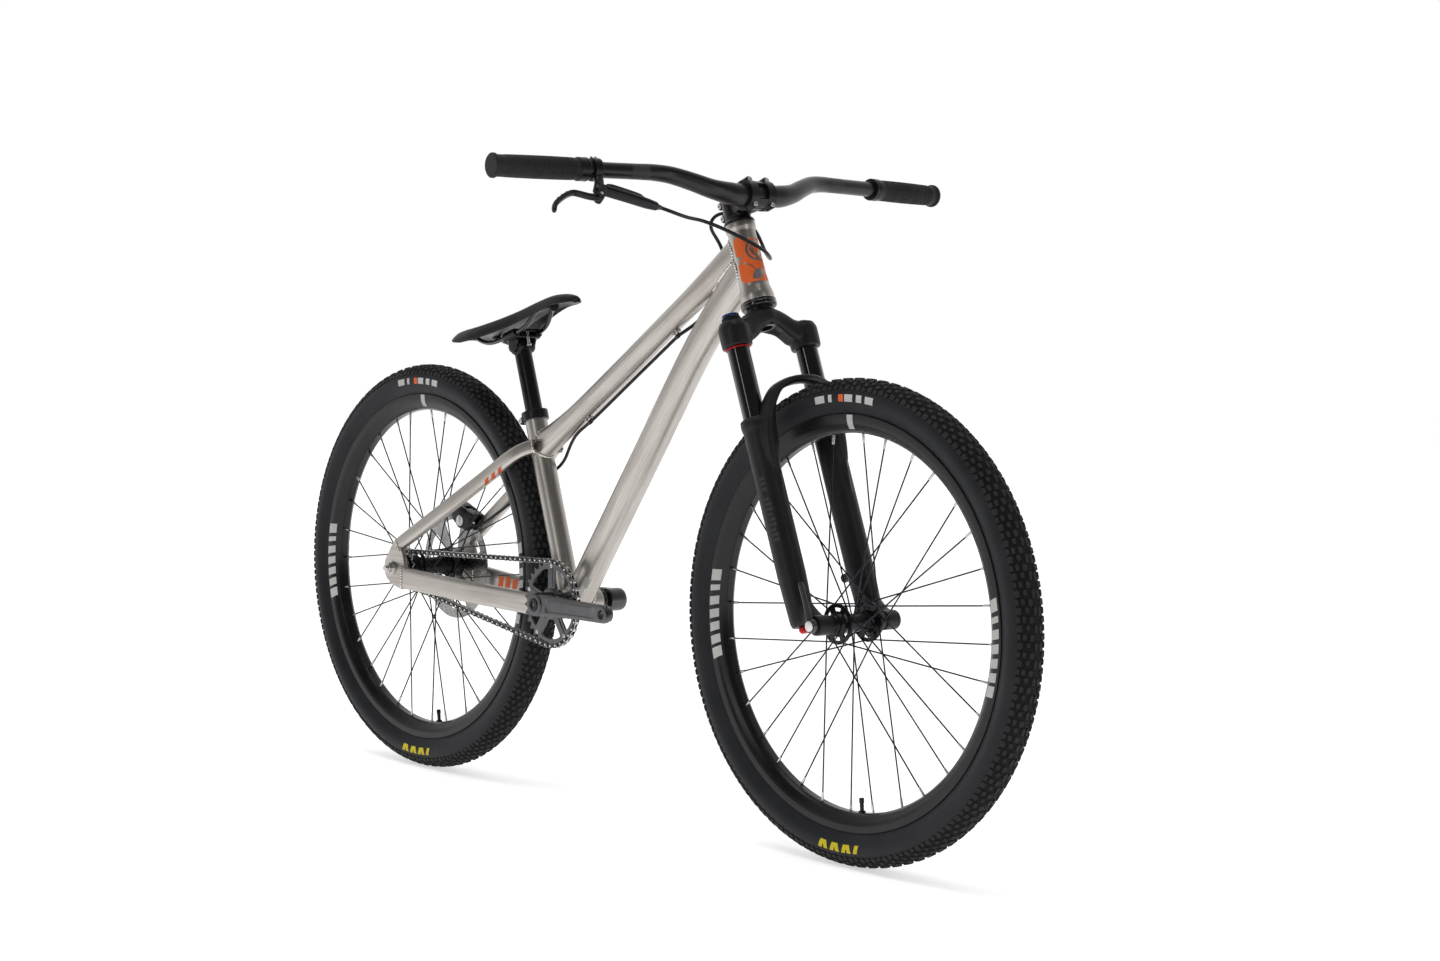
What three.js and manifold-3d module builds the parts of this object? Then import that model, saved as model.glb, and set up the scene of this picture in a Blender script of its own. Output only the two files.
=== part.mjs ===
// Dirt jump bike: raw aluminium hardtail frame, 26 inch wheels, short travel suspension fork,
// single speed drive, hydraulic disc brake on the rear wheel.
// Millimetres. +X is forward, +Y is the rider's left, +Z is up. The origin is on the ground,
// midway between the wheels.
import * as THREE from "three";
import { mergeVertices } from "three/addons/utils/BufferGeometryUtils.js";
import Module from "manifold-3d";

const wasm = await Module();
wasm.setup();

const { Vector2, Vector3, Shape, Path } = THREE;
const rad = THREE.MathUtils.degToRad;
const up = new Vector3(0, 0, 1);
const lateral = new Vector3(0, 1, 0);
const RIGHT = -1;
const LEFT = 1;

// Clearances
const gap = 0.3; // between pieces that are welded, pressed or bolted together
const runningGap = 0.35; // between a moving piece and what it runs in
const overrun = 3; // how far a cut runs past what it cuts

// Wheels
const tyreRadius = 333.5;
const tyreWidth = 53;
const tyreSink = 4.5; // how far the tyre's section sits down in the rim
const tyreWall = 4;
const tyreCrownWidth = 18;
const rimWellDepth = 11;
const rimBedDepth = 26.5;
const rimWidth = 36;
const rimFlangeWall = 2.2;
const beadThickness = 3;
const spokeDiameter = 2;
const spokeCrossings = 3;
const spokesPerSide = 16;
const spokeRimOffset = 3;
const spokeHeadInset = 2.5;
const spokeOverlap = 0.2;
const valveDiameter = 7;
const valveLength = 22;
const frontWheelTurn = 4.6;
const rearWheelTurn = 7;
const flangeRadius = 28;
const flangeThickness = 3;
const barrelRadius = 15;
const wheelSides = 32;
const hubSides = 12;
const tyreCurve = [45, 85, 124];
const tyreInnerCurve = [0, 70];
const rimFlangeRadius = tyreRadius - tyreWidth + tyreSink;
const rimWellRadius = rimFlangeRadius - rimWellDepth;
const rimBedRadius = rimFlangeRadius - rimBedDepth;

// Front hub and axle
const frontHubWidth = 100;
const frontFlangeRight = 33;
const frontFlangeLeft = 24;
const frontAxleDiameter = 15;
const endCapRadius = 12;
const discSeatRadius = 21.5;

// Rear hub, axle, cog and disc
const rearHubWidth = 135;
const rearFlangeRight = 27;
const rearFlangeLeft = 33;
const rearAxleDiameter = 10;
const axleNutRadius = 9;
const axleNutHeight = 8.5;
const axleWasherRadius = 11;
const axleWasherHeight = 2;
const axleStub = 5;
const driverRadius = 17.2;
const rotorRadius = 90;
const rotorTrack = 15;
const rotorThickness = 1.8;
const rotorCentreY = 52.2;
const rotorCarrierRadius = 26;
const rotorArms = 6;

// Chain drive
const chainPitch = 12.7;
const ringTeeth = 32;
const cogTeeth = 13;
const chainline = 50;
const chainWidth = 8;
const chainHeight = 8.4;
const chainSideGap = 0.4;
const toothThickness = 2.8;
const toothRise = 2.5;
const toothRoot = 3.4;
const ringRimInner = 54;
const ringHubRadius = 25;
const ringArms = 5;
const cogBore = 17.6;

// Cranks
const crankLength = 165;
const spindleRadius = 12;
const armInnerY = 55;
const armOuterY = 85;
const armBossRadius = 18;
const armHubHeight = 34;
const armEndHeight = 27;
const armHubThickness = 16;
const armEndThickness = 13;
const armHubY = 75;
const armEndY = 78.5;
const pedalThread = 14;
const pedalBossRadius = 12;
const pedalBossRise = 0.5;

// Bottom bracket and frame
const rearRoom = 64.5; // from the rear tyre's front to the bottom bracket, level
const rearCentreShare = 0.995; // of the stays' length, level
const bracketDrop = 25.5; // below the axles
const frontReach = 405; // from the bottom bracket to the head tube's foot, level
const frontRise = 461; // and upright
const headSetback = 209; // the head tube's foot behind the front axle
const seatSetback = 115; // the seat tube's top behind the bottom bracket
const seatTubeRise = 286; // and above it
const bracketWidth = 73;
const bracketRadius = 21;
const cupRadius = 20.5;
const cupHeight = 8;
const tubeWall = 2.2;
const frameSides = 14;
const forkSides = 12;
const smallSides = 12;
const pinSides = 8;
const headAngle = 68.94;
const headLength = 118;
const headTopRadius = 20;
const headFootRadius = 24.5;
const headCollar = 9;
const headTopBore = 16.9;
const headFootBore = 21.4;
const seatAngle = 71.02;
const seatTubeRadius = 17.5;
const seatpostRadius = 13.6;
const topTubeWidth = 35;
const topTubeHeight = 35;
const topTubeHeadHeight = 50;
const topTubeSeatHeight = 46;
// Places along the main tubes, as shares of one length: the front ones from the head tube's foot,
// the rear ones from the seat tube's top or the bottom bracket
const mainTubeLength = 500;
const topTubeRearShares = [[0.036, -0.106], [0.21, -0.004], [0.446, 0.15]];
const topTubeFrontShares = [[-0.264, 0.02], [-0.058, 0.158]];
const downTubeWidth = 45;
const downTubeHeadHeight = 58;
const downTubeRearShares = [[-0.004, 0], [0.128, 0.188], [0.332, 0.474]];
const downTubeFrontShares = [[-0.252, -0.132], [-0.042, 0.106]];
const hoseGuideShares = [0.274, 0.682];
const guideLength = 12;
const guideWidth = 10;
const guideDrop = 4;

// Rear triangle
const chainstayHeight = 34;
const chainstayWidth = 11.5;
const chainstayRearWidth = 13;
// Places along the stays, as shares of their length. The front ones count from the bottom bracket's
// end or the seat tube's top, the rear ones from the rear axle at the middle of the dropout.
const chainstayFrontShares = [
  [-0.01, -0.01525, -0.0225],
  [-0.105, -0.0075, -0.02125],
  [-0.19, 0.00025, -0.0175],
  [-0.265, 0.01025, -0.0125],
];
const chainstayRearShares = [
  [0.515, -0.04325, -0.06375],
  [0.265, -0.01575, -0.04875],
  [0.1275, -0.00275, -0.04],
  [0.085, 0, -0.0375],
];
const seatstayHeight = 20;
const seatstayWidth = 16;
const seatstayFrontShares = [
  [0.075, 0.01, -0.1225],
  [0.0225, 0.03125, -0.14125],
  [-0.0425, 0.05, -0.1775],
];
const seatstayRearShares = [
  [0.515, -0.06825, 0.38375],
  [0.265, -0.0345, 0.23375],
  [0.09, -0.00825, 0.12875],
  [0.0475, -0.00175, 0.10375],
];
const staySides = 12;
const chainstaySquareness = 0.5;
const seatstaySquareness = 0.85;
const dropoutThickness = 7;
const dropoutLength = 50;
const dropoutShares = [
  [0.7, -0.63],
  [0.7, 0.04],
  [0.56, 0.55],
  [0.24, 0.95],
  [-0.02, 0.77],
  [-0.26, 0.45],
  [-0.44, 0.19],
  [-0.44, -0.21],
  [-0.2, -0.45],
  [0.18, -0.6],
];
const dropoutSlot = 12;

// Seatpost collar
const collarRadius = 21;
const collarHeight = 15;
const collarLip = 4;
const collarEarLength = 11;
const collarEarWidth = 17;
const collarSlit = 3;

// Seatpost and saddle
const seatpostInsert = 95;
const seatpostRise = 105;
const seatpostHeadRadius = 13;
const seatpostHeadWidth = 30;
const railRadius = 3.5;
const railSpacing = 44;
// Places on the rails and the saddle, as shares of its length, from the post's head
const saddleLength = 250;
const railShares = [
  [-0.516, 0.052],
  [-0.452, 0.03],
  [-0.38, 0.02],
  [-0.292, 0.03],
  [-0.156, 0.068],
  [-0.052, 0.102],
  [0.02, 0.148],
  [0.08, 0.22],
  [0.148, 0.244],
];
const railNoseSpacing = 20;
const railSteps = 27;
const clampPinRadius = 4;
const clampCheek = 5;
const clampCheekLength = 22;
const clampLength = 32;
const clampHeight = 17;
const clampWidth = 53;
// Each with its place, half width, top and depth
const saddleShares = [
  [-0.62, 0.12, 0.072, 0.036],
  [-0.604, 0.2, 0.088, 0.06],
  [-0.556, 0.248, 0.104, 0.084],
  [-0.468, 0.264, 0.12, 0.1],
  [-0.348, 0.24, 0.148, 0.104],
  [-0.208, 0.18, 0.19, 0.1],
  [-0.068, 0.128, 0.236, 0.092],
  [0.072, 0.1, 0.284, 0.084],
  [0.212, 0.088, 0.322, 0.072],
  [0.312, 0.082, 0.332, 0.064],
  [0.372, 0.066, 0.326, 0.048],
  [0.4, 0.036, 0.318, 0.032],
];
const saddleCrown = 5;
const saddleWingDrop = 12;
const saddleWall = 7;

// Fork, in the steering frame: z runs up the steering axis, x forward, from the head tube's foot
const axleForward = 38.5;
const tyreRoom = 148; // from the tyre's top to the head tube's foot
const wiperDrop = 30; // the wipers' tops below the tyre's top
const legFootRise = 7.5; // the legs' feet above the axle
const legForward = 6.5;
const legSpacing = 130;
const stanchionRadius = 16;
const stanchionWall = 2;
const crownFoot = 72;
const shoulderTop = 34;
const crownRadius = 22;
const crownTop = 11;
const crownDepth = 32;
const stanchionInsert = 140;
const legRadius = 20;
const legFootRadius = 17.5;
const wiperRadius = 21.8;
const wiperHeight = 10;
const steererTopRadius = 14.3;
const steererFootRadius = 19;
const steererBore = 11.5;
const steererTaper = 45;
const steererTop = 159;
const axleBossRadius = 14;
const axleBossOuterY = 76;
const archForward = 46;
const archThickness = 11;
const archWidth = 26;
const discTabLength = 20;
const discTabSpacing = 74;
const knobRadius = 13;
const knobHeight = 9;
const knobStubRadius = 4;
const airCapRadius = 11;
const airCapHeight = 2.5;
const shoulderWall = 5;
const reboundStubRadius = 2;
const forkTravel = 76;
const archRise = 44;
const archSizeShares = [[1.3, 1.2], [1.1, 1.3], [1, 1.2], [0.95, 1], [0.9, 1]];
const archSquareness = 0.7;
const discTabWidth = 12;
const axleFlangeThickness = 2.7;
const axleFlangeRadius = 10;
const axleStubRadius = 5;
const axleCapThickness = 1.5;
const axleLeverHubWidth = 5.5;
const reboundKnobRadius = 7;
const reboundKnobHeight = 9;
const axleLeverLength = 62;
const axleLeverWidth = 9;
const axleLeverThickness = 5;
// Along the lever, with its width and thickness
const axleLeverShares = [[0, 1.3, 1], [0.5, 1, 0.8], [0.85, 1.1, 0.8], [1, 0.7, 0.6]];

const axleDown = tyreRadius + tyreRoom;
const wiperTop = tyreRoom + wiperDrop;
const legFoot = axleDown - legFootRise;

// Cockpit, in the steering frame
const headsetCupHeight = 9.4;
const headsetCupRadius = 26;
const headsetCoverHeight = 7;
const headsetCoverRadius = 22.5;
const stemReach = 44;
const stemMiddle = 144;
const stemHeight = 36;
const stemCollarRadius = 19;
const stemClampRadius = 22;
const stemClampWidth = 47;
const barClampRadius = 15.9;
const barGripRadius = 11.1;
const topCapRadius = 17;
const topCapHeight = 4;
const barSides = 12;
// Places along the bar's bends, as shares of their reach, from its middle
const barBendReach = 200;
const barShares = [
  [0, 0, 0],
  [0, 0.12, 0],
  [-0.0025, 0.24, 0.0075],
  [-0.0175, 0.38, 0.04],
  [-0.05, 0.52, 0.1],
  [-0.0875, 0.66, 0.155],
  [-0.11, 0.79, 0.1775],
  [-0.122, 0.92, 0.1815],
];
const barTaper = 0.55;
const barSweepBack = 5.4;
const barSweepUp = 1.2;
const barHalfWidth = 416;
const gripLength = 134;
const gripRadius = 15.7;
const gripFlangeRadius = 17;
const gripFlange = 5;
const gripCap = 3;
const lockCollarWidth = 15;
const lockCollarRadius = 16.5;
const leverClampWidth = 13;
const leverClampRadius = 16.5;
const leverInset = 14;
const leverDrop = 48;
const masterRadius = 7.8;
// Places on the lever set, inboard and down from the clamp, as shares of its reach
const leverReach = 100;
const masterShares = [[-0.09, 0.36], [0.73, 0.66]];
const reservoirRadius = 7.5;
const reservoirShares = [[0.14, 0.31], [0.58, 0.49]];
const reservoirLift = 6;
const pivotShares = [-0.14, 0.52];
const leverPivotRadius = 6;
const leverThickness = 9;
const bladeShares = [
  [-0.14, 0.52],
  [-0.33, 0.51],
  [-0.55, 0.46],
  [-0.69, 0.52],
  [-0.85, 0.63],
  [-0.93, 0.71],
  [-0.98, 0.82],
];
const bladeWidth = 9;
const bladeWidthShares = [1, 0.9, 0.8, 0.8, 0.8, 0.85, 0.6];
const leverEarThickness = 3;
const leverPinRadius = 2.5;
const leverRoomGap = 1.5;
// The hose's route round the head tube, from the head tube's foot
const hoseLoop = [
  [-20, -90, 112],
  [-9, -55, 100],
  [5, -20, 83],
  [6, 8, 72],
  [-14, 36, 61],
  [-48, 55, 73],
  [-70, 60, 100],
  [-90, 58, 119],
  [-110, 52, 128],
  [-134, 46, 133],
  [-151, 38, 123],
  [-139, 29, 106],
  [-112, 24, 86],
  [-98, 24, 55],
  [-108, 24, 22],
  [-132, 22, -10],
  [-154, 10, -36],
];
const rearHoseLine = [
  [-150, 0, 535],
  [-165, 12, 512],
  [-190, 30, 505],
  [-250, 30, 492],
  [-330, 36, 452],
  [-410, 44, 412],
];
const hoseRadius = 2.6;
const hoseSides = 6;
const frontHoseSteps = 27;
const rearHoseSteps = 24;
const roomSides = 16;

// Rear brake
const caliperAngle = 68;
const caliperRadius = 86;
const caliperLength = 56;
const caliperInner = 70;
const caliperOuter = 104;
const caliperInboard = 15;
const caliperOutboard = 14;
const caliperSlot = 9.2;
const caliperBridge = 7;
const padLength = 28;
const padInner = 74;
const padOuter = 89;
const padThickness = 2.4;
const padRunningGap = 0.4;

// Finishes
const rawAluminium = finish(0xb9b3aa, 0.38, 0.95);
const blackAnodised = finish(0x17181b, 0.4, 0.6);
const satinBlack = finish(0x202124, 0.55, 0.3);
const glossBlack = finish(0x08080a, 0.12, 0.8);
const blackRubber = finish(0x161617, 0.85, 0);
const greyAnodised = finish(0x55565a, 0.4, 0.85);
const steel = finish(0xa9aaac, 0.35, 0.95);
const darkSteel = finish(0x3c3d40, 0.4, 0.9);
const redAnodised = finish(0xc42a25, 0.35, 0.7);
const saddleCoverFinish = finish(0x141416, 0.6, 0);

function finish(color, roughness, metalness) {
  return new THREE.MeshStandardMaterial({ color, roughness, metalness });
}

// Solids from geometries

function solidOf(geometry) {
  const bare = geometry.clone();
  bare.deleteAttribute("normal");
  bare.deleteAttribute("uv");
  const merged = mergeVertices(bare);
  const place = merged.attributes.position;
  const triVerts = [];
  const corners = merged.index.array;
  let volume = 0;
  const corner = [new Vector3(), new Vector3(), new Vector3()];
  for (let i = 0; i < corners.length; i += 3) {
    const [a, b, c] = [corners[i], corners[i + 1], corners[i + 2]];
    if (a === b || b === c || c === a) continue;
    triVerts.push(a, b, c);
    [a, b, c].forEach((index, k) => corner[k].fromBufferAttribute(place, index));
    volume += corner[0].dot(corner[1].clone().cross(corner[2]));
  }
  if (volume < 0) triVerts.reverse();
  const vertProperties = new Float32Array(place.array);
  return new wasm.Manifold(new wasm.Mesh({
    numProp: 3,
    vertProperties,
    triVerts: new Uint32Array(triVerts),
  }));
}

function geometryOf(solid) {
  const mesh = solid.getMesh();
  const geometry = new THREE.BufferGeometry();
  geometry.setAttribute("position", new THREE.BufferAttribute(mesh.vertProperties.slice(), 3));
  geometry.setIndex(new THREE.BufferAttribute(mesh.triVerts.slice(), 1));
  geometry.computeVertexNormals();
  return geometry;
}

function joined(...solids) {
  return solids.reduce((whole, solid) => whole.add(solid));
}

function cut(solid, ...tools) {
  return tools.reduce((rest, tool) => rest.subtract(tool), solid);
}

function piece(name, solid, material, parent) {
  const mesh = new THREE.Mesh(geometryOf(solid), material);
  mesh.name = name;
  parent.add(mesh);
  return mesh;
}

// A round bar between two points, which can taper
function rod(from, to, radius, endRadius = radius, sides = frameSides) {
  const along = to.clone().sub(from);
  const geometry = new THREE.CylinderGeometry(endRadius, radius, along.length(), sides);
  geometry.applyQuaternion(new THREE.Quaternion().setFromUnitVectors(lateral, along.clone().normalize()));
  const middle = from.clone().add(to).multiplyScalar(0.5);
  geometry.translate(middle.x, middle.y, middle.z);
  return solidOf(geometry);
}

// A bar along Y, at a place in the XZ plane
function crossBar(x, z, fromY, toY, radius, sides = frameSides) {
  return rod(new Vector3(x, fromY, z), new Vector3(x, toY, z), radius, radius, sides);
}

function block(lowX, highX, lowY, highY, lowZ, highZ) {
  const geometry = new THREE.BoxGeometry(highX - lowX, highY - lowY, highZ - lowZ);
  geometry.translate((lowX + highX) / 2, (lowY + highY) / 2, (lowZ + highZ) / 2);
  return solidOf(geometry);
}

// A closed [radius, height] outline turned about the Y axis
function turned(outline, sides, phase = 0) {
  const points = outline.map(([radius, height]) => new Vector2(radius, height));
  points.push(points[0].clone());
  return solidOf(new THREE.LatheGeometry(points, sides, phase));
}

// The same, about the Z axis
function turnedUpright(outline, sides = frameSides) {
  const points = outline.map(([radius, height]) => new Vector2(radius, height));
  points.push(points[0].clone());
  const geometry = new THREE.LatheGeometry(points, sides);
  geometry.rotateX(Math.PI / 2);
  return solidOf(geometry);
}

// A flat outline in the XZ plane, with holes, from one Y to another
function plate(outline, holes, fromY, toY) {
  const shape = new Shape(outline.map(([x, z]) => new Vector2(x, z)));
  shape.holes = holes.map((hole) => new Path(hole.map(([x, z]) => new Vector2(x, z))));
  const geometry = new THREE.ExtrudeGeometry(shape, { depth: Math.abs(toY - fromY), bevelEnabled: false });
  geometry.rotateX(Math.PI / 2);
  geometry.translate(0, Math.max(fromY, toY), 0);
  return solidOf(geometry);
}

function circle(x, z, radius, count, phase = 0) {
  return Array.from({ length: count }, (_, i) => {
    const turn = phase + (2 * Math.PI * i) / count;
    return [x + radius * Math.cos(turn), z + radius * Math.sin(turn)];
  });
}

// A round hole whose flats, not its corners, keep to the radius
function roundHole(x, z, radius, count) {
  return circle(x, z, radius / Math.cos(Math.PI / count), count);
}

// The radius at which a bore's flats keep to the given radius
function boreFor(radius, sides = frameSides) {
  return radius / Math.cos(Math.PI / sides);
}

// A bar through a list of stations, each with a place, a width and a height.
// Squareness 1 is an ellipse, and less is closer to a box.
function loft(stations, sides = frameSides, squareness = 1) {
  const places = [];
  stations.forEach((station, k) => {
    const before = stations[Math.max(k - 1, 0)].at;
    const after = stations[Math.min(k + 1, stations.length - 1)].at;
    const along = after.clone().sub(before).normalize();
    const tall = along.clone().cross(station.side ?? lateral).normalize();
    const wide = tall.clone().cross(along).normalize();
    for (let i = 0; i < sides; i += 1) {
      const turn = (2 * Math.PI * i) / sides;
      const across = Math.sign(Math.cos(turn)) * Math.abs(Math.cos(turn)) ** squareness;
      const above = Math.sign(Math.sin(turn)) * Math.abs(Math.sin(turn)) ** squareness;
      const place = station.at.clone();
      place.addScaledVector(wide, (across * station.width) / 2);
      place.addScaledVector(tall, (above * station.height) / 2);
      places.push(place);
    }
  });
  return skinned(places, stations.length, sides);
}

// A closed skin over rings of places, with flat ends
function skinned(places, rings, sides) {
  const index = [];
  for (let k = 0; k < rings - 1; k += 1) {
    for (let i = 0; i < sides; i += 1) {
      const a = k * sides + i;
      const b = k * sides + ((i + 1) % sides);
      index.push(a, b, a + sides, b, b + sides, a + sides);
    }
  }
  const last = (rings - 1) * sides;
  for (let i = 1; i < sides - 1; i += 1) {
    index.push(0, i + 1, i);
    index.push(last, last + i, last + i + 1);
  }
  const geometry = new THREE.BufferGeometry();
  geometry.setAttribute("position", new THREE.Float32BufferAttribute(places.flatMap((p) => p.toArray()), 3));
  geometry.setIndex(index);
  return solidOf(geometry);
}

// A round tube of one size along a smooth curve
function tubeAlong(points, radius, sides, steps) {
  const shape = new Shape(circle(0, 0, radius, sides).map(([x, y]) => new Vector2(x, y)));
  const extrudePath = new THREE.CatmullRomCurve3(points);
  return solidOf(new THREE.ExtrudeGeometry(shape, { steps, extrudePath, bevelEnabled: false }));
}

function station(x, y, z, width, height) {
  return { at: new Vector3(x, y, z), width, height };
}

function mirrored(solid) {
  const geometry = geometryOf(solid);
  geometry.scale(1, -1, 1);
  return solidOf(geometry);
}

function onSide(solid, side) {
  return side === LEFT ? solid : mirrored(solid);
}

function moved(solid, matrix) {
  const geometry = geometryOf(solid);
  geometry.applyMatrix4(matrix);
  return solidOf(geometry);
}

// Frames of reference

const rearCentre = tyreRadius + rearRoom;
const stayLength = rearCentre / rearCentreShare;
const wheelbase = rearCentre + frontReach + headSetback;
const bracketX = rearCentre - wheelbase / 2;
const bracketZ = tyreRadius - bracketDrop;
const headX = bracketX + frontReach;
const headZ = bracketZ + frontRise;
const seatTopX = bracketX - seatSetback;
const seatTopZ = bracketZ + seatTubeRise;
const seatpostHeadZ = seatTopZ + seatpostRise;

const bike = new THREE.Group();
const steering = new THREE.Group();
steering.position.set(headX, 0, headZ);
steering.rotation.y = -rad(90 - headAngle);
bike.add(steering);
steering.updateMatrixWorld(true);
const steeringMatrix = steering.matrixWorld.clone();

const rearAxle = new Vector3(-wheelbase / 2, 0, tyreRadius);
const frontAxleLocal = new Vector3(axleForward, 0, -axleDown);
const seatLean = 1 / Math.tan(rad(seatAngle));

function seatAxis(z) {
  return new Vector3(seatTopX - seatLean * (z - seatTopZ), 0, z);
}

// Frame tubes

function headTubeSolid(grow = 0) {
  const outer = [
    [headFootRadius + grow, -grow],
    [headFootRadius + grow, headCollar],
    [headTopRadius + grow, headLength - headCollar],
    [headTopRadius + grow, headLength + grow],
  ];
  const inner = [[headTopBore, headLength + grow], [headFootBore, -grow]];
  const outline = grow ? [[0, -grow], ...outer, [0, headLength + grow]] : [...outer, ...inner];
  return moved(turnedUpright(outline), steeringMatrix);
}

const topTubeHeights = [topTubeSeatHeight, topTubeHeight, topTubeHeight, topTubeHeight, topTubeHeadHeight];

// The places of a main tube, from the shares at its two ends
function mainTubeLine(rearX, rearZ, rearShares, frontShares) {
  const from = (x, z) => ([along, rise]) => [x + along * mainTubeLength, z + rise * mainTubeLength];
  return [...rearShares.map(from(rearX, rearZ)), ...frontShares.map(from(headX, headZ))];
}

const topTubePoints = mainTubeLine(seatTopX, seatTopZ, topTubeRearShares, topTubeFrontShares);
const downTubePoints = mainTubeLine(bracketX, bracketZ, downTubeRearShares, downTubeFrontShares);

function topTubeSolid(grow, sides = frameSides) {
  return loft(topTubePoints.map(([x, z], k) => (
    station(x, 0, z, topTubeWidth + 2 * grow, topTubeHeights[k] + 2 * grow)
  )), sides);
}

function downTubeSolid(grow, sides = frameSides) {
  const last = downTubePoints.length - 1;
  return loft(downTubePoints.map(([x, z], k) => {
    const height = k === last ? downTubeHeadHeight : downTubeWidth;
    return station(x, 0, z, downTubeWidth + 2 * grow, height + 2 * grow);
  }), sides);
}

function bracketShellSolid(grow = 0) {
  const half = bracketWidth / 2 + grow;
  return crossBar(bracketX, bracketZ, -half, half, bracketRadius + grow);
}

function seatTubeSolid(grow, topZ = seatTopZ) {
  return rod(seatAxis(bracketZ), seatAxis(topZ + grow), seatTubeRadius + grow);
}

// Everything ahead of the steering axis
const aheadOfHead = moved(
  block(0, headLength, -headLength, headLength, -headLength, 2 * headLength),
  steeringMatrix,
);

const shellCut = bracketShellSolid(gap);
const headCut = headTubeSolid(gap);
const seatTubeCut = seatTubeSolid(gap, seatTopZ + overrun);

piece("head_tube", headTubeSolid(), rawAluminium, bike);

const seatBore = rod(seatAxis(bracketZ), seatAxis(seatTopZ + overrun), seatpostRadius + gap);
piece("seat_tube", cut(seatTubeSolid(0), seatBore, shellCut), rawAluminium, bike);

const bracketBore = crossBar(bracketX, bracketZ, -bracketWidth, bracketWidth, bracketRadius - tubeWall * 2);
piece("bottom_bracket_shell", cut(bracketShellSolid(), bracketBore), rawAluminium, bike);

function underTopTube(x) {
  const [, bend, middle] = topTubePoints;
  const slope = (middle[1] - bend[1]) / (middle[0] - bend[0]);
  const tilt = Math.atan(slope);
  const z = middle[1] + slope * (x - middle[0]) - topTubeHeight / 2 / Math.cos(tilt);
  return { at: new Vector3(x, 0, z), tilt };
}

function hoseGuide(x) {
  const { at, tilt } = underTopTube(x);
  const [long, wide] = [guideLength / 2, guideWidth / 2];
  const pad = block(-long, long, -wide, wide, -guideDrop, guideDrop);
  const matrix = new THREE.Matrix4().makeRotationY(-tilt).setPosition(at);
  return moved(pad, matrix);
}

const hoseGuideX = hoseGuideShares.map((share) => seatTopX + share * mainTubeLength);
const topTube = joined(topTubeSolid(0), ...hoseGuideX.map(hoseGuide));
const topTubeHollow = topTubeSolid(-tubeWall, frameSides / 2);
const topTubeRest = cut(topTube, topTubeHollow, headCut, aheadOfHead, seatTubeCut);
piece("top_tube", largest(topTubeRest), rawAluminium, bike);

const topTubeCut = topTubeSolid(gap);
const downTubeHollow = downTubeSolid(-tubeWall, frameSides / 2);
const downTubeCuts = [downTubeHollow, topTubeCut, headCut, aheadOfHead, shellCut, seatTubeCut];
const downTube = cut(downTubeSolid(0), ...downTubeCuts);
piece("down_tube", largest(downTube), rawAluminium, bike);

// The biggest body of a cut, without the slivers that a cut leaves on the far side
function largest(solid) {
  const bodies = solid.decompose();
  return bodies.sort((a, b) => b.volume() - a.volume())[0];
}

const cupCut = crossBar(bracketX, bracketZ, bracketWidth / 2, bracketWidth, cupRadius + gap);

const dropoutInner = rearHubWidth / 2 + gap;
const dropoutOuter = dropoutInner + dropoutThickness;
const stayFoot = new Vector3(rearAxle.x, (dropoutInner + dropoutOuter) / 2, rearAxle.z);

function stayLine(front, frontShares, rearShares) {
  const from = (anchor) => ([x, y, z]) => anchor.clone().addScaledVector(new Vector3(x, y, z), stayLength);
  return [...frontShares.map(from(front)), ...rearShares.map(from(stayFoot))];
}

const bracketEnd = new Vector3(bracketX, bracketWidth / 2, bracketZ);
const seatTubeSide = new Vector3(seatTopX, seatTubeRadius, seatTopZ);
const chainstayLine = stayLine(bracketEnd, chainstayFrontShares, chainstayRearShares);
const seatstayLine = stayLine(seatTubeSide, seatstayFrontShares, seatstayRearShares);

function chainstaySolid(grow = 0) {
  return loft(chainstayLine.map(({ x, y, z }, k) => {
    const width = k < chainstayFrontShares.length ? chainstayWidth : chainstayRearWidth;
    return station(x - grow, y, z, width + 2 * grow, chainstayHeight + 2 * grow);
  }), staySides, chainstaySquareness);
}

function seatstaySolid(grow = 0) {
  return loft(seatstayLine.map(({ x, y, z }) => (
    station(x - grow, y, z - grow, seatstayWidth + 2 * grow, seatstayHeight + 2 * grow)
  )), staySides, seatstaySquareness);
}

const chainstayCut = chainstaySolid(gap);
const seatstayCut = seatstaySolid(gap);

function slotHole(x, z, length, width) {
  const half = 6;
  const turn = (i) => Math.PI / 2 + (Math.PI * i) / half;
  const arc = (cx, flip) => Array.from({ length: half + 1 }, (_, i) => [
    cx + flip * (width / 2) * Math.cos(turn(i)),
    z + flip * (width / 2) * Math.sin(turn(i)),
  ]);
  return [...arc(x - length / 2, 1), ...arc(x + length / 2, -1)];
}

function dropout(side) {
  const slot = slotHole(rearAxle.x, rearAxle.z, dropoutSlot, rearAxleDiameter + 2 * gap);
  const { x: axleX, z: axleZ } = rearAxle;
  const outline = dropoutShares.map(([x, z]) => [axleX + x * dropoutLength, axleZ + z * dropoutLength]);
  const flat = plate(outline, [slot], dropoutInner, dropoutOuter);
  return onSide(largest(cut(flat, chainstayCut, seatstayCut)), side);
}

for (const [name, side] of [["right", RIGHT], ["left", LEFT]]) {
  const chainstay = largest(cut(chainstaySolid(), shellCut, seatTubeCut, cupCut));
  const seatstay = largest(cut(seatstaySolid(), seatTubeCut, topTubeCut));
  piece(`chainstay_${name}`, onSide(chainstay, side), rawAluminium, bike);
  piece(`seatstay_${name}`, onSide(seatstay, side), rawAluminium, bike);
  piece(`dropout_${name}`, dropout(side), rawAluminium, bike);
}

// Seatpost collar: a ring with a lip, and a slit ear for its bolt behind the tube

function seatFrameMatrix(z) {
  const turn = new THREE.Matrix4().makeRotationY(-rad(90 - seatAngle));
  return turn.setPosition(seatAxis(z));
}

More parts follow.
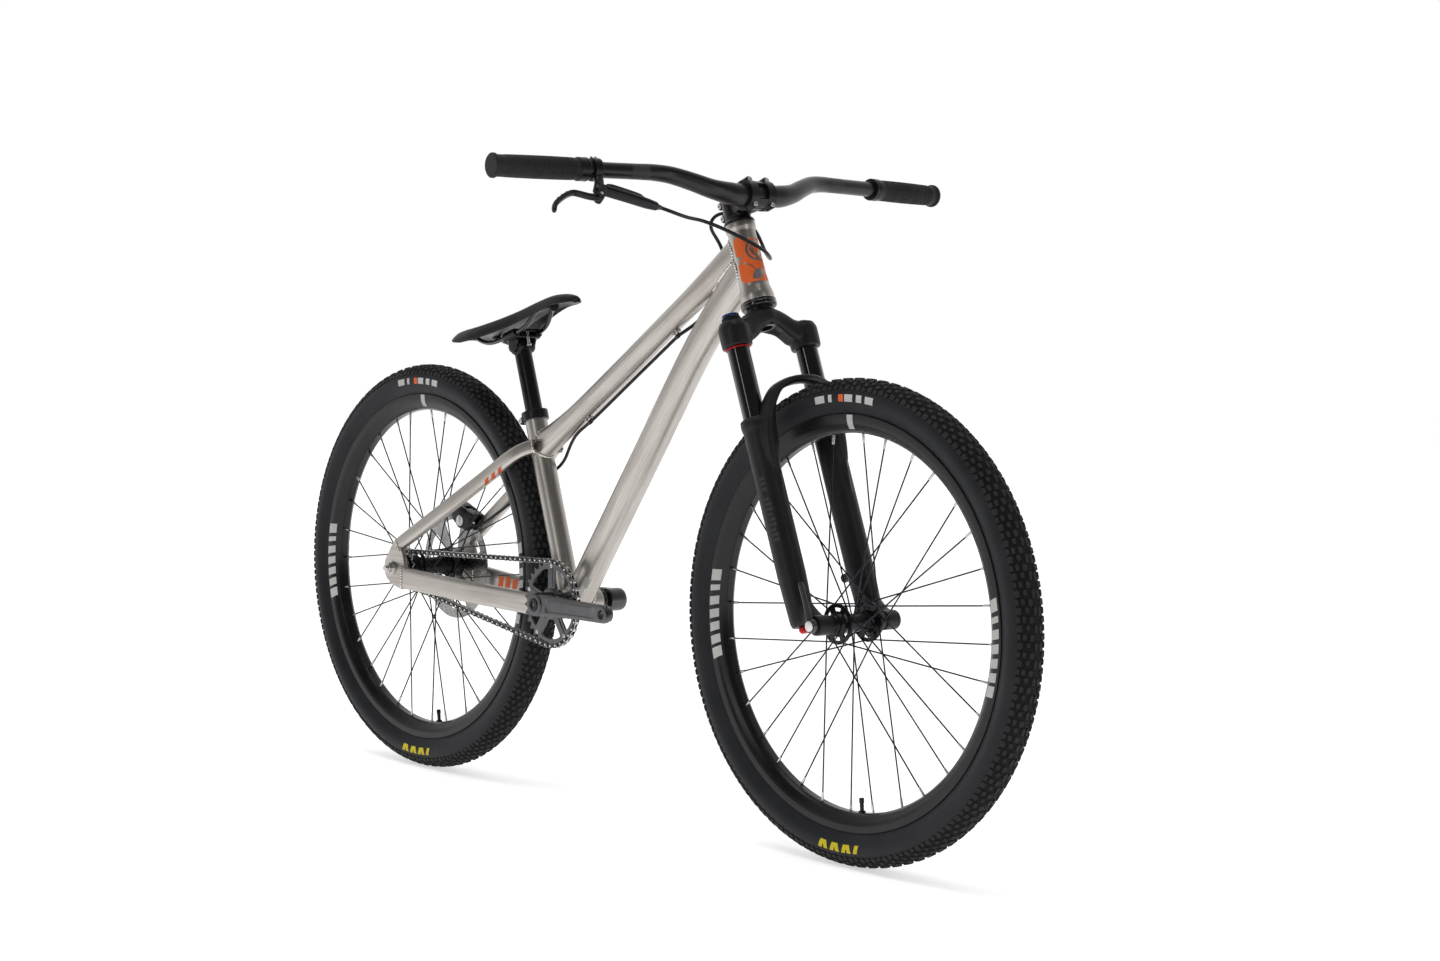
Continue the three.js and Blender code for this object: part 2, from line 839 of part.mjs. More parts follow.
function seatCollar() {
  const foot = -(collarHeight - collarLip);
  const outline = [
    [collarRadius, foot],
    [collarRadius, collarLip],
    [boreFor(seatpostRadius + gap), collarLip],
    [boreFor(seatpostRadius + gap), gap],
    [boreFor(seatTubeRadius + gap), gap],
    [boreFor(seatTubeRadius + gap), foot],
  ];
  const earEnd = -collarRadius - collarEarLength;
  const earHalf = collarEarWidth / 2;
  const ear = block(earEnd, -seatTubeRadius - tubeWall, -earHalf, earHalf, foot, collarLip);
  const slit = block(
    earEnd - overrun,
    -seatpostRadius,
    -collarSlit / 2,
    collarSlit / 2,
    foot - overrun,
    collarLip + overrun,
  );
  return moved(cut(joined(turnedUpright(outline), ear), slit), seatFrameMatrix(seatTopZ));
}

piece("seatpost_collar", seatCollar(), blackAnodised, bike);

// Headset cups, fixed in the head tube

const lowerCup = [
  [headsetCupRadius, -headsetCupHeight],
  [headsetCupRadius, -gap],
  [boreFor(steererFootRadius + runningGap), -gap],
  [boreFor(steererFootRadius + runningGap), -headsetCupHeight],
];
const coverFoot = headLength + gap;
const upperCover = [
  [headsetCoverRadius, coverFoot],
  [headsetCoverRadius, coverFoot + headsetCoverHeight / 2],
  [stemCollarRadius, coverFoot + headsetCoverHeight],
  [boreFor(steererTopRadius + runningGap), coverFoot + headsetCoverHeight],
  [boreFor(steererTopRadius + runningGap), coverFoot],
];
piece("headset_lower_cup", moved(turnedUpright(lowerCup), steeringMatrix), blackAnodised, bike);
piece("headset_upper_cup", moved(turnedUpright(upperCover), steeringMatrix), blackAnodised, bike);

// Bottom bracket cups, outside the shell

function bracketCup() {
  const inner = bracketWidth / 2 + gap;
  const outline = [
    [cupRadius, inner],
    [cupRadius, inner + cupHeight * 0.75],
    [cupRadius - tubeWall, inner + cupHeight],
    [spindleRadius + runningGap, inner + cupHeight],
    [spindleRadius + runningGap, inner],
  ];
  const matrix = new THREE.Matrix4().makeTranslation(bracketX, 0, bracketZ);
  return moved(turned(outline, frameSides), matrix);
}

piece("bottom_bracket_cup_right", onSide(bracketCup(), RIGHT), blackAnodised, bike);
piece("bottom_bracket_cup_left", bracketCup(), blackAnodised, bike);

// Rear axle with its two nuts and washers

function rearAxleSolid() {
  const bar = dropoutOuter + gap;
  const washerTop = bar + axleWasherHeight;
  const nutTop = washerTop + axleNutHeight;
  const end = nutTop + axleStub;
  const reach = rearAxle;
  const shaft = crossBar(reach.x, reach.z, -end, end, rearAxleDiameter / 2, 12);
  const nuts = [RIGHT, LEFT].flatMap((side) => [
    crossBar(reach.x, reach.z, side * bar, side * washerTop, axleWasherRadius, 12),
    crossBar(reach.x, reach.z, side * washerTop, side * nutTop, axleNutRadius, 6),
  ]);
  return joined(shaft, ...nuts);
}

piece("rear_axle", rearAxleSolid(), steel, bike);

// Wheels, each in a group at its axle

function tyreOutline() {
  const middle = tyreRadius - tyreWidth / 2;
  const half = tyreWidth / 2;
  const crown = tyreCrownWidth / 2;
  const outside = [[tyreRadius, -crown], [tyreRadius, crown]];
  const inside = [];
  for (const degrees of tyreCurve) {
    outside.push([middle + half * Math.cos(rad(degrees)), half * Math.sin(rad(degrees))]);
  }
  for (const degrees of tyreInnerCurve) {
    const radius = half - tyreWall;
    inside.push([middle + radius * Math.cos(rad(degrees)), radius * Math.sin(rad(degrees))]);
  }
  const beadOuter = rimWidth / 2 - rimFlangeWall - gap;
  const beadFoot = rimWellRadius + beadThickness;
  const half1 = [
    ...outside.slice(1),
    [rimFlangeRadius + gap * 2, beadOuter],
    [beadFoot, beadOuter],
    [beadFoot, beadOuter - beadThickness],
    ...inside.reverse(),
  ];
  const half2 = half1.slice(0, -1).map(([radius, y]) => [radius, -y]).reverse();
  return [...half1, ...half2];
}

function rimOutline() {
  const half = rimWidth / 2;
  const inner = half - rimFlangeWall;
  const side = [
    [rimBedRadius, half / 3],
    [rimWellRadius, half],
    [rimFlangeRadius, half],
    [rimFlangeRadius, inner],
    [rimWellRadius, inner],
  ];
  return [...side, ...side.map(([radius, y]) => [radius, -y]).reverse()];
}

const facetPhase = Math.PI / wheelSides;
const facetStretch = 1 / Math.cos(facetPhase);

function wheelRing(outline) {
  return turned(outline.map(([radius, y]) => [radius * facetStretch, y]), wheelSides, facetPhase);
}

function valve(turn) {
  const at = (radius) => new Vector3(radius * Math.sin(rad(turn)), 0, -radius * Math.cos(rad(turn)));
  const foot = rimBedRadius + beadThickness;
  return rod(at(foot), at(foot - valveLength), valveDiameter / 2, valveDiameter / 2, 6);
}

// A three-sided bar with an edge toward one side, so that crossing bars meet edge to edge
function spokeBar(from, to, edgeSide) {
  const along = to.clone().sub(from).normalize();
  const inward = lateral.clone().multiplyScalar(edgeSide);
  inward.addScaledVector(along, -inward.dot(along)).normalize();
  const across = along.clone().cross(inward);
  const corners = 3;
  const places = [];
  for (const end of [from, to]) {
    for (let i = 0; i < corners; i += 1) {
      const turn = (2 * Math.PI * i) / corners;
      const place = end.clone().addScaledVector(inward, (spokeDiameter / 2) * Math.cos(turn));
      places.push(place.addScaledVector(across, (spokeDiameter / 2) * Math.sin(turn)));
    }
  }
  return skinned(places, 2, corners);
}

// Half of a wheel's spokes: leading and trailing ones cross three times and touch there
function spokes(flangeY, phase) {
  const step = (2 * Math.PI) / spokesPerSide;
  const side = Math.sign(flangeY);
  const headRadius = flangeRadius - spokeHeadInset;
  const headY = flangeY - side * (flangeThickness / 2 + gap + spokeDiameter * 0.75 - spokeOverlap);
  const footRadius = rimBedRadius - gap;
  const bars = [];
  for (let i = 0; i < spokesPerSide; i += 1) {
    const lead = i % 2 === 0 ? 1 : -1;
    const headTurn = phase + step * i;
    const footTurn = headTurn + lead * step * spokeCrossings;
    const from = new Vector3(headRadius * Math.cos(headTurn), headY, headRadius * Math.sin(headTurn));
    const footY = side * spokeRimOffset;
    const to = new Vector3(footRadius * Math.cos(footTurn), footY, footRadius * Math.sin(footTurn));
    const offset = new Vector3(0, lead * (spokeDiameter / 2 - spokeOverlap), 0);
    bars.push(spokeBar(from.add(offset), to.add(offset), -lead));
  }
  return joined(...bars);
}

function flangeSteps(flangeY) {
  const half = flangeThickness / 2;
  return [
    [barrelRadius, flangeY - half],
    [flangeRadius, flangeY - half],
    [flangeRadius, flangeY + half],
    [barrelRadius, flangeY + half],
  ];
}

function hub(rightY, leftY, width, boreRadius, endSteps) {
  const half = width / 2;
  return turned([
    [boreRadius, -half],
    ...endSteps.right,
    ...flangeSteps(-rightY),
    ...flangeSteps(leftY),
    ...endSteps.left,
    [boreRadius, half],
  ], hubSides);
}

function wheel(name, centre, turn, hubSolid, flanges) {
  const group = new THREE.Group();
  group.position.copy(centre);
  const step = Math.PI / spokesPerSide;
  const rim = joined(wheelRing(rimOutline()), valve(turn));
  piece(`${name}_tyre`, wheelRing(tyreOutline()), blackRubber, group);
  piece(`${name}_rim`, rim, blackAnodised, group);
  piece(`${name}_hub`, hubSolid, blackAnodised, group);
  piece(`${name}_spokes_right`, spokes(-flanges.right, rad(turn) + step / 2), darkSteel, group);
  piece(`${name}_spokes_left`, spokes(flanges.left, rad(turn) + step * 1.5), darkSteel, group);
  return group;
}

const frontHalf = frontHubWidth / 2;
const frontHub = hub(frontFlangeRight, frontFlangeLeft, frontHubWidth, frontAxleDiameter / 2 + runningGap, {
  right: [[endCapRadius, -frontHalf], [endCapRadius, -frontFlangeRight - flangeThickness * 2]],
  left: [
    [discSeatRadius, frontFlangeLeft + flangeThickness * 2],
    [discSeatRadius, frontHalf - rotorTrack],
    [endCapRadius, frontHalf - rotorTrack],
    [endCapRadius, frontHalf],
  ],
});
const rearHalf = rearHubWidth / 2 - gap;
const rotorInner = rotorCentreY - rotorThickness / 2 - gap;
const rearAxleBore = rearAxleDiameter / 2 + runningGap;
const rearHub = hub(rearFlangeRight, rearFlangeLeft, rearHubWidth - 2 * gap, rearAxleBore, {
  right: [
    [endCapRadius, -rearHalf],
    [endCapRadius, -chainline - toothThickness * 2],
    [driverRadius, -chainline - toothThickness * 2],
    [driverRadius, -rearFlangeRight - flangeThickness],
  ],
  left: [
    [discSeatRadius, rearFlangeLeft + flangeThickness * 2],
    [discSeatRadius, rotorInner],
    [driverRadius, rotorInner],
    [driverRadius, rotorInner + rotorThickness * 2],
    [endCapRadius, rotorInner + rotorThickness * 2],
    [endCapRadius, rearHalf],
  ],
});

const frontFlanges = { right: frontFlangeRight, left: frontFlangeLeft };
const frontWheel = wheel("front", frontAxleLocal, frontWheelTurn, frontHub, frontFlanges);
frontWheel.rotation.y = rad(90 - headAngle);
steering.add(frontWheel);
const rearFlanges = { right: rearFlangeRight, left: rearFlangeLeft };
const rearWheel = wheel("rear", rearAxle, rearWheelTurn, rearHub, rearFlanges);
bike.add(rearWheel);

// Disc: a slotted braking ring on six arms

function rotor() {
  const window = (i) => {
    const step = (2 * Math.PI) / rotorArms;
    const low = rotorCarrierRadius;
    const high = rotorRadius - rotorTrack;
    const polar = (radius, share) => {
      const turn = step * (i + share);
      return [radius * Math.cos(turn), radius * Math.sin(turn)];
    };
    return [
      polar(low, 0.3),
      polar(high, 0.32),
      polar(high, 0.55),
      polar(high, 0.78),
      polar(high, 1.02),
      polar(low, 0.8),
    ];
  };
  const holes = [
    roundHole(0, 0, driverRadius + gap, frameSides),
    ...Array.from({ length: rotorArms }, (_, i) => window(i)),
  ];
  const half = rotorThickness / 2;
  return plate(circle(0, 0, rotorRadius, wheelSides), holes, rotorCentreY - half, rotorCentreY + half);
}

piece("brake_rotor", rotor(), steel, rearWheel);

// Chain drive

function pitchRadius(teeth) {
  return chainPitch / 2 / Math.sin(Math.PI / teeth);
}

function toothedOutline(teeth, phase) {
  const pitch = pitchRadius(teeth);
  const outline = [];
  for (let i = 0; i < teeth; i += 1) {
    for (const [share, radius] of [[0, pitch - toothRoot], [0.5, pitch + toothRise]]) {
      const turn = phase + (2 * Math.PI * (i + share)) / teeth;
      outline.push([radius * Math.cos(turn), radius * Math.sin(turn)]);
    }
  }
  return outline;
}

function cogSolid() {
  const half = toothThickness / 2;
  const holes = [roundHole(0, 0, cogBore, frameSides)];
  return plate(toothedOutline(cogTeeth, 0), holes, -chainline - half, -chainline + half);
}

const rearCog = new THREE.Group();
rearCog.position.copy(rearAxle);
piece("rear_cog", cogSolid(), steel, rearCog);
bike.add(rearCog);

const crankset = new THREE.Group();
crankset.position.set(bracketX, 0, bracketZ);
bike.add(crankset);

function chainring() {
  const step = (2 * Math.PI) / ringArms;
  const polar = (radius, i, share) => {
    const turn = step * (i + share) + step / 4;
    return [radius * Math.cos(turn), radius * Math.sin(turn)];
  };
  const windowOutline = (i) => [
    polar(ringHubRadius, i, 0.24),
    polar(ringRimInner, i, 0.12),
    polar(ringRimInner, i, 0.31),
    polar(ringRimInner, i, 0.5),
    polar(ringRimInner, i, 0.69),
    polar(ringRimInner, i, 0.88),
    polar(ringHubRadius, i, 0.76),
    polar(ringHubRadius, i, 0.5),
  ];
  const holes = [
    roundHole(0, 0, spindleRadius + gap, frameSides),
    ...Array.from({ length: ringArms }, (_, i) => windowOutline(i)),
  ];
  const half = toothThickness / 2;
  return plate(toothedOutline(ringTeeth, 0), holes, -chainline - half, -chainline + half);
}

piece("chainring", chainring(), greyAnodised, crankset);

// The chain's run round the two sprockets, at a distance from its pitch line
function chainOutline(offset) {
  const front = pitchRadius(ringTeeth) + offset;
  const rear = pitchRadius(cogTeeth) + offset;
  const between = new Vector3(bracketX - rearAxle.x, 0, bracketZ - rearAxle.z);
  const tilt = Math.atan2(between.z, between.x);
  const open = Math.asin((front - rear) / between.length());
  const arc = (x, z, radius, from, to, steps) => Array.from({ length: steps + 1 }, (_, i) => {
    const turn = tilt + from + ((to - from) * i) / steps;
    const reach = radius / Math.cos((to - from) / steps / 2);
    return [x + reach * Math.cos(turn), z + reach * Math.sin(turn)];
  });
  const quarter = Math.PI / 2 + open;
  return [
    ...arc(bracketX, bracketZ, front, -quarter, quarter, 18),
    ...arc(rearAxle.x, rearAxle.z, rear, quarter, 2 * Math.PI - quarter, 10),
  ];
}

function chain() {
  const half = chainHeight / 2;
  const bridge = toothRise + runningGap;
  const slot = toothThickness / 2 + chainSideGap;
  const near = -chainline - chainWidth / 2;
  const far = -chainline + chainWidth / 2;
  const whole = plate(chainOutline(half), [chainOutline(-half)], near, far);
  const within = [chainOutline(-half - overrun)];
  const channel = plate(chainOutline(bridge), within, -chainline - slot, -chainline + slot);
  return cut(whole, channel);
}

piece("chain", chain(), darkSteel, bike);

// Crank arms. The spindle is bonded into the left one.

function crankArm(spindleFrom) {
  const taper = 0.2;
  const stations = [
    station(0, armHubY, 0, armHubThickness, armHubHeight),
    station(crankLength * taper, armHubY, 0, armHubThickness, armHubHeight * 0.94),
    station(crankLength * 0.6, (armHubY + armEndY) / 2, 0, armEndThickness, armEndHeight),
    station(crankLength, armEndY, 0, armEndThickness, armEndHeight),
    station(crankLength + armEndHeight * 0.38, armEndY, 0, armEndThickness, armEndHeight * 0.72),
  ];
  const bar = loft(stations, 12, 0.45);
  const boss = crossBar(0, 0, armInnerY, armOuterY, armBossRadius);
  const seat = crossBar(crankLength, 0, armEndY, armOuterY + pedalBossRise, pedalBossRadius, smallSides);
  const [threadFrom, threadTo] = [armHubY - armHubThickness, armOuterY + overrun];
  const threaded = crossBar(crankLength, 0, threadFrom, threadTo, pedalThread / 2, smallSides);
  const inner = spindleFrom === null
    ? crossBar(0, 0, armInnerY - overrun, armOuterY - armEndThickness / 2, spindleRadius + gap)
    : null;
  const arm = cut(joined(bar, boss, seat), threaded, ...(inner ? [inner] : []));
  if (spindleFrom === null) return arm;
  return joined(arm, crossBar(0, 0, spindleFrom, armInnerY + overrun, spindleRadius));
}

piece("crank_arm_right", mirrored(crankArm(null)), greyAnodised, crankset);
const spindleEnd = -(armOuterY - armEndThickness / 2 - gap);
const leftArm = crankArm(spindleEnd);
const halfTurn = new THREE.Matrix4().makeRotationY(Math.PI);
piece("crank_arm_left", moved(leftArm, halfTurn), greyAnodised, crankset);

// Fork, in the steering frame

const legs = [["right", RIGHT], ["left", LEFT]];
const legY = legSpacing / 2;

function atLeg(solid, side) {
  return solid.translate([legForward, side * legY, 0]);
}

function crownAndSteerer() {
  const half = [
    [-1, 1, crownRadius * 1.5, crownDepth * 1.1],
    [-0.62, 0.75, crownRadius * 1.6, crownDepth * 1.1],
    [-0.3, 0.25, crownRadius * 1.8, crownDepth * 1.15],
  ];
  const centre = [0, 0, crownRadius * 2.1, crownDepth];
  const sections = [...half, centre, ...half.map(([share, ...rest]) => [-share, ...rest]).reverse()];
  const drop = crownFoot - crownTop - crownDepth * 1.15;
  const bridge = loft(sections.map(([share, low, width, height]) => ({
    ...station(legForward * low, share * legY, -crownTop - crownDepth / 2 - drop * low, width, height),
    side: new Vector3(1, 0, 0),
  })), 10, 0.8);
  const shoulder = turnedUpright([
    [0, -crownFoot],
    [crownRadius, -crownFoot],
    [crownRadius, -shoulderTop - crownRadius / 3],
    [crownRadius * 0.8, -shoulderTop],
    [0, -shoulderTop],
  ], forkSides);
  const bore = turnedUpright([
    [0, -crownFoot - overrun],
    [stanchionRadius + gap, -crownFoot - overrun],
    [stanchionRadius + gap, -shoulderTop - shoulderWall],
    [0, -shoulderTop - shoulderWall],
  ], forkSides);
  const knobStub = turnedUpright([
    [0, -shoulderTop - shoulderWall],
    [knobStubRadius, -shoulderTop - shoulderWall],
    [knobStubRadius, -shoulderTop + knobHeight / 2],
    [0, -shoulderTop + knobHeight / 2],
  ], pinSides);
  const airCap = turnedUpright([
    [0, -shoulderTop - shoulderWall],
    [airCapRadius, -shoulderTop - shoulderWall],
    [airCapRadius, -shoulderTop + airCapHeight],
    [0, -shoulderTop + airCapHeight],
  ], smallSides);
  const steerer = turnedUpright([
    [steererFootRadius, -crownTop - crownDepth],
    [steererFootRadius, 0],
    [steererTopRadius, steererTaper],
    [steererTopRadius, steererTop],
    [steererBore, steererTop],
    [steererBore, -crownTop - crownDepth],
  ]);
  const hollow = turnedUpright([
    [0, -shoulderTop - crownDepth],
    [steererBore, -shoulderTop - crownDepth],
    [steererBore, headLength],
    [0, headLength],
  ]);
  const body = joined(bridge, atLeg(shoulder, RIGHT), atLeg(shoulder, LEFT));
  const knobRoom = turnedUpright([
    [0, -shoulderTop],
    [boreFor(knobRadius + runningGap, forkSides), -shoulderTop],
    [boreFor(knobRadius + runningGap, forkSides), crownDepth],
    [0, crownDepth],
  ], forkSides);
  const bored = cut(body, atLeg(bore, RIGHT), atLeg(bore, LEFT), atLeg(knobRoom, RIGHT), hollow);
  return joined(bored, steerer, atLeg(knobStub, RIGHT), atLeg(airCap, LEFT));
}

piece("fork_crown", crownAndSteerer(), satinBlack, steering);

function stanchion() {
  const top = -shoulderTop - shoulderWall - gap;
  const foot = -wiperTop - stanchionInsert;
  return turnedUpright([
    [stanchionRadius, foot],
    [stanchionRadius, top],
    [stanchionRadius - stanchionWall, top],
    [stanchionRadius - stanchionWall, foot],
  ], forkSides);
}

for (const [name, side] of legs) {
  piece(`stanchion_${name}`, atLeg(stanchion(), side), glossBlack, steering);
}

function legSolid() {
  const boreFoot = -wiperTop - stanchionInsert - forkTravel - overrun;
  const bore = stanchionRadius + runningGap;
  return turnedUpright([
    [0, -legFoot],
    [legFootRadius, -legFoot],
    [legRadius, boreFoot],
    [legRadius, -wiperTop - wiperHeight],
    [wiperRadius, -wiperTop - wiperHeight],
    [wiperRadius, -wiperTop],
    [bore, -wiperTop],
    [bore, boreFoot],
    [0, boreFoot],
  ], forkSides);
}

function archSolid() {
  const crest = -wiperTop + archRise;
  const places = [
    [-1, legForward + legRadius * 0.4, -wiperTop - wiperHeight - archWidth * 0.7],
    [-0.98, legForward + archForward * 0.45, -wiperTop - wiperHeight * 0.3],
    [-0.74, legForward + archForward * 0.75, crest - archThickness * 0.9],
    [-0.4, legForward + archForward * 0.95, crest - archThickness * 0.1],
    [0, legForward + archForward, crest],
  ];
  const half = places.map(([share, x, z], k) => {
    const [wide, tall] = archSizeShares[k];
    return station(x, share * legY, z, archWidth * wide, archThickness * tall);
  });
  const other = half.slice(0, -1).map((end) => ({ ...end, at: new Vector3(end.at.x, -end.at.y, end.at.z) }));
  const whole = [...half, ...other.reverse()].map((end) => ({ ...end, side: new Vector3(1, 0, 0) }));
  return loft(whole, pinSides, archSquareness);
}

function forkLowers() {
  const solids = [archSolid()];
  const cuts = [];
  for (const [, side] of legs) {
    const inner = side * (frontHubWidth / 2 + gap);
    const outer = side * axleBossOuterY;
    solids.push(atLeg(legSolid(), side));
    solids.push(crossBar(axleForward, -axleDown, inner, outer, axleBossRadius));
    solids.push(rod(
      new Vector3(legForward, side * legY, -axleDown + legRadius * 2),
      new Vector3(axleForward, side * legY, -axleDown),
      legFootRadius * 0.8,
      legFootRadius * 0.7,
      pinSides,
    ));
    cuts.push(atLeg(turnedUpright([
      [0, -wiperTop - stanchionInsert - forkTravel],
      [stanchionRadius + runningGap, -wiperTop - stanchionInsert - forkTravel],
      [stanchionRadius + runningGap, -wiperTop + archRise],
      [0, -wiperTop + archRise],
    ], forkSides), side));
  }
  const tabTop = -axleDown + discTabSpacing * 1.05;
  for (const z of [tabTop, tabTop - discTabSpacing]) {
    solids.push(block(
      legForward - legRadius - discTabLength * 0.6,
      legForward,
      legY - discTabWidth / 2,
      legY + discTabWidth / 2,
      z - discTabWidth / 2,
      z + discTabWidth / 2,
    ));
  }
  solids.push(atLeg(turnedUpright([
    [0, -legFoot - reboundKnobHeight * 0.7],
    [reboundStubRadius, -legFoot - reboundKnobHeight * 0.7],
    [reboundStubRadius, -legFoot + overrun],
    [0, -legFoot + overrun],
  ], pinSides), RIGHT));
  const reach = axleBossOuterY + legRadius;
  cuts.push(crossBar(axleForward, -axleDown, -reach, reach, frontAxleDiameter / 2 + gap, smallSides));
  for (const side of [RIGHT, LEFT]) {
    cuts.push(crossBar(axleForward, -axleDown, side * axleBossOuterY, side * reach, axleBossRadius));
  }
  const hubRoom = frontHubWidth / 2 + gap;
  cuts.push(crossBar(axleForward, -axleDown, -hubRoom, hubRoom, axleBossRadius + overrun));
  return cut(joined(...solids), ...cuts);
}

piece("fork_lowers", forkLowers(), satinBlack, steering);

// Through axle: a flange outside the right boss, then a stub and a cap that hold the lever

const axleFlangeY = axleBossOuterY + gap;
const leverInnerY = axleFlangeY + axleFlangeThickness + runningGap;
const leverOuterY = leverInnerY + axleLeverHubWidth;
const axleEndY = leverOuterY + runningGap + axleCapThickness;

function frontAxle() {
  const at = (fromY, toY, radius) => crossBar(axleForward, -axleDown, -fromY, -toY, radius, smallSides);
  return joined(
    at(-axleBossOuterY, axleFlangeY, frontAxleDiameter / 2),
    at(axleFlangeY, axleFlangeY + axleFlangeThickness, axleFlangeRadius),
    at(axleFlangeY, axleEndY, axleStubRadius),
    at(leverOuterY + runningGap, axleEndY, axleStubRadius * 1.5),
  );
}

function axleLever() {
  const ring = crossBar(axleForward, -axleDown, -leverInnerY, -leverOuterY, axleFlangeRadius, smallSides);
  const middleY = -(leverInnerY + leverOuterY) / 2;
  const blade = loft(axleLeverShares.map(([share, wide, thick]) => station(
    axleForward,
    middleY,
    -axleDown + share * axleLeverLength,
    axleLeverThickness * thick,
    axleLeverWidth * wide,
  )), 10, 0.7);
  const hole = crossBar(
    axleForward,
    -axleDown,
    -leverInnerY + overrun,
    -leverOuterY - overrun,
    axleStubRadius + runningGap,
    smallSides,
  );
  return cut(joined(ring, blade), hole);
}

piece("front_axle", frontAxle(), blackAnodised, steering);
piece("front_axle_lever", axleLever(), blackAnodised, steering);

const reboundKnob = turnedUpright([
  [0, -legFoot - reboundKnobHeight - gap],
  [reboundKnobRadius, -legFoot - reboundKnobHeight - gap],
  [reboundKnobRadius, -legFoot - runningGap],
  [reboundStubRadius + runningGap, -legFoot - runningGap],
  [reboundStubRadius + runningGap, -legFoot - reboundKnobHeight * 0.8],
  [0, -legFoot - reboundKnobHeight * 0.8],
], smallSides);
piece("rebound_knob", atLeg(reboundKnob, RIGHT), redAnodised, steering);

const knobFoot = -shoulderTop + runningGap;
const crownKnob = turnedUpright([
  [0, knobFoot + knobHeight],
  [knobRadius * 0.85, knobFoot + knobHeight],
  [knobRadius, knobFoot + knobHeight * 0.7],
  [knobRadius, knobFoot],
  [knobStubRadius + runningGap, knobFoot],
  [knobStubRadius + runningGap, knobFoot + knobHeight * 0.6],
  [0, knobFoot + knobHeight * 0.6],
], smallSides);
piece("compression_knob", atLeg(crownKnob, RIGHT), blackAnodised, steering);

// Stem, faceplate and top cap

const stemFoot = headLength + gap + headsetCoverHeight + gap;
const stemTop = stemMiddle + stemHeight / 2;
const clampBore = boreFor(barClampRadius + gap);

function stemSolid() {
  const collar = turnedUpright([
    [0, stemFoot],
    [stemCollarRadius, stemFoot],
    [stemCollarRadius, stemTop],
    [0, stemTop],
  ]);
  const sizes = [[0.3, 0.75, 0.9], [0.7, 0.92, 1]];
  const arm = loft(sizes.map(([share, wide, tall]) => (
    station(stemReach * share, 0, stemMiddle, stemClampWidth * wide, stemHeight * tall)
  )), 12, 0.5);
  const barrel = crossBar(stemReach, stemMiddle, -stemClampWidth / 2, stemClampWidth / 2, stemClampRadius);
  const ahead = block(
    stemReach - gap / 2,
    stemReach + stemClampRadius * 2,
    -stemClampWidth,
    stemClampWidth,
    stemMiddle - stemClampRadius * 2,
    stemMiddle + stemClampRadius * 2,
  );
  const bore = crossBar(stemReach, stemMiddle, -stemClampWidth, stemClampWidth, clampBore);
  const steererHole = turnedUpright([
    [0, stemFoot - overrun],
    [steererTopRadius + gap, stemFoot - overrun],
    [steererTopRadius + gap, stemTop + overrun],
    [0, stemTop + overrun],
  ]);
  return cut(joined(collar, arm, barrel), ahead, bore, steererHole);
}

function faceplate() {
  const reach = stemClampWidth / 2;
  const barrel = crossBar(stemReach, stemMiddle, -reach, reach, stemClampRadius);
  const behind = block(
    stemReach - stemClampRadius * 2,
    stemReach + gap / 2,
    -stemClampWidth,
    stemClampWidth,
    stemMiddle - stemClampRadius * 2,
    stemMiddle + stemClampRadius * 2,
  );
  const window = block(
    stemReach + gap,
    stemReach + stemClampRadius * 2,
    -reach * 0.35,
    reach * 0.35,
    stemMiddle - barClampRadius * 0.6,
    stemMiddle + barClampRadius * 0.6,
  );
  const bore = crossBar(stemReach, stemMiddle, -stemClampWidth, stemClampWidth, clampBore);
  return cut(barrel, behind, window, bore);
}

piece("stem", stemSolid(), blackAnodised, steering);
piece("stem_faceplate", faceplate(), blackAnodised, steering);
const topCap = [
  [0, stemTop + gap],
  [topCapRadius, stemTop + gap],
  [topCapRadius, stemTop + gap + topCapHeight / 2],
  [topCapRadius * 0.8, stemTop + gap + topCapHeight],
  [0, stemTop + gap + topCapHeight],
];
piece("headset_top_cap", turnedUpright(topCap, smallSides), blackAnodised, steering);

// Handlebar: one bent bar, thick at the clamp and thin at the grips

const barMiddle = new Vector3(stemReach, 0, stemMiddle);
const barEndDirection = new Vector3(-Math.sin(rad(barSweepBack)), 1, Math.sin(rad(barSweepUp))).normalize();
const barLine = barShares.map((shares) => new Vector3(...shares).multiplyScalar(barBendReach).add(barMiddle));
const barBendEnd = barLine[barLine.length - 1];

// A place on the straight end of the bar's left half, at a distance measured along it from the middle
function onBar(y) {
  return barBendEnd.clone().addScaledVector(barEndDirection, y - barBendEnd.y);
}

function handlebar() {
  const count = barLine.length;
  const half = barLine.map((at, k) => {
    const thin = Math.max(0, (k - 2) / (count - 3)) ** barTaper;
    return { at, radius: barClampRadius + (barGripRadius - barClampRadius) * thin };
  });
  half.push({ at: onBar(barHalfWidth), radius: barGripRadius });
  const other = half.slice(1).map(({ at, radius }) => ({ at: new Vector3(at.x, -at.y, at.z), radius }));
  return loft([...other.reverse(), ...half].map(({ at, radius }) => (
    { at, width: radius * 2, height: radius * 2, side: new Vector3(1, 0, 0) }
  )), barSides);
}

piece("handlebar", handlebar(), blackAnodised, steering);

// A turned piece on the bar's left end, its outline given as [radius, distance Y from the middle]
function onBarEnd(outline, sides) {
  const geometry = geometryOf(turned(outline.map(([radius, y]) => [radius, y - barBendEnd.y]), sides));
  geometry.applyQuaternion(new THREE.Quaternion().setFromUnitVectors(lateral, barEndDirection));
  geometry.translate(barBendEnd.x, barBendEnd.y, barBendEnd.z);
  return solidOf(geometry);
}

const gripEnd = barHalfWidth + gap + gripCap;
const gripStart = gripEnd - gripLength;
const gripBore = barGripRadius + gap;

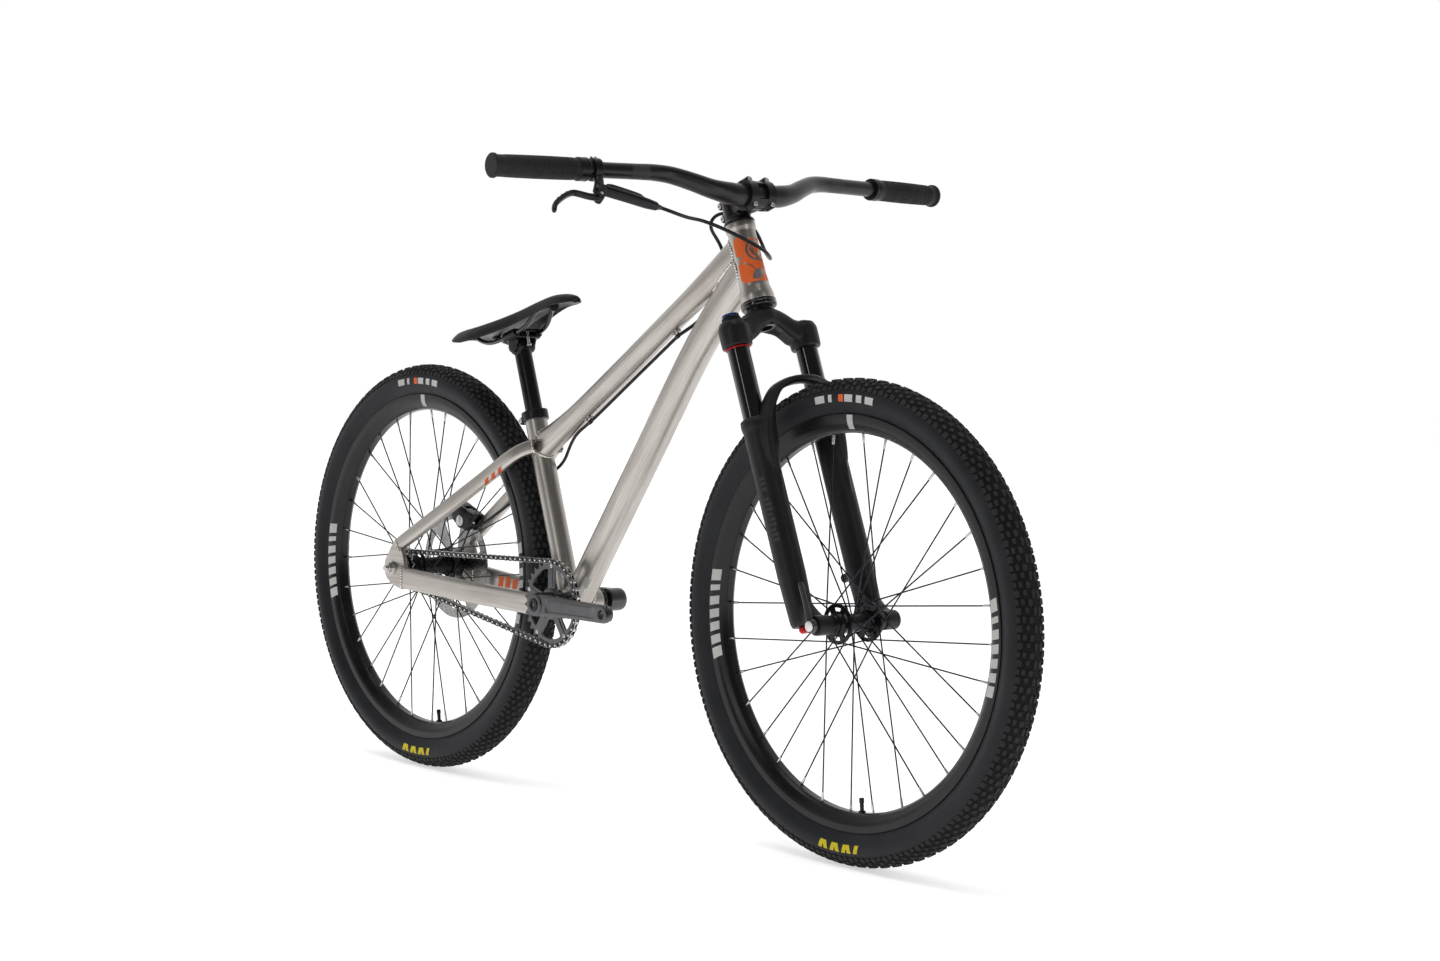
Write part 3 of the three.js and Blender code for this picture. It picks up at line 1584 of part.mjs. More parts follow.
function grip() {
  return onBarEnd([
    [gripBore, gripStart],
    [gripRadius, gripStart],
    [gripRadius, gripEnd - gripFlange],
    [gripFlangeRadius, gripEnd - gripFlange],
    [gripFlangeRadius, gripEnd - gripCap / 2],
    [gripRadius, gripEnd],
    [0, gripEnd],
    [0, barHalfWidth + gap],
    [gripBore, barHalfWidth + gap],
  ], smallSides);
}

function gripCollar() {
  const outer = gripStart - gap;
  const inner = outer - lockCollarWidth;
  return onBarEnd([
    [gripBore, inner],
    [lockCollarRadius, inner],
    [lockCollarRadius, outer],
    [gripBore, outer],
  ], smallSides);
}

for (const [name, side] of legs) {
  piece(`grip_${name}`, onSide(grip(), side), blackRubber, steering);
  piece(`grip_collar_${name}`, onSide(gripCollar(), side), blackAnodised, steering);
}

// Brake lever set, on the right of the bar. Its flat frame: inboard, dropped, and square to both.

const leverClampY = gripStart - gap - lockCollarWidth - leverInset;
const leverTurn = rad(leverDrop + 90 - headAngle);
const leverOrigin = onBar(leverClampY).multiply(new Vector3(1, -1, 1));
const inboard = barEndDirection.clone().multiply(new Vector3(-1, 1, -1));
const dropped = new Vector3(Math.cos(leverTurn), 0, -Math.sin(leverTurn));
dropped.addScaledVector(inboard, -dropped.dot(inboard)).normalize();
const squareOn = inboard.clone().cross(dropped).normalize();

function inLever([inward, down], out = 0) {
  return leverOrigin.clone()
    .addScaledVector(inboard, inward)
    .addScaledVector(dropped, down)
    .addScaledVector(squareOn, out);
}

const inReach = (shares) => shares.map((share) => share * leverReach);
const [masterStart, masterEnd] = masterShares.map(inReach);
const [reservoirStart, reservoirEnd] = reservoirShares.map(inReach);
const leverPivot = inReach(pivotShares);
const bladeLine = bladeShares.map(inReach);

function pivotBar(radius, from, to, sides = pinSides) {
  return rod(inLever(leverPivot, from), inLever(leverPivot, to), radius, radius, sides);
}

const leverHalf = leverThickness / 2;
const earInner = leverHalf + runningGap;
const earOuter = earInner + leverEarThickness;

function masterCylinder() {
  const clampHalf = leverClampWidth / 2;
  const barEnds = (radius, reach) => rod(
    inLever([-reach, 0]),
    inLever([reach, 0]),
    radius,
    radius,
    smallSides,
  );
  const neckFoot = inLever([leverPivot[0], leverPivot[1] * 0.75]);
  const neck = loft([
    { at: inLever([0, barGripRadius]), width: leverClampWidth, height: leverClampWidth },
    { at: neckFoot, width: leverClampWidth, height: leverClampWidth * 1.2 },
  ].map((end) => ({ ...end, side: inboard })), 8, 0.6);
  const ears = [-1, 1].map((side) => joined(
    pivotBar(leverPivotRadius, side * earInner, side * earOuter),
    rod(inLever([0, leverPivot[1] * 0.6], side * (earInner + earOuter) / 2),
      inLever(leverPivot, side * (earInner + earOuter) / 2), leverEarThickness / 2, leverEarThickness / 2, 6),
  ));
  const body = rod(inLever(masterStart), inLever(masterEnd), masterRadius, masterRadius * 0.8, smallSides);
  const [tankStart, tankEnd] = [reservoirStart, reservoirEnd].map((place) => inLever(place, reservoirLift));
  const tank = rod(tankStart, tankEnd, reservoirRadius, reservoirRadius, pinSides);
  const leverRoom = pivotBar(leverPivotRadius + leverRoomGap, -earInner, earInner);
  const solid = cut(
    joined(barEnds(leverClampRadius, clampHalf), neck, body, tank),
    barEnds(barGripRadius + gap, clampHalf + overrun),
    leverRoom,
  );
  return joined(solid, ...ears, pivotBar(leverPinRadius, -earOuter, earOuter));
}

function brakeLever() {
  const ring = pivotBar(leverPivotRadius, -leverHalf, leverHalf);
  const blade = loft(bladeLine.map((point, k) => (
    { at: inLever(point), width: leverThickness, height: bladeWidth * bladeWidthShares[k], side: squareOn }
  )), 10, 0.8);
  const hole = pivotBar(leverPinRadius + runningGap, -leverHalf - overrun, leverHalf + overrun);
  return cut(joined(ring, blade), hole);
}

piece("brake_master_cylinder", masterCylinder(), blackAnodised, steering);
piece("brake_lever", brakeLever(), blackAnodised, steering);

// Hoses

const hoseFromLever = inLever(masterEnd).applyMatrix4(steeringMatrix);
const hoseExit = inLever([masterEnd[0] + masterRadius * 3, masterEnd[1]]).applyMatrix4(steeringMatrix);
function guideUnder(x, ahead = 0) {
  const { at, tilt } = underTopTube(x);
  const down = guideDrop + gap + hoseRadius;
  at.x += ahead * Math.cos(tilt) + down * Math.sin(tilt);
  at.z += ahead * Math.sin(tilt) - down * Math.cos(tilt);
  return at;
}

const loopPoints = hoseLoop.map(([x, y, z]) => new Vector3(headX + x, y, headZ + z));
const hoseAhead = [guideLength, gap].map((ahead) => guideUnder(hoseGuideX[1], ahead));
const frontHosePoints = [hoseFromLever, hoseExit, ...loopPoints, ...hoseAhead];
const frontHose = tubeAlong(frontHosePoints, hoseRadius, hoseSides, frontHoseSteps);
const [roomStart, roomEnd] = [masterRadius + gap, masterRadius * 0.8 + gap];
const masterRoom = rod(inLever(masterStart), inLever(masterEnd), roomStart, roomEnd, roomSides);
piece("front_brake_hose", cut(frontHose, moved(masterRoom, steeringMatrix)), blackRubber, bike);

// Rear brake: caliper over the disc, seen from the axle as an angle and a radius

function nearDisc(along, out, y) {
  const turn = rad(caliperAngle);
  return new Vector3(
    rearAxle.x + out * Math.cos(turn) - along * Math.sin(turn),
    y,
    rearAxle.z + out * Math.sin(turn) + along * Math.cos(turn),
  );
}

function discBlock(lowAlong, highAlong, lowOut, highOut, lowY, highY) {
  const matrix = new THREE.Matrix4().makeBasis(
    nearDisc(1, 0, 0).sub(rearAxle),
    lateral,
    nearDisc(0, 1, 0).sub(rearAxle),
  );
  matrix.setPosition(rearAxle.x, 0, rearAxle.z);
  return moved(block(lowAlong, highAlong, lowY, highY, lowOut, highOut), matrix);
}

function caliperSolid() {
  const half = caliperLength / 2;
  const body = discBlock(
    -half,
    half,
    caliperInner,
    caliperOuter,
    rotorCentreY - caliperInboard,
    rotorCentreY + caliperOutboard,
  );
  const slot = discBlock(
    -half - overrun,
    half + overrun,
    caliperInner - overrun,
    caliperOuter - caliperBridge,
    rotorCentreY - caliperSlot / 2,
    rotorCentreY + caliperSlot / 2,
  );
  const corner = (side) => discBlock(
    side < 0 ? -half - overrun : half * 0.72,
    side < 0 ? -half * 0.72 : half + overrun,
    caliperOuter - caliperBridge,
    caliperOuter + overrun,
    0,
    rotorCentreY * 2,
  );
  return cut(body, slot, corner(-1), corner(1), seatstayCut);
}

piece("brake_caliper", caliperSolid(), blackAnodised, bike);

for (const [name, side] of [["inner", -1], ["outer", 1]]) {
  const near = rotorCentreY + side * (rotorThickness / 2 + padRunningGap);
  const far = near + side * padThickness;
  const pad = discBlock(
    -padLength / 2,
    padLength / 2,
    padInner,
    padOuter,
    Math.min(near, far),
    Math.max(near, far),
  );
  piece(`brake_pad_${name}`, pad, darkSteel, bike);
}

const hoseEnds = [guideLength, gap * 2].map((away) => nearDisc(
  -caliperLength / 2 - away,
  (caliperInner + caliperOuter) / 2,
  rotorCentreY - caliperInboard / 2 - hoseRadius,
));
const rearHosePoints = [
  guideUnder(hoseGuideX[1], -gap),
  guideUnder((hoseGuideX[0] + hoseGuideX[1]) / 2),
  guideUnder(hoseGuideX[0]),
  ...rearHoseLine.map(([x, y, z]) => new Vector3(x, y, z)),
  ...hoseEnds,
];
const rearHose = tubeAlong(rearHosePoints, hoseRadius, hoseSides, rearHoseSteps);
piece("rear_brake_hose", rearHose, blackRubber, bike);

// Seatpost, with a cross-bored head

const postHead = seatAxis(seatpostHeadZ);
const postFoot = seatAxis(seatTopZ - seatpostInsert);

function seatpostSolid() {
  const tube = rod(postFoot, seatAxis(seatpostHeadZ - seatpostHeadRadius / 2), seatpostRadius);
  const head = crossBar(
    postHead.x,
    postHead.z,
    -seatpostHeadWidth / 2,
    seatpostHeadWidth / 2,
    seatpostHeadRadius,
  );
  const boreTop = seatAxis(seatpostHeadZ - seatpostHeadRadius * 1.5);
  const boreFoot = seatAxis(seatTopZ - seatpostInsert - overrun);
  const bore = rod(boreFoot, boreTop, seatpostRadius - tubeWall, seatpostRadius - tubeWall, smallSides);
  const pin = crossBar(
    postHead.x,
    postHead.z,
    -seatpostHeadWidth,
    seatpostHeadWidth,
    clampPinRadius + runningGap,
    pinSides,
  );
  return cut(joined(tube, head), bore, pin);
}

piece("seatpost", seatpostSolid(), blackAnodised, bike);

// Saddle rails: one bent wire, its two runs joined across the nose

const onSaddle = ([along, rise]) => [seatTopX + along * saddleLength, seatpostHeadZ + rise * saddleLength];
const railLine = railShares.map(onSaddle);

function railPath(grow) {
  const last = railLine.length - 1;
  const half = railLine.map(([x, z], k) => {
    const narrow = Math.max(0, (k - last / 2) / (last / 2)) ** 2;
    const y = (railSpacing + (railNoseSpacing - railSpacing) * narrow) / 2;
    return new Vector3(x, y, z);
  });
  const other = half.map((point) => new Vector3(point.x, -point.y, point.z)).reverse();
  return tubeAlong([...half, ...other], railRadius + grow, hoseSides, railSteps);
}

const railCut = railPath(gap);
piece("saddle_rails", railPath(0), steel, bike);

// Saddle clamp: a block on the rails, with two cheeks and a pin through the post's head

function clampSolid() {
  const railHeight = railLine[4][1];
  const foot = railHeight - clampHeight * 0.6;
  const top = foot + clampHeight;
  const x = postHead.x;
  const cheekInner = seatpostHeadWidth / 2 + runningGap;
  const cheekOuter = cheekInner + clampCheek;
  const body = block(x - clampLength / 2, x + clampLength / 2, -clampWidth / 2, clampWidth / 2, foot, top);
  const cheeks = [RIGHT, LEFT].map((side) => block(
    x - clampCheekLength / 2,
    x + clampCheekLength / 2,
    Math.min(side * cheekInner, side * cheekOuter),
    Math.max(side * cheekInner, side * cheekOuter),
    postHead.z - clampPinRadius * 2,
    foot + overrun,
  ));
  const headRoom = crossBar(x, postHead.z, -cheekInner, cheekInner, seatpostHeadRadius + runningGap);
  const pin = crossBar(x, postHead.z, -cheekOuter, cheekOuter, clampPinRadius, pinSides);
  return joined(cut(joined(body, ...cheeks), headRoom, railCut), pin);
}

piece("saddle_clamp", clampSolid(), blackAnodised, bike);

// Saddle: a padded shell, open below

function saddleSolid() {
  const across = [-1, -0.82, -0.5, 0, 0.5, 0.82, 1];
  const under = [0.88, 0.6, -0.6, -0.88];
  const places = [];
  for (const [along, wide, rise, deepShare] of saddleShares) {
    const [x, top] = onSaddle([along, rise]);
    const [halfWidth, depth] = [wide * saddleLength, deepShare * saddleLength];
    const topZ = (share) => top - saddleCrown * share ** 2 - (depth - saddleWall) * Math.abs(share) ** 6;
    for (const share of across) places.push(new Vector3(x, share * halfWidth, topZ(share)));
    for (const share of under) {
      const deep = Math.abs(share) > 0.7 ? top - depth : top - Math.min(depth, saddleWall + saddleCrown);
      places.push(new Vector3(x, share * halfWidth, deep));
    }
  }
  return skinned(places, saddleShares.length, across.length + under.length);
}

piece("saddle", cut(saddleSolid(), railCut), saddleCoverFinish, bike);

export default bike;
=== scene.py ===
"""Looks for the dirt jump bike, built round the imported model. Lengths here are in millimetres."""

import math

import bpy
import numpy as np
from mathutils import Matrix, Vector


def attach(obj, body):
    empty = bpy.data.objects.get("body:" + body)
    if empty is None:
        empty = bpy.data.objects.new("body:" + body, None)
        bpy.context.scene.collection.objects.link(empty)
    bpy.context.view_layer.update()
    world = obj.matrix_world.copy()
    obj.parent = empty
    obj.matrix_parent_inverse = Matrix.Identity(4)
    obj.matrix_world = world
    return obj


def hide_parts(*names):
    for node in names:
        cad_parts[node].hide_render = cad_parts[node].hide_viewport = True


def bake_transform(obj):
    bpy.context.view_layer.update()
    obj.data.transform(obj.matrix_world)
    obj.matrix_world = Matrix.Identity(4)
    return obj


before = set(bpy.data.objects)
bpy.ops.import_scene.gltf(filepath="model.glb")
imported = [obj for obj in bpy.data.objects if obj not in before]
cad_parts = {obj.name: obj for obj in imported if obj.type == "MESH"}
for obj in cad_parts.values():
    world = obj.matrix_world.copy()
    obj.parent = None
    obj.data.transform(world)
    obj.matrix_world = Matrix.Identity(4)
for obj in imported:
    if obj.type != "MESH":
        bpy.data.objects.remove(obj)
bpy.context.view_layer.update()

MM = 0.001
FULL = 2 * math.pi
X, Y, Z = np.eye(3)
# The steering axis rises from the foot of the head tube
TILT = math.radians(21.06)
HEAD = np.array([297.0, 0.0, 769.0])
UP_AXIS = np.array([-math.sin(TILT), 0.0, math.cos(TILT)])
FORE_AXIS = np.array([math.cos(TILT), 0.0, math.sin(TILT)])

# The camera's place, its yaw, pitch and roll in degrees, and its focal length in the photograph's pixels
EYE = (3005.2, -2432.6, 715.2)
EYE_TURNS = (48.853, 3.137, 0.949)
FOCAL, PHOTO_WIDTH = 2568.2, 1440
SENSOR = 36


def link(obj):
    bpy.context.scene.collection.objects.link(obj)
    return obj


def steer(x, y, z):
    """A place in the steering frame, in the row's frame."""
    return HEAD + FORE_AXIS * x + Y * y + UP_AXIS * z


def make_camera():
    yaw, pitch, roll = map(math.radians, EYE_TURNS)
    fore = Vector((-math.sin(yaw) * math.cos(pitch), math.cos(yaw) * math.cos(pitch), -math.sin(pitch)))
    level = Vector((math.cos(yaw), math.sin(yaw), 0))
    lift = level.cross(fore)
    right = level * math.cos(roll) + lift * math.sin(roll)
    top = lift * math.cos(roll) - level * math.sin(roll)
    data = bpy.data.cameras.new("camera")
    data.sensor_width = SENSOR
    data.lens = FOCAL / PHOTO_WIDTH * SENSOR
    data.clip_end = 60
    camera = link(bpy.data.objects.new("camera", data))
    turn = Matrix((right, top, -fore)).transposed().to_4x4()
    camera.matrix_world = Matrix.Translation(Vector(EYE) * MM) @ turn
    bpy.context.scene.camera = camera


make_camera()

# Materials


class Nodes:
    """Short calls for a node tree."""

    def __init__(self, name):
        self.mat = bpy.data.materials.new(name)
        self.mat.use_nodes = True
        self.tree = self.mat.node_tree
        self.shader = self.tree.nodes["Principled BSDF"]
        self.object = self.tree.nodes.new("ShaderNodeTexCoord").outputs["Object"]
        self.uv = self.tree.nodes.new("ShaderNodeUVMap").outputs["UV"]

    def add(self, kind, **inputs):
        node = self.tree.nodes.new("ShaderNode" + kind)
        for key, value in inputs.items():
            self.feed(node.inputs[key.replace("_", " ")], value)
        return node

    def feed(self, socket, value):
        if isinstance(value, bpy.types.NodeSocket):
            self.tree.links.new(value, socket)
        else:
            socket.default_value = value

    def scaled(self, source, scale):
        node = self.add("Mapping", Vector=source)
        node.inputs["Scale"].default_value = scale
        return node.outputs["Vector"]

    def noise(self, source, scale, detail=3.0, rough=0.5):
        node = self.add("TexNoise", Vector=source, Scale=scale, Detail=detail, Roughness=rough)
        return node.outputs["Fac"]

    def spread(self, value, low, high, start=0.3, stop=0.7):
        node = self.add("MapRange", Value=value)
        for key, number in (("From Min", start), ("From Max", stop), ("To Min", low), ("To Max", high)):
            node.inputs[key].default_value = number
        return node.outputs["Result"]

    def blend(self, value, first, second):
        node = self.tree.nodes.new("ShaderNodeMix")
        node.data_type = "RGBA"
        self.feed(node.inputs[0], value)
        for index, colour in ((6, first), (7, second)):
            self.feed(node.inputs[index], colour if isinstance(colour, bpy.types.NodeSocket)
                      else (*colour, 1))
        return node.outputs[2]

    def bump(self, height, strength, distance=0.0004):
        return self.add("Bump", Height=height, Strength=strength, Distance=distance).outputs["Normal"]

    def finish(self, **inputs):
        for key, value in inputs.items():
            self.feed(self.shader.inputs[key.replace("_", " ")], value)
        return self.mat


def plain(name, dark, light, rough, metal, grain=400.0, bump=0.06, coat=0.0, shine=0.3):
    """A moulded, painted or anodised surface: cloudy colour, uneven gloss and a fine grain."""
    n = Nodes(name)
    cloud = n.noise(n.object, 14.0, 4.0, 0.6)
    fine = n.noise(n.object, grain, 2.0, 0.5)
    return n.finish(
        Base_Color=n.blend(n.spread(cloud, 0, 1), dark, light),
        Roughness=n.spread(cloud, rough * 0.85, rough * 1.15),
        Metallic=metal,
        Coat_Weight=coat,
        Coat_Roughness=0.08,
        Specular_IOR_Level=shine,
        Normal=n.bump(fine, bump),
    )


def raw_aluminium():
    n = Nodes("raw_aluminium")
    streaks = n.noise(n.scaled(n.uv, (9, 420, 1)), 1.0, 5.0, 0.65)
    wide = n.noise(n.scaled(n.uv, (5, 40, 1)), 1.0, 3.0, 0.6)
    cloud = n.noise(n.object, 9.0, 4.0, 0.6)
    base = n.blend(n.spread(cloud, 0, 1), (0.43, 0.392, 0.355), (0.58, 0.545, 0.51))
    tone = n.blend(n.spread(wide, 0, 0.8), base, (0.68, 0.655, 0.625))
    return n.finish(
        Base_Color=n.blend(n.spread(streaks, 0, 0.6), tone, (0.27, 0.24, 0.21)),
        Roughness=n.spread(streaks, 0.30, 0.44),
        Metallic=1.0,
    )


def weld_metal():
    n = Nodes("weld_bead")
    cloud = n.noise(n.object, 60.0, 3.0, 0.6)
    return n.finish(
        Base_Color=n.blend(n.spread(cloud, 0, 1), (0.42, 0.38, 0.34), (0.86, 0.84, 0.80)),
        Roughness=n.spread(cloud, 0.2, 0.34),
        Metallic=1.0,
    )


def rubber(name, dark, light, rough, grain=900.0, bump=0.3):
    n = Nodes(name)
    cloud = n.noise(n.object, 22.0, 4.0, 0.6)
    fine = n.noise(n.object, grain, 3.0, 0.6)
    return n.finish(
        Base_Color=n.blend(n.spread(cloud, 0, 1), dark, light),
        Roughness=n.spread(fine, rough * 0.9, rough * 1.08),
        Normal=n.bump(fine, bump, 0.0002),
        Specular_IOR_Level=0.24,
    )


def brushed(name, dark, light, rough, around=700.0):
    """Turned or brushed metal, its lines round the piece."""
    n = Nodes(name)
    lines = n.noise(n.scaled(n.uv, (6, around, 1)), 1.0, 3.0, 0.6)
    cloud = n.noise(n.object, 30.0, 3.0, 0.6)
    tone = n.blend(n.spread(cloud, 0, 1), dark, light)
    return n.finish(
        Base_Color=tone,
        Roughness=n.spread(lines, rough * 0.8, rough * 1.3),
        Metallic=1.0,
        Normal=n.bump(lines, 0.1, 0.0001),
    )


def leather():
    n = Nodes("saddle_cover")
    cells = n.add("TexVoronoi", Vector=n.object, Scale=900.0)
    cloud = n.noise(n.object, 18.0, 4.0, 0.6)
    fine = n.noise(n.object, 1500.0, 2.0, 0.5)
    return n.finish(
        Base_Color=n.blend(n.spread(cloud, 0, 1), (0.010, 0.010, 0.011), (0.022, 0.022, 0.024)),
        Roughness=n.spread(fine, 0.42, 0.6),
        Normal=n.bump(cells.outputs["Distance"], 0.25, 0.0002),
        Specular_IOR_Level=0.26,
    )


ALUMINIUM = raw_aluminium()
WELD = weld_metal()
SATIN = plain("satin_black", (0.009, 0.009, 0.0105), (0.015, 0.015, 0.017), 0.42, 0.0, 700.0, 0.12)
GLOSS = plain("gloss_black", (0.004, 0.004, 0.005), (0.007, 0.007, 0.008), 0.12, 0.3, 300.0, 0.01, 0.8, 0.5)
SHELL = plain("saddle_shell", (0.005, 0.005, 0.006), (0.010, 0.010, 0.011), 0.36, 0.0, 500.0, 0.04)
ANODISED = plain("black_anodised", (0.012, 0.012, 0.014), (0.024, 0.024, 0.027), 0.29, 0.6,
                 900.0, 0.05, 0.0, 0.5)
BAR_BLACK = plain("bar_black", (0.008, 0.008, 0.009), (0.014, 0.014, 0.016), 0.31, 0.2, 900.0, 0.04, 0.0, 0.5)
BAR_GREY = plain("bar_grey_band", (0.035, 0.035, 0.038), (0.055, 0.055, 0.058), 0.45, 0.2, 900.0, 0.04)
RIM_BLACK = plain("rim_black", (0.008, 0.008, 0.009), (0.016, 0.016, 0.018), 0.27, 0.35,
                  900.0, 0.04, 0.0, 0.45)
GREY = plain("crank_grey", (0.085, 0.085, 0.089), (0.135, 0.135, 0.14), 0.30, 0.9, 900.0, 0.08)
WHITE = plain("mark_white", (0.62, 0.61, 0.60), (0.74, 0.73, 0.72), 0.45, 0.0, 900.0, 0.03)
ORANGE = plain("mark_orange", (0.86, 0.13, 0.025), (0.95, 0.19, 0.04), 0.45, 0.0, 900.0, 0.03)
YELLOW = plain("mark_yellow", (0.86, 0.68, 0.02), (0.93, 0.78, 0.04), 0.5, 0.0, 900.0, 0.03)
RED = plain("red_anodised", (0.50, 0.012, 0.015), (0.66, 0.025, 0.025), 0.3, 0.6, 900.0, 0.05)
BLUE = plain("blue_anodised", (0.01, 0.03, 0.20), (0.02, 0.06, 0.32), 0.3, 0.6, 900.0, 0.05)
TREAD = rubber("tyre_tread", (0.020, 0.020, 0.021), (0.034, 0.034, 0.035), 0.66)
# Painted shade: the casing between the knobs is a darker rubber than the knobs, standing for the shade that
# falls between them.
GROOVE_PAINTED_SHADE = rubber("tyre_groove_painted_shade", (0.005, 0.005, 0.0055), (0.009, 0.009, 0.0095), 0.75)
SIDEWALL = rubber("tyre_sidewall", (0.013, 0.014, 0.017), (0.021, 0.022, 0.026), 0.52, 600.0, 0.12)
GRIP = rubber("grip_rubber", (0.018, 0.018, 0.019), (0.032, 0.032, 0.033), 0.55)
HOSE = rubber("hose_black", (0.008, 0.008, 0.009), (0.014, 0.014, 0.015), 0.32, 500.0, 0.05)
SPOKE = brushed("spoke_black", (0.018, 0.018, 0.026), (0.034, 0.034, 0.046), 0.34)
SILVER = brushed("silver_steel", (0.52, 0.51, 0.50), (0.70, 0.69, 0.68), 0.26)
STEEL = brushed("rotor_steel", (0.24, 0.235, 0.23), (0.38, 0.375, 0.37), 0.24)
CHAIN_INNER = brushed("chain_inner", (0.025, 0.025, 0.026), (0.06, 0.058, 0.056), 0.42)
COVER = leather()

# Meshes


class Shape:
    """Collects faces. Each corner keeps a length along and a girth, for brushed finishes."""

    def __init__(self):
        self.verts, self.faces, self.uvs, self.mats = [], [], [], []

    def points(self, rows):
        start = len(self.verts)
        self.verts.extend(map(tuple, np.asarray(rows, float).reshape(-1, 3)))
        return start

    def face(self, corners, uvs=None, mat=0):
        self.faces.append(tuple(corners))
        self.uvs.extend(uvs if uvs is not None else [(0.0, 0.0)] * len(corners))
        self.mats.append(mat)

    def grid(self, rows, wrap=True, mat=0, caps=True, ring=False):
        """A skin over rows of points. wrap joins each row's ends, ring the last row to the first."""
        rows = np.asarray(rows, float)
        count, width = rows.shape[:2]
        start = self.points(rows)
        steps = np.linalg.norm(np.diff(rows, axis=0), axis=2).mean(1) if count > 1 else [0]
        along = np.concatenate([[0], np.cumsum(steps)]) * MM
        closed = np.concatenate([rows, rows[:, :1]], axis=1) if wrap else rows
        girth = np.linalg.norm(np.diff(closed, axis=1), axis=2).max(0)
        around = np.concatenate([[0], np.cumsum(girth)]) * MM
        if ring:
            along = np.append(along, along[-1] + np.linalg.norm(rows[0] - rows[-1], axis=1).mean() * MM)
        for r in range(count if ring else count - 1):
            low, high = start + r * width, start + ((r + 1) % count) * width
            for c in range(width if wrap else width - 1):
                d = (c + 1) % width
                self.face(
                    (low + c, low + d, high + d, high + c),
                    [(along[r], around[c]), (along[r], around[c + 1]),
                     (along[r + 1], around[c + 1]), (along[r + 1], around[c])],
                    mat,
                )
        if caps and wrap and not ring:
            self.face(range(start + width - 1, start - 1, -1), None, mat)
            last = start + (count - 1) * width
            self.face(range(last, last + width), None, mat)
        return self

    def add(self, other, matrix=None, mat=0):
        """Takes in another shape, moved by a matrix and with its finishes shifted."""
        start = len(self.verts)
        place = np.asarray(other.verts, float)
        if matrix is not None:
            m = np.array(matrix, float)
            place = place @ m[:3, :3].T + m[:3, 3]
        self.verts.extend(map(tuple, place))
        self.faces.extend(tuple(i + start for i in f) for f in other.faces)
        self.uvs.extend(other.uvs)
        self.mats.extend(m + mat for m in other.mats)
        return self

    def bar(self, *sizes, mat=0):
        return self.add(bar(*sizes), mat=mat)

    def screw(self, *sizes):
        return self.add(cap_screw(*sizes), mat=1)

    def mirrored(self):
        other = Shape()
        other.verts = [(x, -y, z) for x, y, z in self.verts]
        other.mats = list(self.mats)
        corner = 0
        for f in self.faces:
            other.faces.append(tuple(reversed(f)))
            other.uvs.extend(reversed(self.uvs[corner:corner + len(f)]))
            corner += len(f)
        return other

    def build(self, name, body, mats, stands_for=(), smooth=35.0, ride=True):
        mesh = bpy.data.meshes.new(name)
        mesh.from_pydata([(x * MM, y * MM, z * MM) for x, y, z in self.verts], [], self.faces)
        layer = mesh.uv_layers.new(name="UVMap")
        layer.data.foreach_set("uv", np.asarray(self.uvs, np.float32).ravel())
        mesh.polygons.foreach_set("material_index", self.mats)
        for mat in mats if isinstance(mats, (list, tuple)) else [mats]:
            mesh.materials.append(mat)
        mesh.validate()
        mesh.polygons.foreach_set("use_smooth", [True] * len(mesh.polygons))
        mesh.set_sharp_from_angle(angle=math.radians(smooth))
        obj = link(bpy.data.objects.new(name, mesh))
        if ride:
            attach(obj, body)
        if stands_for:
            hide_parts(*stands_for)
        return obj


def axes(at, along, side=None):
    """A matrix whose z runs along a direction from a place."""
    z = Vector(along).normalized()
    x = Vector(side) if side is not None else (Vector((0, 0, 1)) if abs(z.z) < 0.9 else Vector((1, 0, 0)))
    x = (x - z * x.dot(z)).normalized()
    y = z.cross(x)
    return Matrix(((x.x, y.x, z.x, at[0]), (x.y, y.y, z.y, at[1]), (x.z, y.z, z.z, at[2]), (0, 0, 0, 1)))


def rounded(profile, radius, steps=3, closed=False):
    """A profile with its corners rounded."""
    points = [np.asarray(p, float) for p in profile]
    made = []
    count = len(points)
    for i, p in enumerate(points):
        if not closed and i in (0, count - 1):
            made.append(tuple(p))
            continue
        before, after = points[i - 1] - p, points[(i + 1) % count] - p
        a, b = np.linalg.norm(before), np.linalg.norm(after)
        reach = min(radius, a * 0.45, b * 0.45)
        start, stop = p + before / a * reach, p + after / b * reach
        for k in range(steps + 1):
            t = k / steps
            made.append(tuple(start * (1 - t) ** 2 + 2 * p * t * (1 - t) + stop * t ** 2))
    return made


def lathe(profile, matrix, sides=64, round_by=0.0, closed=False):
    """A profile of radius and height turned about a matrix's z axis."""
    if round_by:
        profile = rounded(profile, round_by, closed=closed)
    turns = np.linspace(0, FULL, sides, endpoint=False)
    rows = [[(r * math.cos(t), r * math.sin(t), h) for t in turns] for r, h in profile]
    m = np.array(matrix)
    return Shape().grid(np.asarray(rows) @ m[:3, :3].T + m[:3, 3], caps=False, ring=closed)


def upright(x, y, profile, sides=64, round_by=0.0, closed=False):
    return lathe(profile, axes((x, y, 0), Z, X), sides, round_by, closed)


def crosswise(profile, sides=64, round_by=0.0, closed=False, at=(0, 0, 0)):
    return lathe(profile, axes(at, Y, X), sides, round_by, closed)


def band(inner, outer, low, high):
    """The section of a plain ring."""
    return [(inner, low), (outer, low), (outer, high), (inner, high)]


def ringed(count, radius, share=0.0):
    """Places evenly round a ring."""
    turns = [FULL * (i + share) / count for i in range(count)]
    return [(radius * math.cos(t), radius * math.sin(t)) for t in turns]


def bar(start, end, radius, sides=24, edge=0.0, end_radius=None):
    """A round bar with eased ends."""
    start, end = np.asarray(start, float), np.asarray(end, float)
    length = np.linalg.norm(end - start)
    last = radius if end_radius is None else end_radius
    profile = [(0.01, 0), (radius, 0), (last, length), (0.01, length)]
    return lathe(profile, axes(start, end - start), sides, edge or min(radius, last) * 0.12)


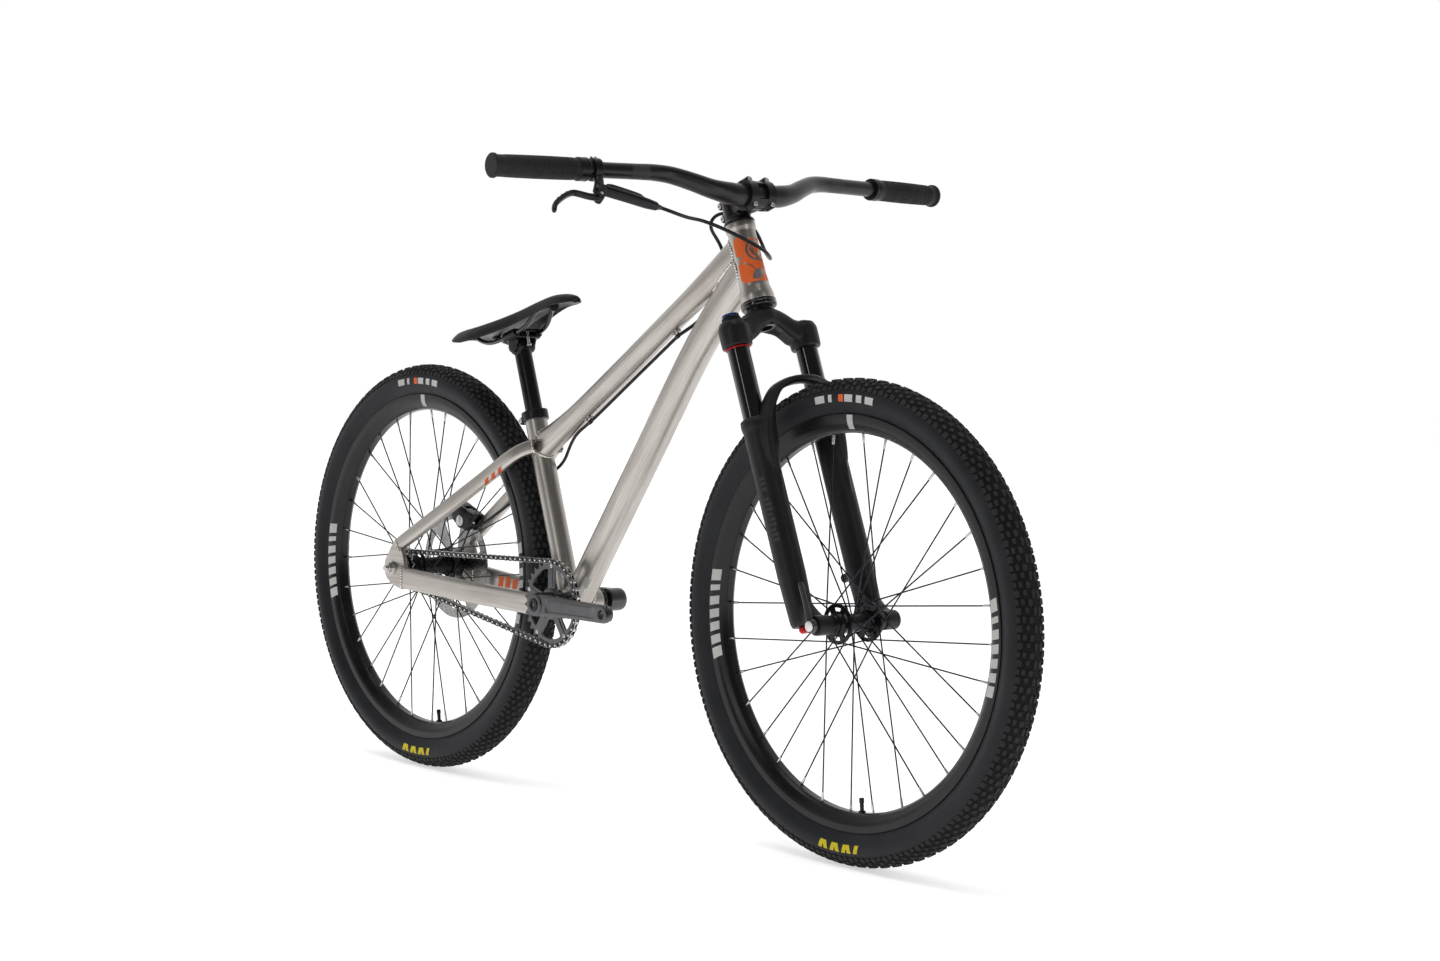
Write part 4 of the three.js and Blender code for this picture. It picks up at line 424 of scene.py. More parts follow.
def catmull(points, per=8, closed=False):
    """A smooth run through rows of numbers."""
    p = np.asarray(points, float)
    n = len(p)
    out = []
    spans = n if closed else n - 1
    for i in range(spans):
        a = p[(i - 1) % n] if closed or i > 0 else 2 * p[0] - p[1]
        b, c = p[i], p[(i + 1) % n]
        d = p[(i + 2) % n] if closed or i + 2 < n else 2 * p[-1] - p[-2]
        for k in range(per):
            t = k / per
            out.append(0.5 * (2 * b + (c - a) * t + (2 * a - 5 * b + 4 * c - d) * t ** 2
                              + (3 * b - a - 3 * c + d) * t ** 3))
    if not closed:
        out.append(p[-1])
    return np.asarray(out)


def evened(points, count, closed=False):
    """The same line with its points evenly spaced."""
    p = np.asarray(points, float)
    if closed:
        p = np.vstack([p, p[:1]])
    run = np.concatenate([[0], np.cumsum(np.linalg.norm(np.diff(p[:, :3], axis=0), axis=1))])
    at = np.linspace(0, run[-1], count + 1 if closed else count)
    made = np.stack([np.interp(at, run, p[:, k]) for k in range(p.shape[1])], axis=1)
    return made[:-1] if closed else made


def loft_rows(stations, side, sides=40, squareness=1.0, per=6):
    """Rows round a run of stations x, y, z, width and height. Squareness 1 is an ellipse."""
    run = catmull(stations, per) if per > 1 else np.asarray(stations, float)
    places = run[:, :3]
    tangents = np.gradient(places, axis=0)
    rows = []
    turns = np.linspace(0, FULL, sides, endpoint=False)
    across = np.sign(np.cos(turns)) * np.abs(np.cos(turns)) ** squareness
    above = np.sign(np.sin(turns)) * np.abs(np.sin(turns)) ** squareness
    for place, tangent, width, height in zip(places, tangents, run[:, 3], run[:, 4]):
        along = tangent / np.linalg.norm(tangent)
        tall = np.cross(along, side)
        tall /= np.linalg.norm(tall)
        wide = np.cross(tall, along)
        rows.append(place + np.outer(across, wide) * width / 2 + np.outer(above, tall) * height / 2)
    return np.asarray(rows)


def tube_rows(points, radius, sides=16):
    """Rows round a line, with no twist."""
    p = np.asarray(points, float)
    tangents = np.gradient(p, axis=0)
    tangents /= np.linalg.norm(tangents, axis=1)[:, None]
    radii = np.broadcast_to(np.asarray(radius, float), (len(p),))
    first = np.cross(tangents[0], [0.3, 0.2, 1])
    side = first / np.linalg.norm(first)
    turns = np.linspace(0, FULL, sides, endpoint=False)
    rows = []
    for place, along, r in zip(p, tangents, radii):
        side = side - along * np.dot(side, along)
        side /= np.linalg.norm(side)
        other = np.cross(along, side)
        rows.append(place + r * (np.outer(np.cos(turns), side) + np.outer(np.sin(turns), other)))
    return np.asarray(rows)


def in_bar(a, b, radius):
    d = (b - a) / np.linalg.norm(b - a)
    return lambda p: np.linalg.norm(p - a - np.outer((p - a) @ d, d), axis=1) < radius


def in_loft(stations):
    """Inside a loft that lies in the plane y = 0."""
    run = catmull(stations, 6)

    def test(p):
        hit = np.zeros(len(p), bool)
        for i in range(len(run) - 1):
            a, b = run[i, :3], run[i + 1, :3]
            d = b - a
            t = (p - a) @ d / (d @ d)
            near = (t >= -0.2) & (t <= 1.2)
            away = p - a - np.outer(t, d)
            level = np.abs(away[:, 1]) / (run[i, 3] / 2)
            tall = np.linalg.norm(away[:, [0, 2]], axis=1) / (run[i, 4] / 2)
            hit |= near & (level ** 2 + tall ** 2 < 1)
        return hit
    return test


def any_of(*tests):
    return lambda p: np.any([t(p) for t in tests], axis=0)


def trimmed(rows, start, end, count, sink=0.6):
    """Rows cut where the tube leaves one solid and enters the next."""
    rows = np.asarray(rows)
    number, width = rows.shape[:2]
    flat = rows.reshape(-1, 3)
    first = start(flat).reshape(number, width)
    last = end(flat).reshape(number, width) if end else None
    made = np.empty((count, width, 3))
    for c in range(width):
        line = rows[:, c]
        run = np.concatenate([[0], np.cumsum(np.linalg.norm(np.diff(line, axis=0), axis=1))])
        low, high = 0.0, run[-1]
        if first[:, c].any():
            inside = np.where(first[: number // 2 + 1, c])[0]
            if len(inside):
                low = crossing(line, run, inside[-1], inside[-1] + 1, start) - sink
        if last is not None:
            inside = np.where(last[number // 2:, c])[0]
            if len(inside):
                k = number // 2 + inside[0]
                high = crossing(line, run, k, k - 1, end) + sink
        at = np.linspace(max(low, 0), min(high, run[-1]), count)
        for axis in range(3):
            made[:, c, axis] = np.interp(at, run, line[:, axis])
    return made


def crossing(line, run, inner, outer, test):
    a, b = run[inner], run[outer]
    for _ in range(9):
        middle = (a + b) / 2
        p = np.array([[np.interp(middle, run, line[:, k]) for k in range(3)]])
        if test(p)[0]:
            a = middle
        else:
            b = middle
    return (a + b) / 2


def weld(shape, ring, radius=2.0, pitch=4.4, closed=True):
    """A rippled bead along a seam."""
    smooth = catmull(ring, 3, closed)
    length = np.linalg.norm(np.diff(smooth, axis=0), axis=1).sum()
    count = max(int(length / 0.8), 16)
    line = evened(smooth, count, closed)
    ripple = np.abs(np.sin(np.arange(count) * length / count * math.pi / pitch))
    radii = radius * (0.86 + 0.36 * ripple)
    if closed:
        line = np.vstack([line[-1:], line, line[:2]])
        radii = np.concatenate([radii[-1:], radii, radii[:2]])
        rows = tube_rows(line, radii, 8)[1:-2]
        shape.grid(rows, ring=True)
    else:
        shape.grid(tube_rows(line, radii, 8))
    return shape


def plate(outline, holes, low, high, bevel=0.5):
    """A flat outline in the XZ plane with holes and eased edges, from one Y to another."""
    curve = bpy.data.curves.new("plate", "CURVE")
    curve.dimensions = "2D"
    curve.fill_mode = "BOTH"
    for points in [outline, *holes]:
        spline = curve.splines.new("POLY")
        spline.points.add(len(points) - 1)
        for point, (x, z) in zip(spline.points, points):
            point.co = (x, z, 0, 1)
        spline.use_cyclic_u = True
    curve.extrude = (high - low) / 2 - bevel
    curve.bevel_depth = bevel
    curve.bevel_resolution = 1
    curve.offset = -bevel
    obj = link(bpy.data.objects.new("plate", curve))
    mesh = evaluated(obj)
    middle = (low + high) / 2
    shape = Shape()
    shape.verts = [(v.co.x, middle - v.co.z, v.co.y) for v in mesh.vertices]
    for polygon in mesh.polygons:
        corners = tuple(polygon.vertices)
        shape.face(corners, [(shape.verts[i][0] * MM, shape.verts[i][2] * MM) for i in corners])
    bpy.data.objects.remove(obj)
    bpy.data.curves.remove(curve)
    bpy.data.meshes.remove(mesh)
    return shape


def evaluated(obj):
    bpy.context.view_layer.update()
    return bpy.data.meshes.new_from_object(obj.evaluated_get(bpy.context.evaluated_depsgraph_get()))


def settled(obj, *tools):
    """The shape that an object's modifiers make. The object and its tools go."""
    mesh = evaluated(obj)
    made = Shape()
    made.verts = [tuple(v.co / MM) for v in mesh.vertices]
    for polygon in mesh.polygons:
        made.face(tuple(polygon.vertices))
    for old in (obj, *tools):
        data = old.data
        bpy.data.objects.remove(old)
        bpy.data.meshes.remove(data)
    bpy.data.meshes.remove(mesh)
    return made


def circle(x, z, radius, count):
    return [(x + radius * math.cos(t), z + radius * math.sin(t))
            for t in np.linspace(0, FULL, count, endpoint=False)]


def melted(shape, voxel, passes):
    """One cast body: its parts run together, with soft inner corners."""
    obj = shape.build("cast", "", [SATIN], ride=False)
    remesh = obj.modifiers.new("remesh", "REMESH")
    remesh.mode = "VOXEL"
    remesh.voxel_size = voxel * MM
    smooth = obj.modifiers.new("smooth", "SMOOTH")
    smooth.factor = 0.5
    smooth.iterations = passes
    return settled(obj)


def holed(shape, *cutters):
    """A shape with solids taken out of it."""
    obj = shape.build("whole", "", [SATIN], ride=False)
    tools = [cutter.build("cutter", "", [SATIN], ride=False) for cutter in cutters]
    for tool in tools:
        cut = obj.modifiers.new("cut", "BOOLEAN")
        cut.operation = "DIFFERENCE"
        cut.solver = "EXACT"
        cut.object = tool
    return settled(obj, *tools)


def cap_screw(at, along, radius, height, socket=0.55):
    """A screw head with a six-sided socket."""
    sides = 24
    m = np.array(axes(at, along))
    shape = lathe([(0.01, 0), (radius, 0), (radius, height), (radius * socket, height)], m,
                  sides, radius * 0.15)
    turns = np.linspace(0, FULL, sides, endpoint=False)
    wall = np.cos(math.pi / 6) / np.cos((turns + math.pi / 6) % (math.pi / 3) - math.pi / 6) * radius * socket
    floor = height * 0.35
    rows = [np.stack([reach * np.cos(turns), reach * np.sin(turns), np.full(sides, h)], axis=1)
            for reach, h in ((radius * socket, height), (wall, height - 0.05), (wall, floor), (0.01, floor))]
    return shape.grid(np.asarray(rows) @ m[:3, :3].T + m[:3, 3], caps=False)


# Frame

AXLE_R = np.array([-506.0, 0.0, 333.5])
AXLE_X, AXLE_Z = 38.5, -481.5  # the front axle in the steering frame
AXLE_F = steer(AXLE_X, 0, AXLE_Z)
BRACKET = np.array([-108.0, 0.0, 308.0])
SEAT_TOP = np.array([-223.0, 0.0, 594.0])
SEAT_ANGLE = math.radians(71.02)
SEAT_DIR = np.array([-math.cos(SEAT_ANGLE), 0.0, math.sin(SEAT_ANGLE)])
SEAT_FOOT = SEAT_TOP - SEAT_DIR * (SEAT_TOP[2] - BRACKET[2]) / SEAT_DIR[2]
SEAT_TUBE_R = 17.5
HEAD_HIGH = 118
HEAD_FOOT, HEAD_TOP = steer(0, 0, 0), steer(0, 0, HEAD_HIGH)
HEAD_OUTSIDE = [(24.5, 9), (21.4, 22), (20, 60), (20, 104), (22, 110)]

TOP_TUBE = [(-205, 0, 541, 35, 46), (-118, 0, 592, 35, 36), (0, 0, 669, 35, 35), (82, 0, 724, 35, 35),
            (165, 0, 779, 35, 37), (268, 0, 848, 35, 50)]
DOWN_TUBE = [(-110, 0, 308, 45, 45), (-44, 0, 402, 45, 45), (58, 0, 545, 45, 45), (171, 0, 703, 43, 46),
             (276, 0, 822, 36, 58)]
CHAINSTAY = [(-112, 30.4, 299, 11.5, 34), (-150, 33.5, 299.5, 11.5, 34), (-184, 36.6, 301, 11.5, 34),
             (-214, 40.6, 303, 11.5, 34), (-300, 54, 308, 12.4, 34), (-400, 65, 314, 13, 34),
             (-455, 70.2, 317.5, 13, 34), (-472, 71.3, 318.5, 13, 34)]
SEATSTAY = [(-193, 21.5, 545, 16, 22), (-214, 30, 537.5, 16, 22.5), (-240, 37.5, 523, 16, 23),
            (-300, 44, 487, 16, 23), (-400, 57.5, 427, 16, 23), (-470, 68, 385, 16, 22),
            (-487, 70.6, 375, 16, 20)]
DROPOUT = [(-471, 302), (-471, 335.5), (-478, 361), (-494, 381), (-507, 372), (-519, 356), (-528, 343),
           (-528, 323), (-516, 311), (-497, 303.5)]

in_head = in_bar(HEAD_FOOT, HEAD_TOP, 20.4)
in_seat = in_bar(SEAT_FOOT, SEAT_TOP, SEAT_TUBE_R)
in_shell = in_bar(BRACKET - Y * 36, BRACKET + Y * 36, 21)
in_top = in_loft(TOP_TUBE)
in_down = in_loft(DOWN_TUBE)


def skin(shape, name, node):
    shape.build(name, "frame", ALUMINIUM, [node])


def frame_tubes():
    seams = Shape()
    head = [(17.5, 0), (24.5, 0), *HEAD_OUTSIDE, (22, HEAD_HIGH), (16.9, HEAD_HIGH)]
    skin(lathe(head, axes(HEAD_FOOT, UP_AXIS, Y), 72, 1.2), "head_tube_skin", "head_tube")
    line = np.linspace(SEAT_FOOT, SEAT_TOP - SEAT_DIR * 0.5, 60)
    rows = trimmed(tube_rows(line, SEAT_TUBE_R, 64), in_shell, None, 50)
    weld(seams, rows[0], 2.0)
    inner = SEAT_TOP + (rows[-1] - SEAT_TOP) * (15 / SEAT_TUBE_R)
    seat = Shape().grid(rows, caps=False).grid([rows[-1], inner, inner - SEAT_DIR * 12], caps=False)
    skin(seat, "seat_tube_skin", "seat_tube")
    skin(lathe(band(17.2, 21, -36.5, 36.5), axes(BRACKET, Y), 72, 0.8), "bottom_bracket_skin",
         "bottom_bracket_shell")
    down = trimmed(loft_rows(DOWN_TUBE, Y, 64, 1.0, 14), any_of(in_shell, in_seat), in_head, 60)
    top = trimmed(loft_rows(TOP_TUBE, Y, 64, 1.0, 12), in_seat, in_head, 60)
    for name, rows in (("down_tube", down), ("top_tube", top)):
        skin(Shape().grid(rows, caps=False), f"{name}_skin", name)
        weld(seams, rows[0], 2.3)
        weld(seams, rows[-1], 2.3)
    joint_line(seams, top)
    for side in (-1, 1):
        stays(side, seams)
    seams.build("frame_welds", "frame", WELD, smooth=60)
    hose_guides()


def joint_line(seams, top):
    """The seam where the top tube's flanks run into the down tube."""
    inside = in_down(top.reshape(-1, 3)).reshape(top.shape[:2])
    flank = {}
    for c in range(top.shape[1]):
        hits = np.where(inside[:, c])[0]
        if len(hits) and hits[0] > 2:
            flank[c] = top[hits[0], c] * 0.5 + top[hits[0] - 1, c] * 0.5
    for side in (-1, 1):
        run = sorted((p for p in flank.values() if p[1] * side > 2), key=lambda p: -p[2])
        if len(run) > 3:
            weld(seams, run, 2.4, closed=False)


def on_head(u, z):
    """A place on the head tube's skin, u round it from the front and z up it."""
    radii, heights = zip(*HEAD_OUTSIDE)
    radius = np.interp(z, heights, radii) + 0.14
    turn = u / 20.2
    return HEAD_FOOT + FORE_AXIS * radius * math.cos(turn) + Y * radius * math.sin(turn) + UP_AXIS * z


def head_motif():
    """A plain printed motif: a field with a ring and leaf-shaped gaps."""
    def disc(u, v, a, b, r):
        return math.hypot(u - a, v - b) - r

    def crescent(u, v, a, b):
        """Inside the first disc and outside the second."""
        return max(disc(u, v, *a), -disc(u, v, *b))

    def leaf(u, v, a, b):
        return max(disc(u, v, *a), disc(u, v, *b))

    leaves = [((-9, 41, 13), (-1, 31, 13)), ((9, 33, 12), (19, 43, 12)),
              ((-36, 68, 12), (-30, 56, 11)), ((36, 68, 12), (30, 56, 11))]

    def away(u, z):
        du, dz = abs(u) - 22, abs(z - 60) - 24
        body = math.hypot(max(du, 0), max(dz, 0)) + min(max(du, dz), 0) - 11
        body = max(body, -max(disc(u, z, 0, 106, 22), -(z - 90)))
        gaps = [disc(u, z, 0, 72, 16.5)]
        gaps += [crescent(u, z, (x, 30, 27), (x, 30, 25.4)) for x in (-31, 31)]
        gaps += [leaf(u, z, *pair) for pair in leaves]
        field = max(body, *(-g for g in gaps))
        ring = abs(disc(u, z, 0, 72, 11.5)) - 1.5
        return min(field, max(ring, -(abs(u) - 2.2)), leaf(u, z, (-4, 72, 8.5), (4, 72, 8.5)))

    step = 0.7
    us, zs = np.arange(-36, 36.1, step), np.arange(22, 98.1, step)
    value = np.array([[away(u, z) for z in zs] for u in us])
    kept = value[:-1, :-1] + value[1:, :-1] + value[:-1, 1:] + value[1:, 1:] < 0
    shape, index = Shape(), {}

    def corner(i, j):
        if (i, j) not in index:
            u, z = us[i], zs[j]
            if not kept[max(i - 1, 0):i + 1, max(j - 1, 0):j + 1].all():
                d = away(u, z)
                slope = np.array([away(u + 0.05, z) - d, away(u, z + 0.05) - d]) / 0.05
                size = slope @ slope
                if size > 0.2 and abs(d) < 1:
                    u, z = u - d * slope[0] / size, z - d * slope[1] / size
            index[i, j] = shape.points([on_head(u, z)])
        return index[i, j]

    for i, j in zip(*np.nonzero(kept)):
        shape.face((corner(i, j), corner(i + 1, j), corner(i + 1, j + 1), corner(i, j + 1)))
    shape.build("head_tube_motif", "frame", ORANGE, smooth=60)


def printed(stations, squareness, mirror, starts, width, low, high, lean, mat, name):
    """Slanted bars printed on a stay's skin, between two turns round its section."""
    sides = 48
    rows = loft_rows(stations, Y, sides, squareness, 24)
    middle = rows.mean(axis=1)
    shape = Shape()
    for start in starts:
        lines = []
        for turn in np.linspace(low, high, 8):
            begin = start + lean * (turn - low)
            line = []
            for x in np.linspace(begin, begin - width, 5):
                k = np.interp(-x, -middle[:, 0], np.arange(len(rows)))
                a = int(k)
                ring = rows[a] * (1 - k + a) + rows[min(a + 1, len(rows) - 1)] * (k - a)
                c = (turn / FULL * sides) % sides
                d = int(c)
                point = ring[d] * (1 - c + d) + ring[(d + 1) % sides] * (c - d)
                out = point - ring.mean(0)
                line.append(point + out / np.linalg.norm(out) * 0.2)
            lines.append(line)
        shape.grid(np.asarray(lines), wrap=False)
    (shape.mirrored() if mirror else shape).build(name, "frame", mat, smooth=60)


def stays(side, seams):
    name = "left" if side > 0 else "right"
    beads = []
    def flip(rows):
        rows = np.array(rows, float)
        if side < 0:
            rows[..., 1] *= -1
            rows = rows[:, ::-1]
        return rows

    for stations, squareness, inside, stay in ((CHAINSTAY, 0.42, any_of(in_shell, in_seat), "chainstay"),
                                               (SEATSTAY, 0.62, any_of(in_seat, in_top), "seatstay")):
        rows = flip(trimmed(loft_rows(stations, Y, 48, squareness, 8), inside, None, 60))
        skin(Shape().grid(rows), f"{stay}_skin_{name}", f"{stay}_{name}")
        beads.insert(0, rows[0])
    for ring in beads:
        weld(seams, ring, 1.8)
    slot = [(x + 5.3 * math.cos(t), AXLE_R[2] + 5.3 * math.sin(t))
            for x, low, high in ((-512, 1.57, 4.71), (-500, -1.57, 1.57)) for t in np.linspace(low, high, 9)]
    outline = evened(catmull([(x, z, 0) for x, z in DROPOUT], 5, True), 60, True)[:, :2]
    low, high = sorted((67.8 * side, 74.8 * side))
    skin(plate(outline, [slot], low, high, 1.0), f"dropout_plate_{name}", f"dropout_{name}")
    for lift, arc in ((6.3, [(-478, 300), (-476, 309), (-475, 320), (-475.5, 333), (-479, 338)]),
                      (6.6, [(-480, 362), (-484, 368), (-492, 378)])):
        for up in (-lift, lift):
            weld(seams, [(x, 71.3 * side + up, z) for x, z in arc], 1.5, closed=False)


# The top tube's underside, where the rear hose runs
TOP_RISE, TOP_RUN, TOP_Z, TOP_R = 77, 118, 669, 17.5
SLOPE = math.atan2(TOP_RISE, TOP_RUN)
SLOPE_ALONG = np.array([math.cos(SLOPE), 0, math.sin(SLOPE)])
SLOPE_DOWN = np.array([math.sin(SLOPE), 0, -math.cos(SLOPE)])


def under_tube(x):
    return np.array([x, 0, TOP_Z + TOP_RISE / TOP_RUN * x - TOP_R / math.cos(SLOPE)])


def hose_guides():
    shape = Shape()
    for x in (-86, 118):
        at = under_tube(x)
        for dy in (-4.2, 4.2):
            shape.bar(at + Y * dy - SLOPE_DOWN * 1.0, at + Y * dy + SLOPE_DOWN * 3.9, 1.6, 12)
        pad = [at + SLOPE_ALONG * a + Y * b + SLOPE_DOWN * 1.2
               for a, b in ((-6, -5), (6, -5), (6, 5), (-6, 5))]
        shape.grid([[p - SLOPE_DOWN * 3 for p in pad], pad])
    shape.build("hose_guides", "frame", ALUMINIUM)


# Wheels

def polar(radius, turn, y):
    return (radius * math.sin(turn), y, -radius * math.cos(turn))


CASING_R = 307  # the middle of the tyre's section, from the axle
CASING_INSIDE = 20.5


def carcass(angle):
    """Radius, height and girth of the tyre's casing at an angle round its section."""
    girth = 24.4 + 1.1 * min(abs(angle) / math.radians(85), 1) ** 2
    return CASING_R + girth * math.cos(angle), girth * math.sin(angle), girth


# Half of each pair of knobs: section degrees, pitch share, half length, half width, height, lean
KNOBS = [
    (8.0, 0.0, 5.0, 2.6, 2.2, 0.18), (22.0, 0.5, 4.0, 3.0, 2.2, 0.3), (34.0, 0.08, 3.3, 2.5, 2.2, -0.25),
    (44.0, 0.55, 3.6, 2.6, 2.2, 0.3), (58.0, 0.05, 4.2, 3.6, 2.1, 0.0), (61.0, 0.55, 3.6, 2.8, 2.0, 0.0),
]
KNOB_PITCHES = 92
KNOB_OUTLINE = [(-1, -0.72), (0.55, -1), (1, -0.35), (1, 0.35), (0.55, 1), (-1, 0.72)]


def tyre(name, body, centre):
    shape = Shape()
    angles = np.radians(np.concatenate([np.linspace(0, 118, 21), [124]]))
    half = [carcass(a)[:2] for a in angles] + [(286.8, 17.2), (284.5, 15.6)]
    inside = [(280, 15.0), (279, 12.5), (285.5, 12.2)]
    inside += [(CASING_R + CASING_INSIDE * math.cos(a), CASING_INSIDE * math.sin(a))
               for a in np.radians(np.linspace(110, 0, 9))]
    section = half[1:] + inside[:-1]
    section = section + [(CASING_R + CASING_INSIDE, 0)] + [(r, -h) for r, h in reversed(section)] + [half[0]]
    turns = np.linspace(0, FULL, 180, endpoint=False)
    shape.grid(np.asarray([[polar(r, t, h) for t in turns] for r, h in section]) + centre, caps=False,
               ring=True, mat=1)
    verts = np.asarray(shape.verts)
    # The crown of the casing between the knobs takes the darker rubber, a painted shade between the knobs.
    for i, f in enumerate(shape.faces):
        middle = verts[list(f)].mean(0) - centre
        if math.hypot(middle[0], middle[2]) - CASING_R > 24 * math.cos(math.radians(66)):
            shape.mats[i] = 5
    corners = len(KNOB_OUTLINE)
    faces = [(i, (i + 1) % corners, (i + 1) % corners + corners, i + corners) for i in range(corners)]
    faces += [tuple(k + corners for k in f) for f in faces] + [tuple(range(2 * corners, 3 * corners))]
    for degrees, share, half_long, half_wide, height, lean in KNOBS:
        for side in (1, -1):
            knobs(shape, centre, faces, side * math.radians(degrees), share if side > 0 else share + 0.04,
                  half_long, half_wide, height, side * lean)
    for side in (-1, 1):
        sidewall_marks(shape, centre, side)
    shape.build(f"{name}_tyre_casing", body, [TREAD, SIDEWALL, WHITE, ORANGE, YELLOW, GROOVE_PAINTED_SHADE],
                [f"{name}_tyre"], 28)


def knobs(shape, centre, faces, angle, share, half_long, half_wide, height, lean):
    """One row of knobs round the tyre."""
    girth = carcass(angle)[2]
    local = []
    for lift, grow in ((-0.5, 1.16), (height - 0.45, 1.0), (height, 0.86)):
        for a, b in KNOB_OUTLINE:
            along, wide = a * half_long * grow, b * half_wide * grow
            local.append((along + wide * lean, wide - along * lean * 0.35, lift))
    for i in range(KNOB_PITCHES):
        at = FULL * (i + share) / KNOB_PITCHES
        verts = []
        for along, wide, lift in local:
            section_turn = angle + wide / girth
            reach = girth + lift
            radius = CASING_R + reach * math.cos(section_turn)
            verts.append(polar(radius, at + along / radius, reach * math.sin(section_turn)))
        start = shape.points(np.asarray(verts) + centre)
        for f in faces:
            shape.face(tuple(start + k for k in f))


def patch(shape, centre, side, low, high, start, stop, lean, mat, lift=0.18):
    """A mark printed on the sidewall, between two section angles and two turns."""
    columns = max(int(abs(stop - start) * 300 / 2), 2)
    rows = []
    for a in np.linspace(low, high, 5):
        r, h, _ = carcass(a)
        shift = lean * (a - low) / (high - low)
        rows.append([polar(r + lift * math.cos(a), t + shift, (h + lift * math.sin(a)) * side)
                     for t in np.linspace(start, stop, columns)])
    shape.grid(np.asarray(rows[::-1] if side < 0 else rows) + centre, wrap=False, mat=mat)


def sidewall_marks(shape, centre, side):
    """Plain bars where a tyre carries its printing."""
    low, high = math.radians(79), math.radians(105)
    for i in range(7):
        at = -0.125 + i * 0.037
        patch(shape, centre, side, low, high, at, at + 0.024, 0.012 * (-1) ** i, 4)
    for at, wide, mat in ((-0.20, 0.06, 2), (-0.115, 0.022, 2), (-0.05, 0.03, 3), (-0.012, 0.05, 2),
                          (0.062, 0.034, 2), (0.118, 0.05, 2)):
        turn = math.pi - at
        patch(shape, centre, side, low + 0.03, high - 0.03, turn, turn - wide, 0.0, mat)


RIM_FLANK = [(262.5, 11.5), (270, 16.2), (275, 17.6), (284, 18)]


def rim(name, body, centre, turn):
    shape = Shape()
    half = [(258.6, 6), *RIM_FLANK, (285, 17.4), (285, 15.9), (276, 15.8), (272.5, 12), (266, 7)]
    section = rounded(half + [(r, -h) for r, h in reversed(half)], 1.2, 3, True)
    turns = np.linspace(0, FULL, 180, endpoint=False)
    shape.grid(np.asarray([[polar(r, t, h) for t in turns] for r, h in section]) + centre,
               caps=False, ring=True)
    # the valve: its stem, its cap and its nut
    for start, end, radius, edge in ((262, 240.5, 2.9, 0.6), (246, 238.5, 3.5, 0.8), (262, 256, 5.0, 0.6)):
        ends = [np.asarray(polar(reach, math.radians(turn), 0)) + centre for reach in (start, end)]
        shape.bar(*ends, radius, 16, edge, mat=1)
    for side in (-1, 1):
        rim_marks(shape, centre, side)
    shape.build(f"{name}_rim_ring", body, [RIM_BLACK, ANODISED, WHITE], [f"{name}_rim"], 30)


def rim_marks(shape, centre, side):
    """Plain white bars, and one narrow band, on the rim's flank."""
    def mark(start, stop, low, high, lean=0.0):
        columns = max(int(abs(stop - start) * 270 / 3), 2)
        rows = []
        for share in np.linspace(0, 1, 4):
            radius = low + (high - low) * share
            h = np.interp(radius, *zip(*RIM_FLANK)) + 0.4
            rows.append([polar(radius, t + lean * share, h * side)
                         for t in np.linspace(start, stop, columns)])
        if side > 0:
            rows = rows[::-1]
        shape.grid(np.asarray(rows) + centre, wrap=False, mat=2)
    mark(math.pi + 0.02, math.pi - 0.02, 264, 283.5)
    for middle in (math.pi / 2 - 0.02, -math.pi / 2 + 0.02):
        for i, wide in enumerate((0.055, 0.045, 0.045, 0.045, 0.045, 0.03, 0.06)):
            at = middle + (i - 3.2) * 0.068 * (1 if middle > 0 else -1)
            mark(at + wide / 2, at - wide / 2, 266, 281.5, 0.012)


SPOKES = 16  # on each side of a wheel


def spokes(name, side_name, body, centre, flange_y, phase):
    shape = Shape()
    reach_in, reach_out = 25.5, 258.2
    step = FULL / SPOKES
    side = math.copysign(1, flange_y)
    cross = flange_y + side * 2.4
    for i in range(SPOKES):
        lead = 1 if i % 2 == 0 else -1
        head = phase + step * i
        foot = head + lead * step * 3
        y = flange_y - side * 3.1 + lead * 0.8
        start = np.array([reach_in * math.cos(head), y, reach_in * math.sin(head)]) + centre
        end = np.array([reach_out * math.cos(foot), side * 3 + lead * 0.4,
                        reach_out * math.sin(foot)]) + centre
        along = (end - start) / np.linalg.norm(end - start)
        route = catmull([start + Y * (cross - y), start + Y * (flange_y - y) * 0.6, start + along * 0.5,
                         start + along * 4], 4)
        shape.grid(tube_rows(np.vstack([route, end]), 1.1, 8))
        shape.bar(end - along * 13, end - along * 0.2, 1.75, 10, 0.3, 2.1, mat=1)
    shape.build(f"{name}_spoke_set_{side_name}", body, [SPOKE, SILVER], [f"{name}_spokes_{side_name}"], 50)


def window(radius_in, radius_out, middle, half_turn, count=7):
    """A rounded opening between two radii of a flange."""
    outer = [(radius_out * math.cos(t), radius_out * math.sin(t))
             for t in np.linspace(middle - half_turn, middle + half_turn, count)]
    inner = [(radius_in * math.cos(t), radius_in * math.sin(t))
             for t in np.linspace(middle + half_turn * 0.9, middle - half_turn * 0.9, count)]
    points = evened(catmull([(x, z, 0) for x, z in outer + inner], 2, True), 26, True)
    return [(x, z) for x, z, _ in points]


def flange(centre, y, bore, windows):
    holes = [window(17.5, 22.5, FULL * (i + 0.5) / windows, 0.3) for i in range(windows)]
    shape = plate(circle(0, 0, 28, 96), [circle(0, 0, bore, 48), *holes], y - 1.5, y + 1.5, 0.5)
    return Shape().add(shape, Matrix.Translation(centre))


